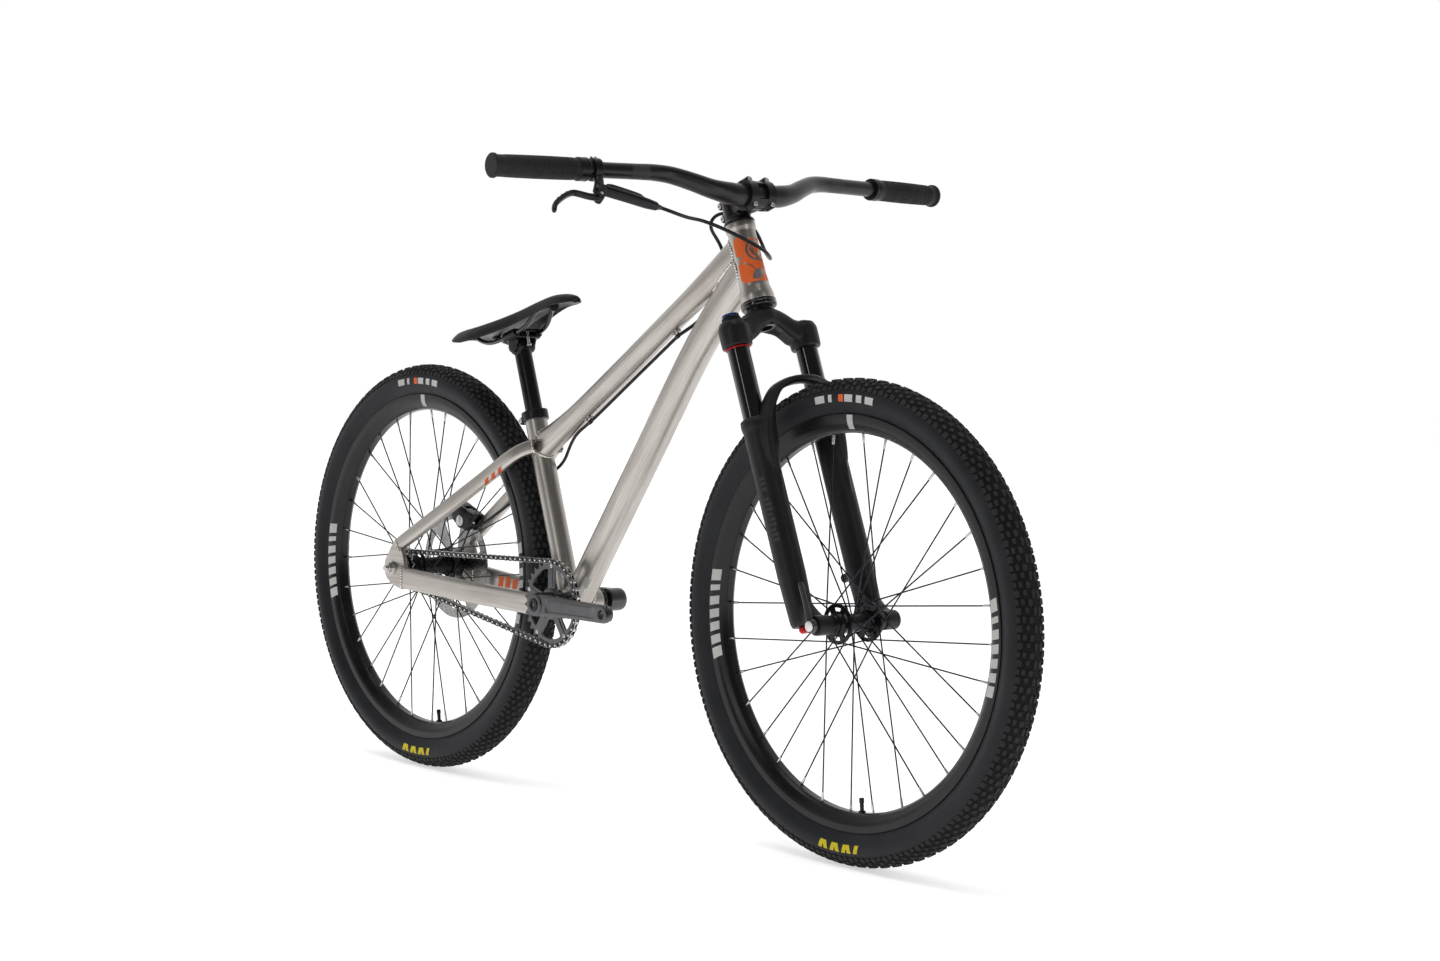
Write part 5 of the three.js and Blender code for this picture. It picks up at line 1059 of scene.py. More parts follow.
def front_hub():
    shape = crosswise([(8, -50), (12, -50), (12, -44), (13.5, -42), (13.5, -38), (16.5, -34), (14.8, -28),
                       (13, -18), (12.5, 0), (13, 12), (15.5, 20), (18, 26), (21.5, 28), (21.5, 35),
                       (13, 35), (12, 37), (12, 50), (8, 50)], 72, 0.8, at=AXLE_F)
    for y in (-33, 24):
        shape.add(flange(AXLE_F, y, 13.5, 6))
    for x, z in ringed(6, 17.6):
        at = AXLE_F + np.array([x, 33.2, z])
        shape.bar(at, at + Y * 2.4, 3.2, 14, 0.3)
    shape.build("front_hub_body", "front_wheel", ANODISED, ["front_hub"], 30)


def rear_hub():
    shape = crosswise([(5.4, -67.2), (12, -67.2), (12, -57), (15.5, -55.6), (17.2, -55.6), (17.2, -31),
                       (20, -29), (16, -25), (14, -15), (13.5, 0), (14, 15), (16, 28), (21.5, 39),
                       (21.5, 51), (17.2, 51), (17.2, 54.6), (12, 54.6), (12, 67.2), (5.4, 67.2)],
                      72, 0.6, at=AXLE_R)
    for y, bore in ((-27, 14.5), (33, 15.5)):
        shape.add(flange(AXLE_R, y, bore, 8))
    shape.build("rear_hub_body", "rear_wheel", ANODISED, ["rear_hub"], 30)


def wheels():
    for name, body, centre, turn, right, left in (
            ("front", "front_wheel", AXLE_F, 4.6, 33, 24), ("rear", "rear_wheel", AXLE_R, 7.0, 27, 33)):
        tyre(name, body, centre)
        rim(name, body, centre, turn)
        for side_name, flange_y, phase in (("right", -right, 0.5), ("left", left, 1.5)):
            spokes(name, side_name, body, centre, flange_y, math.radians(turn) + math.pi / SPOKES * phase)
    front_hub()
    rear_hub()


# Fork, in the steering frame

STEER = np.eye(4)
STEER[:3, 0], STEER[:3, 1], STEER[:3, 2], STEER[:3, 3] = FORE_AXIS, Y, UP_AXIS, HEAD
LEG_X, LEG_Y = 6.5, 65


def steered(shape):
    return Shape().add(shape, STEER)


def leg(side, *sizes, **more):
    """A piece turned about a fork leg."""
    return upright(LEG_X, LEG_Y * side, *sizes, **more)


def both_ways(half):
    """Stations from one side to the other, from those of one half."""
    return half + [(x, -y, z, w, h) for x, y, z, w, h in reversed(half[:-1])]


def scooped(shape, amount, high, half, roof_line):
    """Hollows the underside of a cast bridge."""
    verts = np.asarray(shape.verts)
    x, y, z = verts.T
    roof = np.interp(np.abs(y), *zip(*roof_line))
    inside = (np.abs(x) < half) & (z < roof) & (np.abs(y) < high)
    depth = np.clip((roof - z) / 18, 0, 1) * np.clip(np.cos(x / half * math.pi / 2), 0, 1) ** 0.6
    fade = np.clip((high - np.abs(y)) / 10, 0, 1)
    verts[inside, 2] += (amount * depth * fade)[inside]
    shape.verts = [tuple(v) for v in verts]
    return shape


def fork_crown():
    cast = Shape()
    half = [(6.5, -65, -51.2, 34, 36), (5.4, -50, -48.6, 34.5, 36), (4.4, -38, -44, 35, 34),
            (2.6, -27, -36, 37, 33), (1.2, -15, -29.5, 41, 31), (0, 0, -26, 46, 30)]
    cast.grid(loft_rows(both_ways(half), X, 48, 0.75, 6))
    for side in (-1, 1):
        cast.add(leg(side, [(0.01, -72), (21.6, -72), (22, -60), (22, -43), (18, -34), (0.01, -34)], 48, 2.2))
    body = scooped(melted(cast, 1.3, 10), 13, 40, 15, [(0, -28), (20, -34), (38, -46), (65, -54)])
    steered(body).build("fork_crown_cast", "steering", SATIN, ["fork_crown"], 60)
    trim = Shape()
    trim.add(leg(1, [(0.01, -34.6), (11.6, -34.6), (11.6, -32.2), (9.4, -31.4), (5, -31.4), (4.6, -32.4),
                     (0.01, -32.4)], 40, 0.4))
    trim.add(leg(1, [(0.01, -32.6), (2.6, -32.6), (2.6, -30.8), (0.01, -30.8)], 16, 0.2), mat=1)
    steerer = [(13.2, -40), (18.9, -40), (18.9, -2), (18.9, 0), (14.2, 45), (14.2, 160.5),
               (12, 160.5), (12, -40)]
    trim.add(upright(0, 0, steerer, 48, 0.5, True), mat=2)
    trim.add(upright(0, 0, band(19, 24.5, -10.2, -8.4), 64, 0.4, True), mat=2)
    steered(trim).build("crown_trim", "steering", [ANODISED, SILVER, ANODISED])
    tubes = Shape()
    for side in (-1, 1):
        tubes.add(leg(side, [(14.2, -38), (16, -38), (16, -318), (14.2, -318)], 72, 0.5, closed=True))
    steered(tubes).build("stanchion_pair", "steering", GLOSS, ["stanchion_right", "stanchion_left"], 40)
    ring = leg(-1, band(15.9, 17.6, -74.6, -72.2), 64, 0.8, closed=True)
    steered(ring).build("travel_ring", "steering", RED, smooth=40)


MOUNT_HEIGHTS = (-403.8, -477.8)  # the two holes of the fork's disc mount


def fork_casting():
    cast = Shape()
    tube = [(0.01, -474), (15.6, -474), (17.6, -468), (18.6, -440), (20, -400), (20, -196), (21.7, -189),
            (21.7, -181), (20, -180), (0.01, -180)]
    for side in (-1, 1):
        cast.add(leg(side, tube, 56, 0.8))
    arch = [(14.5, -65, -212, 30, 12), (16.5, -65.2, -203, 33, 14), (21, -64.6, -192, 31, 15),
            (27.2, -62.5, -179, 27.5, 14.5), (34.5, -56, -160, 26, 13.4), (41, -46, -145, 25.5, 12.2),
            (46.5, -34, -138.4, 25, 11.4), (50.2, -20, -135.4, 24.4, 10.8), (52, -9, -134.4, 23.8, 10.4),
            (52.5, 0, -134.2, 23.4, 10.4)]
    cast.grid(loft_rows(both_ways(arch), X, 40, 0.7, 5))
    foot = [(6.5, 65, -432, 27, 24), (14, 64.6, -450, 27, 24), (26, 64, -468, 26, 23),
            (38.5, 63.5, -481.5, 25, 22)]
    rib = [(24, 64, -215, 9, 10), (27.5, 63.8, -240, 7.5, 9), (25.5, 64, -275, 6, 8), (20, 65, -330, 4, 6)]
    web = [(9, 65, -268, 10, 20), (13, 65, -246, 20, 34), (17, 64.6, -221, 24, 37), (22, 64, -202, 24, 32),
           (28, 62.2, -186, 20, 23), (34.5, 58, -168, 15, 14)]
    for side in (-1, 1):
        cast.bar((AXLE_X, 50.3 * side, AXLE_Z), (AXLE_X, 76 * side, AXLE_Z), 13.8, 48, 1.2)
        for stations, sides, squareness in ((foot, 32, 0.8), (rib, 20, 0.8), (web, 32, 0.7)):
            cast.grid(loft_rows([(x, y * side, z, w, h) for x, y, z, w, h in stations], Y,
                                sides, squareness, 5))
    for z in MOUNT_HEIGHTS:
        cast.bar((10, 60, z), (-25, 60, z), 6.6, 28, 1.0)
    return melted(cast, 1.45, 9)


def fork_lowers():
    body = fork_casting()
    verts = np.asarray(body.verts)
    x, y, z = verts.T
    hub_face = 50.4
    hub_room = (np.abs(y) < hub_face) & (np.abs(y) > 40) & (z < -440)
    verts[hub_room, 1] = np.sign(y[hub_room]) * hub_face
    # the arch's back is hollowed up to this line
    behind = np.interp(np.abs(y), [0, 20, 46, 58, 65], [47, 44.5, 34, 25, 14])
    off_leg = np.hypot(x - LEG_X, np.abs(y) - LEG_Y) > 22
    channel = (x < behind) & (z > -190) & (z < -120) & (np.abs(y) < 56) & off_leg
    verts[channel, 0] += np.clip(behind - x, 0, 5)[channel] * 0.8
    body.verts = [tuple(v) for v in verts]
    steered(body).build("fork_lowers_cast", "lowers", SATIN, ["fork_lowers"], 60)
    trim = Shape()
    wiper = [(16.15, -186), (16.15, -176.8), (17.2, -176.2), (19.4, -177.6), (20.6, -178.2), (21.2, -180.4),
             (21.2, -186)]
    for side in (-1, 1):
        trim.add(leg(side, wiper, 64, 0.4, closed=True))
        trim.bar((AXLE_X, 76 * side, AXLE_Z), (AXLE_X, 76.25 * side, AXLE_Z), 11.2, 40, 0.1, mat=1)
    trim.add(leg(1, [(0.01, -480.4), (6.2, -480.4), (7.2, -478.6), (7.2, -473.4),
                     (0.01, -473.4)], 32, 0.3), mat=1)
    for z in MOUNT_HEIGHTS:
        trim.bar((-24.6, 60, z), (-25.3, 60, z), 4.4, 24, 0.1, mat=1)
    steered(trim).build("lowers_trim", "lowers", [GRIP, ANODISED])
    marks = Shape()
    for count, top, pitch, tall, radius, start in ((9, -292, 7.2, 4.6, 20.25, 0.10),
                                                   (3, -262, 7.6, 5.2, 20.35, 0.12)):
        for k in range(count):
            stop = 0.62 if count == 9 and k % 3 else 0.5
            marks.grid([[(LEG_X + radius * math.sin(t), -LEG_Y - radius * math.cos(t), top - k * pitch - drop)
                         for t in np.linspace(start, stop, 8)] for drop in (0, tall)], wrap=False)
    steered(marks).build("leg_marks", "lowers", BAR_GREY)


def fork_fittings():
    knob = leg(-1, [(0.01, -33.6), (13, -33.6), (13, -28.4), (11.8, -25.2), (7, -24.6),
                    (0.01, -24.6)], 72, 0.8)
    for x, y in ringed(24, 12.9):
        knob.bar((LEG_X + x, y - LEG_Y, -33), (LEG_X + x, y - LEG_Y, -28.6), 0.75, 8)
    ring = [(8.6, -26), (12.1, -26), (12.1, -23.7), (11.4, -23.2), (8.6, -23.2)]
    knob.add(leg(-1, ring, 64, 0.2, closed=True), mat=1)
    knob.bar((LEG_X, -LEG_Y, -24.8), (LEG_X, -LEG_Y, -24.0), 4.2, 32, 0.2, mat=2)
    steered(knob).build("crown_knob", "compression_dial", [ANODISED, BLUE, ANODISED], ["compression_knob"])
    foot = leg(-1, [(0.01, -483.3), (5.2, -483.3), (7, -480.8), (7, -475.2), (6.2, -474.4),
                    (0.01, -474.4)], 48, 0.5)
    for x, y in ringed(14, 6.9):
        foot.bar((LEG_X + x, y - LEG_Y, -480.6), (LEG_X + x, y - LEG_Y, -475.4), 0.7, 8)
    steered(foot).build("rebound_dial_red", "rebound_dial", RED, ["rebound_knob"])
    axle = Shape()
    for start, end, radius, sides, edge, mat in (
            (76, -77, 7.4, 40, 0.5, 0), (-76.3, -79, 10, 48, 0.5, 0), (-78, -86.6, 4.9, 32, 0.4, 0),
            (-85.3, -86.9, 7.4, 40, 0.5, 1), (75.6, 76.6, 6.6, 40, 0.3, 1)):
        axle.bar((AXLE_X, start, AXLE_Z), (AXLE_X, end, AXLE_Z), radius, sides, edge, mat=mat)
    steered(axle).build("through_axle", "lowers", [ANODISED, SILVER], ["front_axle"])
    lever = Shape()
    lever.add(lathe(band(5.3, 9.9, 0, 5.4), axes((AXLE_X, -79.4, AXLE_Z), -Y), 56, 0.7, closed=True))
    lever.grid(loft_rows([(38.5, -82.1, -474, 5.2, 13), (38.5, -82.1, -462, 5, 11.2),
                          (38.5, -82.2, -450, 4.5, 9.2), (38.5, -82.4, -436, 4.3, 9),
                          (38.5, -82.4, -425, 4.3, 9.6), (38.5, -82.2, -420, 3.4, 6.4)], X, 28, 0.62, 5))
    steered(lever).build("axle_lever_blade", "axle_lever", GREY, ["front_axle_lever"], 40)


# Headset, stem and handlebar

def headset():
    lower = upright(0, 0, [(19.5, -9.4), (25.2, -9.4), (26, -8.2), (26, -4.4), (25.4, -3.6), (26, -2.8),
                           (26, -0.35), (19.5, -0.35)], 96, 0.5, closed=True)
    steered(lower).build("lower_cup_ring", "frame", GLOSS, ["headset_lower_cup"])
    upper = upright(0, 0, [(15.2, 118.3), (22.4, 118.3), (22.4, 121), (21.2, 122.6), (19.2, 125.2),
                           (15.2, 125.2)], 96, 0.5, closed=True)
    steered(upper).build("upper_cup_ring", "frame", ANODISED, ["headset_upper_cup"])


CLAMP = (44, 144)  # the middle of the bar's clamp, forward and up
PLATE_X = 44.3
STEM_BOLTS = (134, 153.5)


def stem():
    body = Shape()
    body.add(upright(0, 0, [(0.01, 125.8), (18.9, 125.8), (18.9, 161.8), (0.01, 161.8)], 64, 1.4))
    body.grid(loft_rows([(2, 0, 144, 34, 33), (14, 0, 144, 35, 32), (26, 0, 144, 40, 35),
                         (34, 0, 144, 44, 36)], Y, 36, 0.55, 4))
    for start, end, radius, edge in ((-10.5, -23.4, 21.8, 1.0), (10.5, 23.4, 21.8, 1.0),
                                     (-11, 11, 19.6, 0.5)):
        body.bar((CLAMP[0], start, CLAMP[1]), (CLAMP[0], end, CLAMP[1]), radius, 64, edge)
    for z in STEM_BOLTS:
        body.bar((-19, -11, z), (-19, 11, z), 6.2, 28, 0.8)
    cast = melted(body, 1.1, 5)
    cast.verts = [(min(x, 43.7), y, z) for x, y, z in cast.verts]
    for z in STEM_BOLTS:
        cast.screw((-19, -10.8, z), -Y, 3.9, 2.2)
    slit = Shape().grid([[(x, y, z) for y, z in ((-0.9, 126.2), (0.9, 126.2), (0.9, 161.4), (-0.9, 161.4))]
                         for x in (-25.4, -20)])
    steered(cast.add(slit, mat=2)).build("stem_body", "steering", [ANODISED, SILVER, BAR_BLACK], ["stem"], 50)


def clamp_arc(turns, y, radius):
    """Points round the bar's clamp, out at a radius and back along the bar."""
    return [(PLATE_X + reach * math.cos(t), y, CLAMP[1] + reach * math.sin(t))
            for reach, run in ((radius, turns), (16.1, turns[::-1])) for t in run]


def faceplate():
    arch = Shape()
    for side in (-1, 1):
        y0, y1 = 8.6 * side, 23.4 * side
        edges = ((y0, -0.8), (y0 + 0.8 * side, 0), (y1 - 0.8 * side, 0), (y1, -0.8))
        rows = np.asarray([clamp_arc(np.linspace(-1.5, 1.5, 33), y, 21.6 + grow) for y, grow in edges])
        arch.grid(rows if side > 0 else rows[:, ::-1])
        for up in (-1, 1):
            at = np.array([44.4, 16 * side, CLAMP[1] + 18.6 * up])
            arch.bar(at, at + X * 12.5, 5.4, 32, 1.0)
            arch.screw(at + X * 12.3, X, 3.7, 2.6)
    for up in (-1, 1):
        arch.grid([clamp_arc(np.linspace(0.62, 1.42, 14) * up, y, 20.6)[::up] for y in (-9.5, 9.5)])
    steered(arch).build("faceplate_arch", "steering", [ANODISED, SILVER], ["stem_faceplate"])
    cap = upright(0, 0, [(0.01, 162.3), (17, 162.3), (17, 164.2), (13.6, 166.2), (6.5, 166.2), (5.2, 164.4),
                         (0.01, 164.4)], 64, 0.5)
    steered(cap).build("top_cap", "steering", ANODISED, ["headset_top_cap"])
    steered(cap_screw((0, 0, 163.6), Z, 4.4, 2.6)).build("top_cap_bolt", "steering", SILVER)


BAR_RUN = [(0, 0, 0), (0, 24, 0), (-0.5, 48, 1.5), (-3.5, 76, 8), (-10, 104, 20), (-17.5, 132, 31),
           (-22, 158, 35.5), (-24.4, 184, 36.3)]
BAR_MIDDLE = np.array([44.0, 0, 144])
BAR_DIR = np.array([-math.sin(math.radians(5.4)), 1, math.sin(math.radians(1.2))])
BAR_DIR /= np.linalg.norm(BAR_DIR)
BAR_R, BAR_END_R = 15.9, 11.1
BAR_END = BAR_MIDDLE + BAR_RUN[-1]


def on_bar(y):
    return BAR_END + BAR_DIR * (y - BAR_END[1])


def handlebar():
    half = [BAR_MIDDLE + np.array(p, float) for p in BAR_RUN] + [on_bar(230), on_bar(416)]
    radii = [BAR_R + (BAR_END_R - BAR_R) * max(0, (k - 2) / 5) ** 0.55
             for k in range(8)] + [BAR_END_R, BAR_END_R]
    left = np.array([[*p, r] for p, r in zip(half, radii)])
    other = left[1:][::-1].copy()
    other[:, 1] *= -1
    run = evened(catmull(np.vstack([other, left]), 8)[:, :3], 150)
    rows = tube_rows(run, np.interp(np.abs(run[:, 1]), left[:, 1], left[:, 3]), 48)
    shape = Shape()
    middles = np.abs((run[:-1, 1] + run[1:, 1]) / 2)
    for i in range(len(rows) - 1):
        shape.grid(rows[i:i + 2], caps=False, mat=1 if 173 < middles[i] < 201 else 0)
    for end in (rows[0][::-1], rows[-1]):
        start = shape.points(end)
        shape.face(range(start, start + len(end)))
    for y in (244, 249, 254, 259, 264):
        for side in (-1, 1):
            turns = np.linspace(0.1, 1.5, 12)
            ring = np.array([on_bar(y) + 11.16 * (X * math.cos(t) + Z * math.sin(t)) for t in turns])
            wide = np.array([ring - BAR_DIR * 0.4, ring + BAR_DIR * 0.4])
            wide[..., 1] *= side
            shape.grid(wide if side < 0 else wide[::-1], wrap=False, mat=2)
    obj = steered(shape).build("handlebar_tube", "steering", [BAR_BLACK, BAR_GREY, BAR_GREY],
                               ["handlebar"], 40)
    # joins corners that lie on one another, so that shading runs on
    join = obj.modifiers.new("join", "WELD")
    join.merge_threshold = 0.00002


def grips():
    first, last = 286, 413.6
    for side, name in ((-1, "right"), (1, "left")):
        core = []
        for y in np.linspace(first, last, 130):
            t = (y - first) / (last - first)
            swell = 15.0 + 0.55 * math.sin(math.pi * min(t * 1.15, 1)) ** 0.8
            rib = 0.42 * (1 if (y % 3.4) < 1.7 else -1) if 0.06 < t < 0.9 else 0
            core.append((swell + rib, y - BAR_END[1]))
        start, end = 285.3 - BAR_END[1], 419.3 - BAR_END[1]
        tail = [(16.7, end - 5), (17, end - 4), (17, end - 1.6), (15.4, end), (0.01, end)]
        shape = lathe([(11.3, start), (15.6, start)] + core + tail, axes(BAR_END, BAR_DIR, X), 48)
        local = np.asarray(shape.verts) - BAR_END
        along = local @ BAR_DIR
        away = local - np.outer(along, BAR_DIR)
        turn = np.arctan2(away[:, 2], away[:, 0])
        waffle = (np.sin(turn * 12) > 0.75) & (np.abs(away).max(1) > 14) & (along < end - 6)
        away[waffle] *= 0.985
        shape.verts = [tuple(v) for v in BAR_END + np.outer(along, BAR_DIR) + away]
        collar = [(11.3, 270), (16.1, 270), (16.5, 271), (16.5, 273.6), (15.9, 274.2), (15.9, 275),
                  (16.5, 275.6), (16.5, 284), (16, 285), (11.3, 285)]
        clamp = lathe([(r, y - BAR_END[1]) for r, y in collar], axes(BAR_END, BAR_DIR, X), 64,
                      0.25, closed=True)
        ear = np.cross(BAR_DIR, X)
        at = on_bar(279.6) - X * 16.4
        clamp.bar(at - ear * 3.4, at + ear * 3.4, 3.3, 20, 0.5)
        clamp.screw(at + ear * 3.3, ear, 2.3, 1.2)
        if side < 0:
            shape, clamp = shape.mirrored(), clamp.mirrored()
        steered(shape).build(f"grip_rubber_{name}", "steering", GRIP, [f"grip_{name}"], 25)
        steered(clamp).build(f"lock_collar_{name}", "steering", [ANODISED, SILVER], [f"grip_collar_{name}"])


# Chain drive

PITCH = 12.7
RING_TEETH, COG_TEETH, CHAIN_LINKS = 32, 13, 86
RING_R = PITCH / 2 / math.sin(math.pi / RING_TEETH)
COG_R = PITCH / 2 / math.sin(math.pi / COG_TEETH)
CHAIN_Y = -50.0


def toothed(teeth, pitch_radius, root, tip):
    """A sprocket's outline. Each tooth is a run of shares of its pitch, with their radii."""
    flank = [(0.11, root + 0.25), (0.22, root + 1.4), (0.3, pitch_radius - 0.4),
             (0.38, tip - 0.7), (0.46, tip)]
    tooth = [(0.0, root)] + flank + [(1 - share, radius) for share, radius in reversed(flank)]
    turns = [(FULL / teeth * (i + share), radius) for i in range(teeth) for share, radius in tooth]
    return [(radius * math.cos(turn), radius * math.sin(turn)) for turn, radius in turns]


def moved_to(shape, centre, turn=0.0):
    return Shape().add(shape, Matrix.Translation(centre) @ Matrix.Rotation(turn, 4, "Y"))


def polar_outline(points, step, i, shift, radius):
    turns = [(r, step * (i + share) + shift) for r, share in points]
    made = rounded([(r * math.cos(turn), r * math.sin(turn), 0) for r, turn in turns], radius, 4, True)
    return [(x, z) for x, z, _ in made]


def chainring():
    step = FULL / 5
    shares = [(25.5, 0.27), (53.5, 0.13), (54.2, 0.22), (54.4, 0.31), (54.5, 0.4), (54.5, 0.5), (54.5, 0.6),
              (54.4, 0.69), (54.2, 0.78), (53.5, 0.87), (25.5, 0.73), (24.6, 0.6), (24.4, 0.5), (24.6, 0.4)]
    windows = [polar_outline(shares, step, i, step / 4, 3.0) for i in range(5)]
    outline = toothed(RING_TEETH, RING_R, RING_R - 3.9, RING_R + 2.3)
    shape = plate(outline, [circle(0, 0, 12.4, 48), *windows], -51.4, -48.6, 0.55)
    for i in range(5):
        turn = step * i + step / 4
        c, s = math.cos(turn), math.sin(turn)
        shape.grid([[(r * c - w * s, -51.2 - t, r * s + w * c)
                     for w, t in ((-half, -0.4), (-half * 0.7, thick), (half * 0.7, thick), (half, -0.4))]
                    for r, half, thick in ((26, 5.2, 1.2), (40, 4.2, 1.4), (54, 4.6, 1.0), (57, 4.2, 0.5))])
        shape.screw((57.8 * c, -51.0, 57.8 * s), -Y, 3.1, 1.2)
    hub = [(12.6, 0), (23.5, 0), (23.5, 2.6), (20, 3.4), (12.6, 3.4)]
    shape.add(lathe(hub, axes((0, -51.2, 0), -Y), 64, 0.6, closed=True))
    moved_to(shape, BRACKET).build("chainring_plate", "crankset", [GREY, SILVER], ["chainring"], 30)


def cog():
    outline = toothed(COG_TEETH, COG_R, COG_R - 3.9, COG_R + 2.1)
    shape = plate(outline, [circle(0, 0, 17.7, 64)], -51.2, -48.8, 0.4)
    moved_to(shape, AXLE_R).build("cog_plate", "freewheel_cog", STEEL, ["rear_cog"], 30)
    spacers = Shape()
    along = axes((0, 0, 0), Y)
    for low, high, radius in ((-55.4, -51.6, 19.5), (-48.2, -42.2, 19.0), (-41.8, -36, 19.0)):
        spacers.add(lathe(band(17.3, radius, low, high), along, 56, 0.5, closed=True))
    lockring = [(12.2, -56.4), (18.4, -56.4), (20.4, -55.8), (20.4, -54.6), (12.2, -54.6)]
    spacers.add(lathe(lockring, along, 48, 0.3, closed=True), mat=1)
    for x, z in ringed(12, 15):
        spacers.bar((x, -56.2, z), (x, -56.9, z), 1.1, 8, mat=1)
    moved_to(spacers, AXLE_R).build("cog_spacers", "rear_wheel", [ANODISED, SILVER], smooth=30)


def chain_points():
    """Roller centres round the two sprockets."""
    between = BRACKET - AXLE_R
    distance = math.hypot(between[0], between[2])
    tilt = math.atan2(between[2], between[0])
    open_turn = math.asin((RING_R - COG_R) / distance)
    quarter = math.pi / 2 + open_turn
    run = []
    for centre, radius, start, stop in ((BRACKET, RING_R, -quarter, quarter),
                                        (AXLE_R, COG_R, quarter, FULL - quarter)):
        for t in np.linspace(start, stop, 200):
            run.append(centre + radius * (math.cos(tilt + t) * X + math.sin(tilt + t) * Z))
    return evened(np.array(run) + Y * CHAIN_Y, CHAIN_LINKS, True)


def link_outline(waist):
    points = []
    for end, side in ((PITCH / 2, 0), (-PITCH / 2, math.pi)):
        for t in np.linspace(-1.95, 1.95, 11):
            points.append((end + 4.2 * math.cos(t + side), 4.2 * math.sin(t + side), 0))
        points.append((0, waist * (1 if side == 0 else -1), 0))
    return [(x, z) for x, z, _ in rounded(points, 1.2, 2, True)]


def edged(shape):
    """The flat faces take the second finish and the eased edges keep the first."""
    verts = np.asarray(shape.verts)
    for i, f in enumerate(shape.faces):
        a, b, c = verts[f[0]], verts[f[1]], verts[f[2]]
        normal = np.cross(b - a, c - a)
        size = np.linalg.norm(normal)
        shape.mats[i] = 1 if size > 0 and abs(normal[1]) / size > 0.95 else 0
    return shape


def chain():
    outer, inner = Shape(), Shape()
    for side in (-1, 1):
        for link_plates, waist, near, far, edge in ((outer, 3.0, 2.95, 4.0, 0.32),
                                                    (inner, 3.2, 1.75, 2.75, 0.25)):
            low, high = sorted((side * near, side * far))
            link_plates.add(edged(plate(link_outline(waist), [], low, high, edge)))
    pin = Shape().bar((0, -4.3, 0), (0, 4.3, 0), 1.85, 14, 0.35).bar((0, -1.7, 0), (0, 1.7, 0), 3.85, 18, 0.2)
    rollers = chain_points()
    shape = Shape()
    for i, here in enumerate(rollers):
        there = rollers[(i + 1) % len(rollers)]
        along = (there - here) / np.linalg.norm(there - here)
        m = np.eye(4)
        m[:3, 0], m[:3, 1], m[:3, 2], m[:3, 3] = along, Y, np.cross(along, Y), (here + there) / 2
        shape.add(outer if i % 2 else inner, m)
        shape.add(pin, Matrix.Translation(here), mat=2)
    shape.build("chain_links", "frame", [SILVER, CHAIN_INNER, SILVER], ["chain"], 30)


# Cranks

EYE_X = 165  # the pedal's hole, along the crank


def arm_rows():
    rows = []
    for x in np.linspace(-2, 175, 46):
        h = np.interp(x, [-2, 33, 99, 165, 175], [17, 16, 13.5, 13.5, 9.5])
        w = np.interp(x, [0, 33, 99, 165, 175], [8, 8, 6.6, 6.5, 5.2])
        y = np.interp(x, [0, 33, 99, 165], [75, 75, 76.8, 78.5])
        if x > EYE_X:
            h = 13.5 * math.sqrt(max(1 - ((x - EYE_X) / 10.4) ** 2 * 0.85, 0.05))
        groove = 1.6 * np.clip((x - 26) / 8, 0, 1) * np.clip((146 - x) / 8, 0, 1)
        inset = h * 0.50
        points = [(-h, -w + 2.4), (-h + 2.4, -w), (h - 2.4, -w), (h, -w + 2.4), (h, w - 3.4),
                  (h - 3.4, w - 0.2), (inset + 1.4, w), (inset, w - groove), (-inset, w - groove),
                  (-inset - 1.4, w), (-h + 3.4, w - 0.2), (-h, w - 3.4)]
        rows.append([(x, y + b, a) for a, b in points])
    return np.asarray(rows)


def crank_arm():
    body = holed(Shape().grid(arm_rows()[:, ::-1]), bar((EYE_X, 60, 0), (EYE_X, 95, 0), 7.05, 40, 0.1))
    body.add(crosswise([(12.2, 55), (17.6, 55), (18, 57), (18, 80), (17, 84.4), (15.4, 85),
                        (0.01, 85)], 64, 0.8))
    body.add(crosswise([(7.0, 71), (12, 71), (12, 85.4), (7.0, 85.4)], 48, 0.7, True, (EYE_X, 0, 0)))
    bolt = [(0.01, 83.2), (4.3, 83.2), (5.2, 86.4), (9.6, 86.4), (10.8, 85.2), (10.8, 84.4)]
    body.add(crosswise(bolt, 48, 0.35), mat=1)
    socket = Shape().grid([[(x, y, z) for x, z in ringed(6, 4.9)] for y in (86.45, 83.4)], caps=False)
    body.add(socket, mat=1)
    threads = [(7.0 + 0.25 * (i % 2), 71.6 + i * 0.6) for i in range(23)]
    return body.add(crosswise(threads, 32, at=(EYE_X, 0, 0)), mat=2)


def cranks():
    arm = crank_arm()
    mats = [GREY, ANODISED, SILVER]
    moved_to(arm.mirrored(), BRACKET).build("crank_right_arm", "crankset", mats, ["crank_arm_right"], 32)
    arm.bar((0, -84, 0), (0, 57, 0), 11.9, 48, 0.8, mat=1)
    moved_to(arm, BRACKET, math.pi).build("crank_left_arm", "crankset", mats, ["crank_arm_left"], 32)
    for side, name in ((-1, "right"), (1, "left")):
        cup = crosswise([(12.5, 36.8), (20.3, 36.8), (20.3, 42.6), (18.8, 44.8), (12.5, 44.8)], 72, 0.5, True)
        for x, z in ringed(16, 19.6):
            cup.bar((x, 37.2, z), (x, 42.4, z), 1.5, 10)
        cup.add(crosswise([(13, 44.4), (17.6, 44.4), (17.2, 45.6), (13, 45.6)], 64, 0.2, True), mat=1)
        cup = cup if side > 0 else cup.mirrored()
        moved_to(cup, BRACKET).build(f"bearing_cup_{name}", "frame", [ANODISED, SILVER],
                                     [f"bottom_bracket_cup_{name}"], 32)


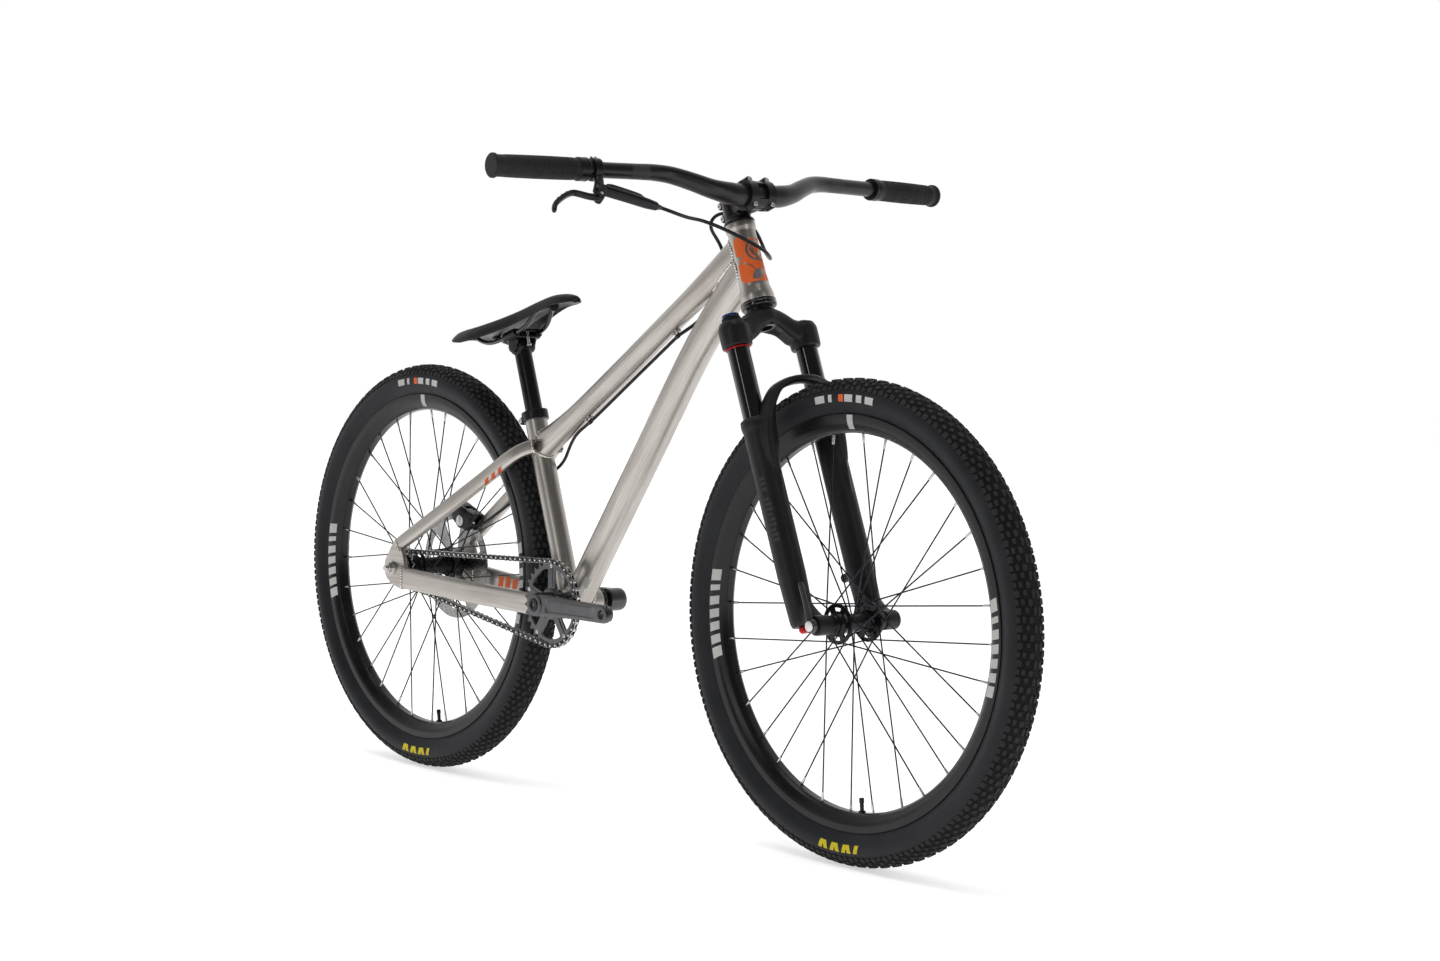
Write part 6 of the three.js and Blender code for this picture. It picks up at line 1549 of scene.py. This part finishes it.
def rear_axle():
    threads = [(4.95 - 0.35 * (i % 2), 85 + i * 0.5) for i in range(10)]
    half = crosswise([(5, 66), (5, 85)] + threads + [(4.2, 90.4), (0.01, 90.6)], 32)
    half.add(crosswise([(5.1, 75.1), (11, 75.1), (11, 77.1), (5.1, 77.1)], 48, 0.3, True))
    half.add(crosswise([(5.1, 77.2), (9.8, 77.2), (9.8, 78.6), (8.9, 79), (5.1, 79)], 48, 0.2, True))
    half.add(crosswise([(5.1, 78.6), (8.6, 78.6), (8.9, 79.4), (8.9, 84.8), (7.8, 85.6),
                        (5.1, 85.6)], 6, closed=True))
    shape = half.mirrored().add(half).bar((0, -68, 0), (0, 68, 0), 4.9, 24)
    moved_to(shape, AXLE_R).build("rear_axle_set", "frame", SILVER, ["rear_axle"], 32)


# Rear brake

DISC = np.eye(4)
DISC_TURN = math.radians(68)
DISC[:3, 0] = (-math.sin(DISC_TURN), 0, math.cos(DISC_TURN))
DISC[:3, 2] = (math.cos(DISC_TURN), 0, math.sin(DISC_TURN))
DISC[:3, 3] = AXLE_R
DISC_Y = 52.2


def rotor():
    step = math.pi / 3
    shares = [(26.5, 0.30), (44, 0.33), (60, 0.30), (74.4, 0.34), (74.8, 0.46), (75, 0.58), (75, 0.70),
              (74.8, 0.82), (74.4, 0.93), (60, 0.92), (44, 0.86), (26.5, 0.76), (26, 0.62), (26, 0.44)]
    windows = [polar_outline(shares, step, i, 0.0, 2.2) for i in range(6)]
    vents = []
    columns = 36
    for i in range(columns):
        for k, r in enumerate((79.2, 82.8, 86.4)):
            t = FULL * (i + 0.28 * k) / columns
            vents.append(circle(r * math.cos(t), r * math.sin(t), 1.25, 10))
    shape = plate(circle(0, 0, 90, 180), [circle(0, 0, 17.5, 48), *windows, *vents], 51.3, 53.1, 0.15)
    for x, z in ringed(6, 21.6, 0.03):
        shape.screw((x, 53.0, z), Y, 3.6, 2.0)
    moved_to(shape, AXLE_R).build("rotor_plate", "rear_wheel", [STEEL, ANODISED], ["brake_rotor"], 30)


def caliper():
    cast = Shape()
    for y, wide in ((42.4, 9.6), (61.8, 8.8)):
        cast.grid(loft_rows([(-27, y, 86, wide * 0.8, 20), (-18, y, 86, wide, 30), (0, y, 87, wide, 34),
                             (18, y, 87, wide, 30), (27, y, 90, wide * 0.8, 18)], Y, 32, 0.55, 5))
    for at in (-17, 17):
        cast.grid(loft_rows([(at - 9, DISC_Y, 99, 27, 9.5), (at, DISC_Y, 99.2, 28, 9.8),
                             (at + 9, DISC_Y, 99, 27, 9.5)], Y, 28, 0.5, 4))
    cast.bar((0, 37.4, 81), (0, 46.6, 81), 12.6, 40, 1.6)
    cast.bar((0, 57.6, 81), (0, 66.2, 81), 12.6, 40, 1.6)
    cast.bar((-27.6, 45, 88), (-18, 45, 88), 6.2, 28, 0.8)
    body = melted(cast, 0.9, 3)
    for near, far in ((66.0, 66.9), (37.5, 36.7)):
        body.add(crosswise([(0.01, near), (9.2, near), (9.2, far), (0.01, far)], 48, 0.2,
                           at=(0, 0, 81)), mat=1)
    for at in (-20, 20):
        body.screw((at, 66, 93), Y, 3.4, 2.6)
    body.bar((-28.4, 45, 88), (-23, 45, 88), 3.9, 6, 0.3, mat=1)
    body.bar((0, 44, 100.5), (0, 60.5, 100.5), 1.5, 16, mat=1)
    Shape().add(body, DISC).build("caliper_cast", "frame", [ANODISED, SILVER], ["brake_caliper"], 45)
    friction = [(-12.5, 75), (12.5, 75), (13, 79), (11, 88), (-11, 88), (-13, 79)]
    backing = [(-14, 74), (14, 74), (14, 80), (12, 89), (4, 89), (4, 94), (-4, 94), (-4, 89),
               (-12, 89), (-14, 80)]
    for side, name in ((-1, "inner"), (1, "outer")):
        face, middle, back = (DISC_Y + side * reach for reach in (1.3, 2.5, 3.7))
        pad = plate(friction, [], *sorted((face, middle)), 0.2)
        pad.add(plate(backing, [circle(0, 91.4, 1.2, 12)], *sorted((middle + side * 0.02, back)), 0.2), mat=1)
        Shape().add(pad, DISC).build(f"pad_{name}_plate", f"pad_{name}", [BAR_BLACK, STEEL],
                                     [f"brake_pad_{name}"], 30)


# Brake lever

LEVER_TURN = math.radians(48) + TILT
LEVER_AT = on_bar(256) * (1, -1, 1)
INBOARD = BAR_DIR * (-1, 1, -1)
DROPPED = np.array([math.cos(LEVER_TURN), 0, -math.sin(LEVER_TURN)])
DROPPED = DROPPED - INBOARD * DROPPED.dot(INBOARD)
DROPPED /= np.linalg.norm(DROPPED)
LEVER = np.eye(4)
for column, values in enumerate((INBOARD, DROPPED, np.cross(INBOARD, DROPPED), LEVER_AT)):
    LEVER[:3, column] = values
LEVER = STEER @ LEVER


PIVOT = (-14, 52)  # the blade's pivot, inward and down


def brake_lever():
    cast = Shape().bar((-6.4, 0, 0), (6.4, 0, 0), 16.2, 56, 1.2)
    cast.grid(loft_rows([(0, 13, 0, 12, 13), (-3, 24, 0, 11, 13), (-8, 34, 0, 12, 14), (-12, 42, 0, 12, 15)],
                        Z, 28, 0.7, 4))
    cast.grid(tube_rows(catmull([(-13, 35, 0), (0, 39, 0), (30, 49.8, 0), (58, 60.5, 0), (73, 66, 0)], 6),
                        np.interp(np.arange(25), [0, 3, 18, 24], [6.5, 8, 7.4, 5.9]), 36))
    cast.grid(loft_rows([(8, 28.5, 5, 10, 10), (16, 31.5, 6, 14, 14.4), (36, 39.8, 6, 14.6, 15),
                         (54, 47.3, 6, 14.2, 14.4), (61, 50.4, 5, 9, 10)], Z, 36, 0.6, 5))
    for side in (-1, 1):
        cast.grid(loft_rows([(-4, 40, 6.3 * side, 3.2, 10), (-11, 46, 6.4 * side, 3.2, 11),
                             (-15.5, 55, 6.4 * side, 3.2, 9)], Z, 24, 0.8, 5))
        cast.bar((*PIVOT, 4.9 * side), (*PIVOT, 7.9 * side), 6, 32, 0.5)
    body = holed(melted(cast, 0.85, 3), bar((-9, 0, 0), (9, 0, 0), 11.3, 56, 0.1),
                 bar((*PIVOT, -4.85), (*PIVOT, 4.85), 7.6, 32, 0.1))
    lid = loft_rows([(18, 28.5, 13.2, 11, 1.4), (36, 36.2, 13.6, 12, 1.6),
                     (52, 43, 13.2, 11, 1.4)], Z, 28, 0.6, 4)
    body.grid(lid, mat=2)
    for x, y in ((20, 33), (52, 46.6)):
        body.screw((x, y, 12.8), Z, 1.8, 1.6)
    for x in (-4.2, 4.2):
        body.screw((x * 0.8, -14, -7.6), -Z, 2.4, 1.8)
    body.bar((*PIVOT, -8.3), (*PIVOT, 8.3), 2.5, 24, 0.3, mat=1)
    body.screw((*PIVOT, 8.0), Z, 4.2, 1.2)
    end = np.array([73.0, 66, 0])
    slope = end + (9, 3.6, 0) - (-9.0, 36, 0)
    slope /= np.linalg.norm(slope)
    body.bar(end - slope * 3, end + slope * 2.4, 4.9, 6, 0.4, mat=2)
    body.bar(end + slope * 1.5, end + slope * 7, 3.7, 24, 0.8, 3.1, mat=2)
    Shape().add(body, LEVER).build("master_cast", "steering", [ANODISED, SILVER, GLOSS],
                                   ["brake_master_cylinder"], 45)
    blade = Shape()
    blade.grid(loft_rows([(-14, 52, 0, 8.6, 10.5), (-24, 52.4, 0, 8.8, 9.2), (-33, 51, 0, 9, 8),
                          (-44, 47.6, 0, 9, 7.4), (-55, 46, 0, 9, 7.2), (-69, 52, 0, 9, 7.2),
                          (-85, 63, 0, 9, 7.4), (-93, 71, 0, 8.8, 7.2), (-97.2, 79.6, 0, 7, 6),
                          (-98, 82, 0, 4.6, 3.6)], Z, 32, 0.72, 6))
    blade.bar((*PIVOT, -4.4), (*PIVOT, 4.4), 6.2, 36, 0.5)
    for x, y in ((-66, 47.6), (-75, 52.8), (-84, 59)):
        blade.bar((x, y, -3.2), (x, y, 3.2), 1.5, 14, mat=1)
    Shape().add(blade, LEVER).build("lever_blade_cast", "lever_blade", [ANODISED, BAR_BLACK],
                                    ["brake_lever"], 40)


# Hoses

def in_lever(inward, down, out=0):
    return (LEVER @ np.array([inward, down, out, 1.0]))[:3]


HOSE_R = 2.6


def guide_under(x, ahead=0.0):
    return under_tube(x) + SLOPE_ALONG * ahead + SLOPE_DOWN * (4 + 0.3 + HOSE_R)


def near_disc(along, out, y):
    return (DISC @ np.array([along, y, out, 1.0]))[:3]


LOOP = [(-20, -90, 112), (-9, -55, 100), (5, -20, 83), (6, 8, 72), (-14, 36, 61), (-48, 55, 73),
        (-70, 60, 100), (-90, 58, 119), (-110, 52, 128), (-134, 46, 133), (-151, 38, 123), (-139, 29, 106),
        (-112, 24, 86), (-98, 24, 55), (-108, 24, 22), (-132, 22, -10), (-154, 10, -36)]
REAR_RUN = [(-116, 1, 568), (-146, 10, 545), (-176, 23.5, 522), (-212, 30, 503), (-256, 32, 483),
            (-330, 37, 448), (-410, 44, 411)]


def hose(points, name, body, node):
    run = catmull(np.asarray(points, float), 10)
    run = evened(run, int(np.linalg.norm(np.diff(run, axis=0), axis=1).sum() / 5))
    for _ in range(14):
        run[1:-1] = run[1:-1] / 2 + (run[:-2] + run[2:]) / 4
    obj = Shape().grid(tube_rows(run, HOSE_R, 20)).build(name, body, HOSE, [node], 60, ride=bool(body))
    if not body:
        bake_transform(obj)


def hoses():
    front = [in_lever(79, 68.2), in_lever(95, 72.5, 2), in_lever(130, 70.5, 15)]
    front += [HEAD + p for p in LOOP] + [guide_under(118, 12), guide_under(118, 0.3)]
    hose(front, "front_hose_tube", "", "front_brake_hose")
    ends = [near_disc(-28 - away, 87, DISC_Y - 7.5 - HOSE_R) for away in (12, 0.6)]
    rear = [guide_under(118, -0.3), guide_under(16), guide_under(-86), *REAR_RUN, *ends]
    hose(rear, "rear_hose_tube", "frame", "rear_brake_hose")
    ties = Shape()
    for at in (118, -86):
        a, b = guide_under(at, -3), guide_under(at, 3)
        ties.add(lathe(band(2.7, 3.5, 0, 6), axes(a, b - a), 28, 0.3, closed=True))
    along = np.array([-80.0, 6, -40]) / np.linalg.norm((80, 6, 40))
    for at in REAR_RUN[4:6]:
        ties.add(lathe(band(2.7, 3.6, 0, 4), axes(at - along * 2, along), 28, 0.3, closed=True))
    ties.build("hose_ties", "frame", BAR_BLACK)


# Seatpost and saddle

POST_UP = 105  # the post's head over the top of the seat tube
POST_X = SEAT_TOP[0] - 0.34377 * POST_UP
POST_HEAD = np.array([POST_X, 0.0, SEAT_TOP[2] + POST_UP])
SEAT = np.array(axes(SEAT_TOP, SEAT_DIR, X))


def seatpost():
    top = np.linalg.norm(POST_HEAD - SEAT_TOP)
    tube = upright(0, 0, [(11.4, -100.5), (13.6, -100.5), (13.6, top - 8), (11.4, top - 8)], 72, 0.4, True)
    marks = [(16 + k * 5, 16 + k * 5 + 1.1, 0.55 if k % 2 else 0.35, 0.85) for k in range(11)]
    marks += [(low, high, 0.35, 0.9) for low, high in ((76, 80), (83, 85), (88, 94))]
    for low, high, start, stop in marks:
        turns = np.linspace(math.pi + start, math.pi + stop, 8)
        tube.grid([[(13.68 * math.cos(t), 13.68 * math.sin(t), h) for t in turns] for h in (low, high)],
                  wrap=False, mat=1)
    head = Shape().bar(POST_HEAD - Y * 15, POST_HEAD + Y * 15, 13, 56, 1.2)
    head.bar(POST_HEAD - SEAT_DIR * 22, POST_HEAD - SEAT_DIR * 3, 13.5, 56, 0.6)
    shape = Shape().add(tube, SEAT).add(melted(head, 1.0, 4))
    shape.build("seatpost_tube", "post", [ANODISED, WHITE], ["seatpost"], 45)


def seat_collar():
    ring = [(17.7, -11), (20.6, -11), (21, -10), (21, 3), (20.4, 4), (14.1, 4), (14.1, 0.6), (17.7, 0.6)]
    shape = upright(0, 0, ring, 80, 0.5, True)
    for y in (-5, 5):
        shape.grid(loft_rows([(-20, y, -3.5, 7, 14), (-27, y, -3.5, 7, 13),
                              (-31.6, y, -3.5, 7, 9)], Y, 28, 0.5, 4))
    shape.screw((-26.4, -8.4, -3.5), -Y, 4.1, 2.8)
    shape.bar((-26.4, 8.4, -3.5), (-26.4, 10.2, -3.5), 3.6, 24, 0.3, mat=1)
    shape.bar((-26.4, -3, -3.5), (-26.4, 3, -3.5), 2.4, 16, mat=1)
    Shape().add(shape, SEAT).build("collar_ring", "frame", [ANODISED, SILVER], ["seatpost_collar"])


RAILS = [(-352, 712), (-336, 706.5), (-318, 704), (-296, 706.5), (-262, 716), (-236, 724.5), (-218, 736),
         (-203, 754), (-186, 760)]


def rails():
    middle = (len(RAILS) - 1) / 2
    half = [(x, 22 - 12 * max(0, (k - middle) / middle) ** 2, z) for k, (x, z) in enumerate(RAILS)]
    other = [(x, -y, z) for x, y, z in half][::-1]
    run = catmull(half + [(-180, 4, 761.5), (-180, -4, 761.5)] + other, 8)
    Shape().grid(tube_rows(run, 3.5, 24)).build("rail_wire", "seat", GLOSS, ["saddle_rails"], 60)


def saddle_clamp():
    shape = Shape()
    lean = math.radians(16)
    slope = np.array([math.cos(lean), 0, math.sin(lean)])
    square = np.array([-slope[2], 0, slope[0]])
    centre = np.array([POST_X, 0, 716.8])
    turns = np.linspace(0, FULL, 32, endpoint=False)
    across = np.sign(np.cos(turns)) * np.abs(np.cos(turns)) ** 0.4
    above = np.sign(np.sin(turns)) * np.abs(np.sin(turns)) ** 0.55
    for lift, thick, long in ((4.4, 6.2, 33), (-4.6, 7.0, 30)):
        rows = [centre + square * lift + np.outer(across, slope) * long / 2 * grow
                + np.outer(above, square) * thick / 2 * grow + Y * y
                for y, grow in ((-26, 0.8), (-24.5, 1.0), (24.5, 1.0), (26, 0.8))]
        shape.grid(rows)
    for side in (-1, 1):
        at = np.array([POST_X, side * 22, np.interp(POST_X, *zip(*RAILS))])
        shape.bar(at - slope * 16, at + slope * 16, 6.4, 32, 1.2)
    shape.bar(POST_HEAD - Y * 20, POST_HEAD + Y * 20, 9.2, 40, 1.0)
    for y in (-17.8, 17.8):
        shape.grid(loft_rows([(POST_X, y, 694, 4.8, 17), (POST_X, y, 703, 4.8, 21),
                              (POST_X + 1, y, 712, 5, 24)], Y, 24, 0.6, 4))
    for away in (-13.5, 13.5):
        at = centre + slope * away - square * 8
        shape.bar(at - square * 9, at + square * 12, 2.6, 20, 0.2, mat=1)
        shape.screw(at - square * 9, -square, 4.2, 3.4)
    shape.build("clamp_set", "seat", [ANODISED, SILVER], ["saddle_clamp"])


# Stations of the saddle: place, half width, top and depth
SADDLE = [(-378, 30, 717, 9), (-374, 50, 721, 15), (-362, 62, 725, 21), (-340, 66, 729, 25),
          (-310, 60, 736, 26), (-275, 45, 746.5, 25), (-240, 32, 758, 23), (-205, 25, 770, 21),
          (-170, 22, 779.5, 18), (-145, 20.5, 782, 16), (-130, 16.5, 780.5, 12), (-123, 9, 778.5, 8)]


def saddle_top(share, top, depth):
    share = abs(share)
    return top - 5 * share ** 2 - (depth - 7) * share ** 6


def saddle():
    places, *sizes = zip(*SADDLE)
    run = catmull([station[:3] for station in SADDLE], 9)
    stations = [(*s, d) for s, d in zip(run, np.interp(run[:, 0], places, sizes[2]))]
    edge = [(0.975, -1.8), (0.93, -2.4), (0.86, -1.2), (0.78, 1.5)]
    rows = []
    for x, half, top, depth in stations:
        ring = [(x, s * half, saddle_top(s, top, depth))
                for s in np.sin(np.linspace(-math.pi / 2, math.pi / 2, 41))]
        ring += [(x, s * half, top - depth + 2 + lift) for s, lift in edge]
        ring += [(x, s * half, max(top - depth + 3, top - 11) if abs(s) > 0.3 else top - 10)
                 for s in (0.5, 0.2, -0.2, -0.5)]
        rows.append(ring + [(x, -s * half, top - depth + 2 + lift) for s, lift in reversed(edge)])
    obj = Shape().grid(rows).build("saddle_padding", "seat", COVER, ["saddle"], 60)
    seams = Shape()
    flank = 0.80
    for side in (-1, 1):
        line = [(x, side * flank * half, saddle_top(flank, top, depth) + 0.05)
                for x, half, top, depth in stations[6:-6]]
        seams.grid(tube_rows(evened(line, 120), 0.42, 8))
    line = []
    for s in np.linspace(-flank, flank, 30):
        x = -352 + 10 * s * s
        half, top, depth = (np.interp(x, places, size) for size in sizes)
        line.append((x, s * half, saddle_top(s, top, depth) + 0.05))
    seams.grid(tube_rows(line, 0.42, 8)).build("saddle_seams", "seat", BAR_BLACK, smooth=60)
    rows = []
    for x, half, top, depth in stations[4:-4]:
        ring = [(x, s * half, top - min(depth, 12 + 6 * s ** 2) + 1.0 - 1.2)
                for s in np.linspace(-0.9, 0.9, 15)]
        ring += [(x, s * half, top - min(depth - 1.5, 10 + 5 * s ** 2) + 1.0)
                 for s in np.linspace(0.86, -0.86, 15)]
        rows.append(ring)
    shell = Shape().grid(np.asarray(rows)[:, ::-1])
    for y in (-22, 22):
        shell.bar((-352, y, 712), (-362, y, 714), 5.2, 28, 0.8)
    shell.bar((-184, 0, 763), (-176, 0, 764), 9, 28, 1.0)
    shell.build("saddle_shell", "seat", SHELL, smooth=40)


frame_tubes()
wheels()
fork_crown()
fork_lowers()
fork_fittings()
headset()
stem()
faceplate()
handlebar()
grips()
head_motif()
printed(SEATSTAY, 0.62, True, (-250, -265, -280), 8.5, 0.35, 1.5, -7, ORANGE, "seatstay_mark")
printed(CHAINSTAY, 0.42, False, (-336, -358, -380), 15, 2.75, 3.53, 8, ORANGE, "chainstay_mark")
printed(DOWN_TUBE[2::-1], 1.0, True, (-74,), 10, 0.55, 1.0, -4, WHITE, "down_tube_mark")
chainring()
cog()
chain()
cranks()
rear_axle()
rotor()
caliper()
brake_lever()
hoses()
seatpost()
seat_collar()
rails()
saddle_clamp()
saddle()


# Floor and light

def maths(tree, operation, first, second):
    node = tree.nodes.new("ShaderNodeMath")
    node.operation = operation
    for socket, value in zip(node.inputs, (first, second)):
        if isinstance(value, bpy.types.NodeSocket):
            tree.links.new(value, socket)
        else:
            socket.default_value = value
    return node.outputs[0]


def on_rays(tree):
    """1 for the rays of the camera, of gloss and of glass, and 1 for the camera's alone."""
    path = tree.nodes.new("ShaderNodeLightPath").outputs
    shown = maths(tree, "MAXIMUM", path["Is Camera Ray"], path["Is Glossy Ray"])
    return maths(tree, "MAXIMUM", shown, path["Is Transmission Ray"]), path["Is Camera Ray"]


def room():
    """A white backdrop. The room behind the camera and above it is dimmer in reflections."""
    world = bpy.data.worlds.new("world")
    bpy.context.scene.world = world
    world.use_nodes = True
    tree = world.node_tree
    light = tree.nodes["Background"]
    white = tree.nodes.new("ShaderNodeBackground")
    for node, strength in ((light, 0.32), (white, 1.0)):
        node.inputs["Color"].default_value = (1, 1, 1, 1)
        node.inputs["Strength"].default_value = strength
    place = tree.nodes.new("ShaderNodeTexCoord")
    facing = tree.nodes.new("ShaderNodeVectorMath")
    facing.operation = "DOT_PRODUCT"
    facing.inputs[1].default_value = (-0.72, 0.62, -0.32)
    shade = tree.nodes.new("ShaderNodeMapRange")
    for key, number in (("From Min", -0.35), ("From Max", 0.6), ("To Min", 0.1), ("To Max", 1.0)):
        shade.inputs[key].default_value = number
    mix = tree.nodes.new("ShaderNodeMixShader")
    shown, camera_ray = on_rays(tree)
    for start, end in ((place.outputs["Generated"], facing.inputs[0]),
                       (facing.outputs["Value"], shade.inputs["Value"]),
                       (maths(tree, "MAXIMUM", shade.outputs["Result"], camera_ray),
                        white.inputs["Strength"]), (shown, mix.inputs[0]),
                       (light.outputs[0], mix.inputs[1]), (white.outputs[0], mix.inputs[2]),
                       (mix.outputs[0], tree.nodes["World Output"].inputs["Surface"])):
        tree.links.new(start, end)


def stage():
    room()
    floor_mat = bpy.data.materials.new("floor")
    floor_mat.use_nodes = True
    tree = floor_mat.node_tree
    shader = tree.nodes["Principled BSDF"]
    shader.inputs["Base Color"].default_value = (0.86, 0.86, 0.86, 1)
    shader.inputs["Roughness"].default_value = 0.6
    glow = tree.nodes.new("ShaderNodeEmission")
    both = tree.nodes.new("ShaderNodeAddShader")
    for start, end in ((maths(tree, "MULTIPLY", on_rays(tree)[0], 0.56), glow.inputs["Strength"]),
                       (shader.outputs[0], both.inputs[0]), (glow.outputs[0], both.inputs[1]),
                       (both.outputs[0], tree.nodes["Material Output"].inputs["Surface"])):
        tree.links.new(start, end)
    mesh = bpy.data.meshes.new("floor")
    reach = 14
    corners = [(reach * x, reach * y, 0) for x, y in ((-1, -1), (1, -1), (1, 1), (-1, 1))]
    mesh.from_pydata(corners, [], [(0, 1, 2, 3)])
    mesh.materials.append(floor_mat)
    link(bpy.data.objects.new("floor", mesh))

    def lamp(name, place, target, size, watts):
        data = bpy.data.lights.new(name, "AREA")
        data.shape = "RECTANGLE"
        data.size, data.size_y = size
        data.energy = watts
        obj = link(bpy.data.objects.new(name, data))
        obj.location = place
        obj.rotation_euler = (Vector(target) - Vector(place)).to_track_quat("-Z", "Y").to_euler()

    sun = bpy.data.lights.new("sun", "SUN")
    sun.energy = 1.15
    sun.angle = math.radians(46)
    obj = link(bpy.data.objects.new("sun", sun))
    obj.rotation_euler = (math.radians(6), math.radians(-16), 0)
    obj.visible_glossy = False
    lamp("overhead", (0.2, -0.5, 3.2), (0, 0, 0.4), (2.4, 0.4), 11)
    lamp("right", (0.6, -3.4, 1.5), (0, 0, 0.5), (0.3, 2.2), 9)
    lamp("front", (3.6, 0.4, 1.4), (0.2, 0, 0.5), (0.3, 2.2), 9)


bpy.context.scene.view_settings.view_transform = "Standard"
stage()
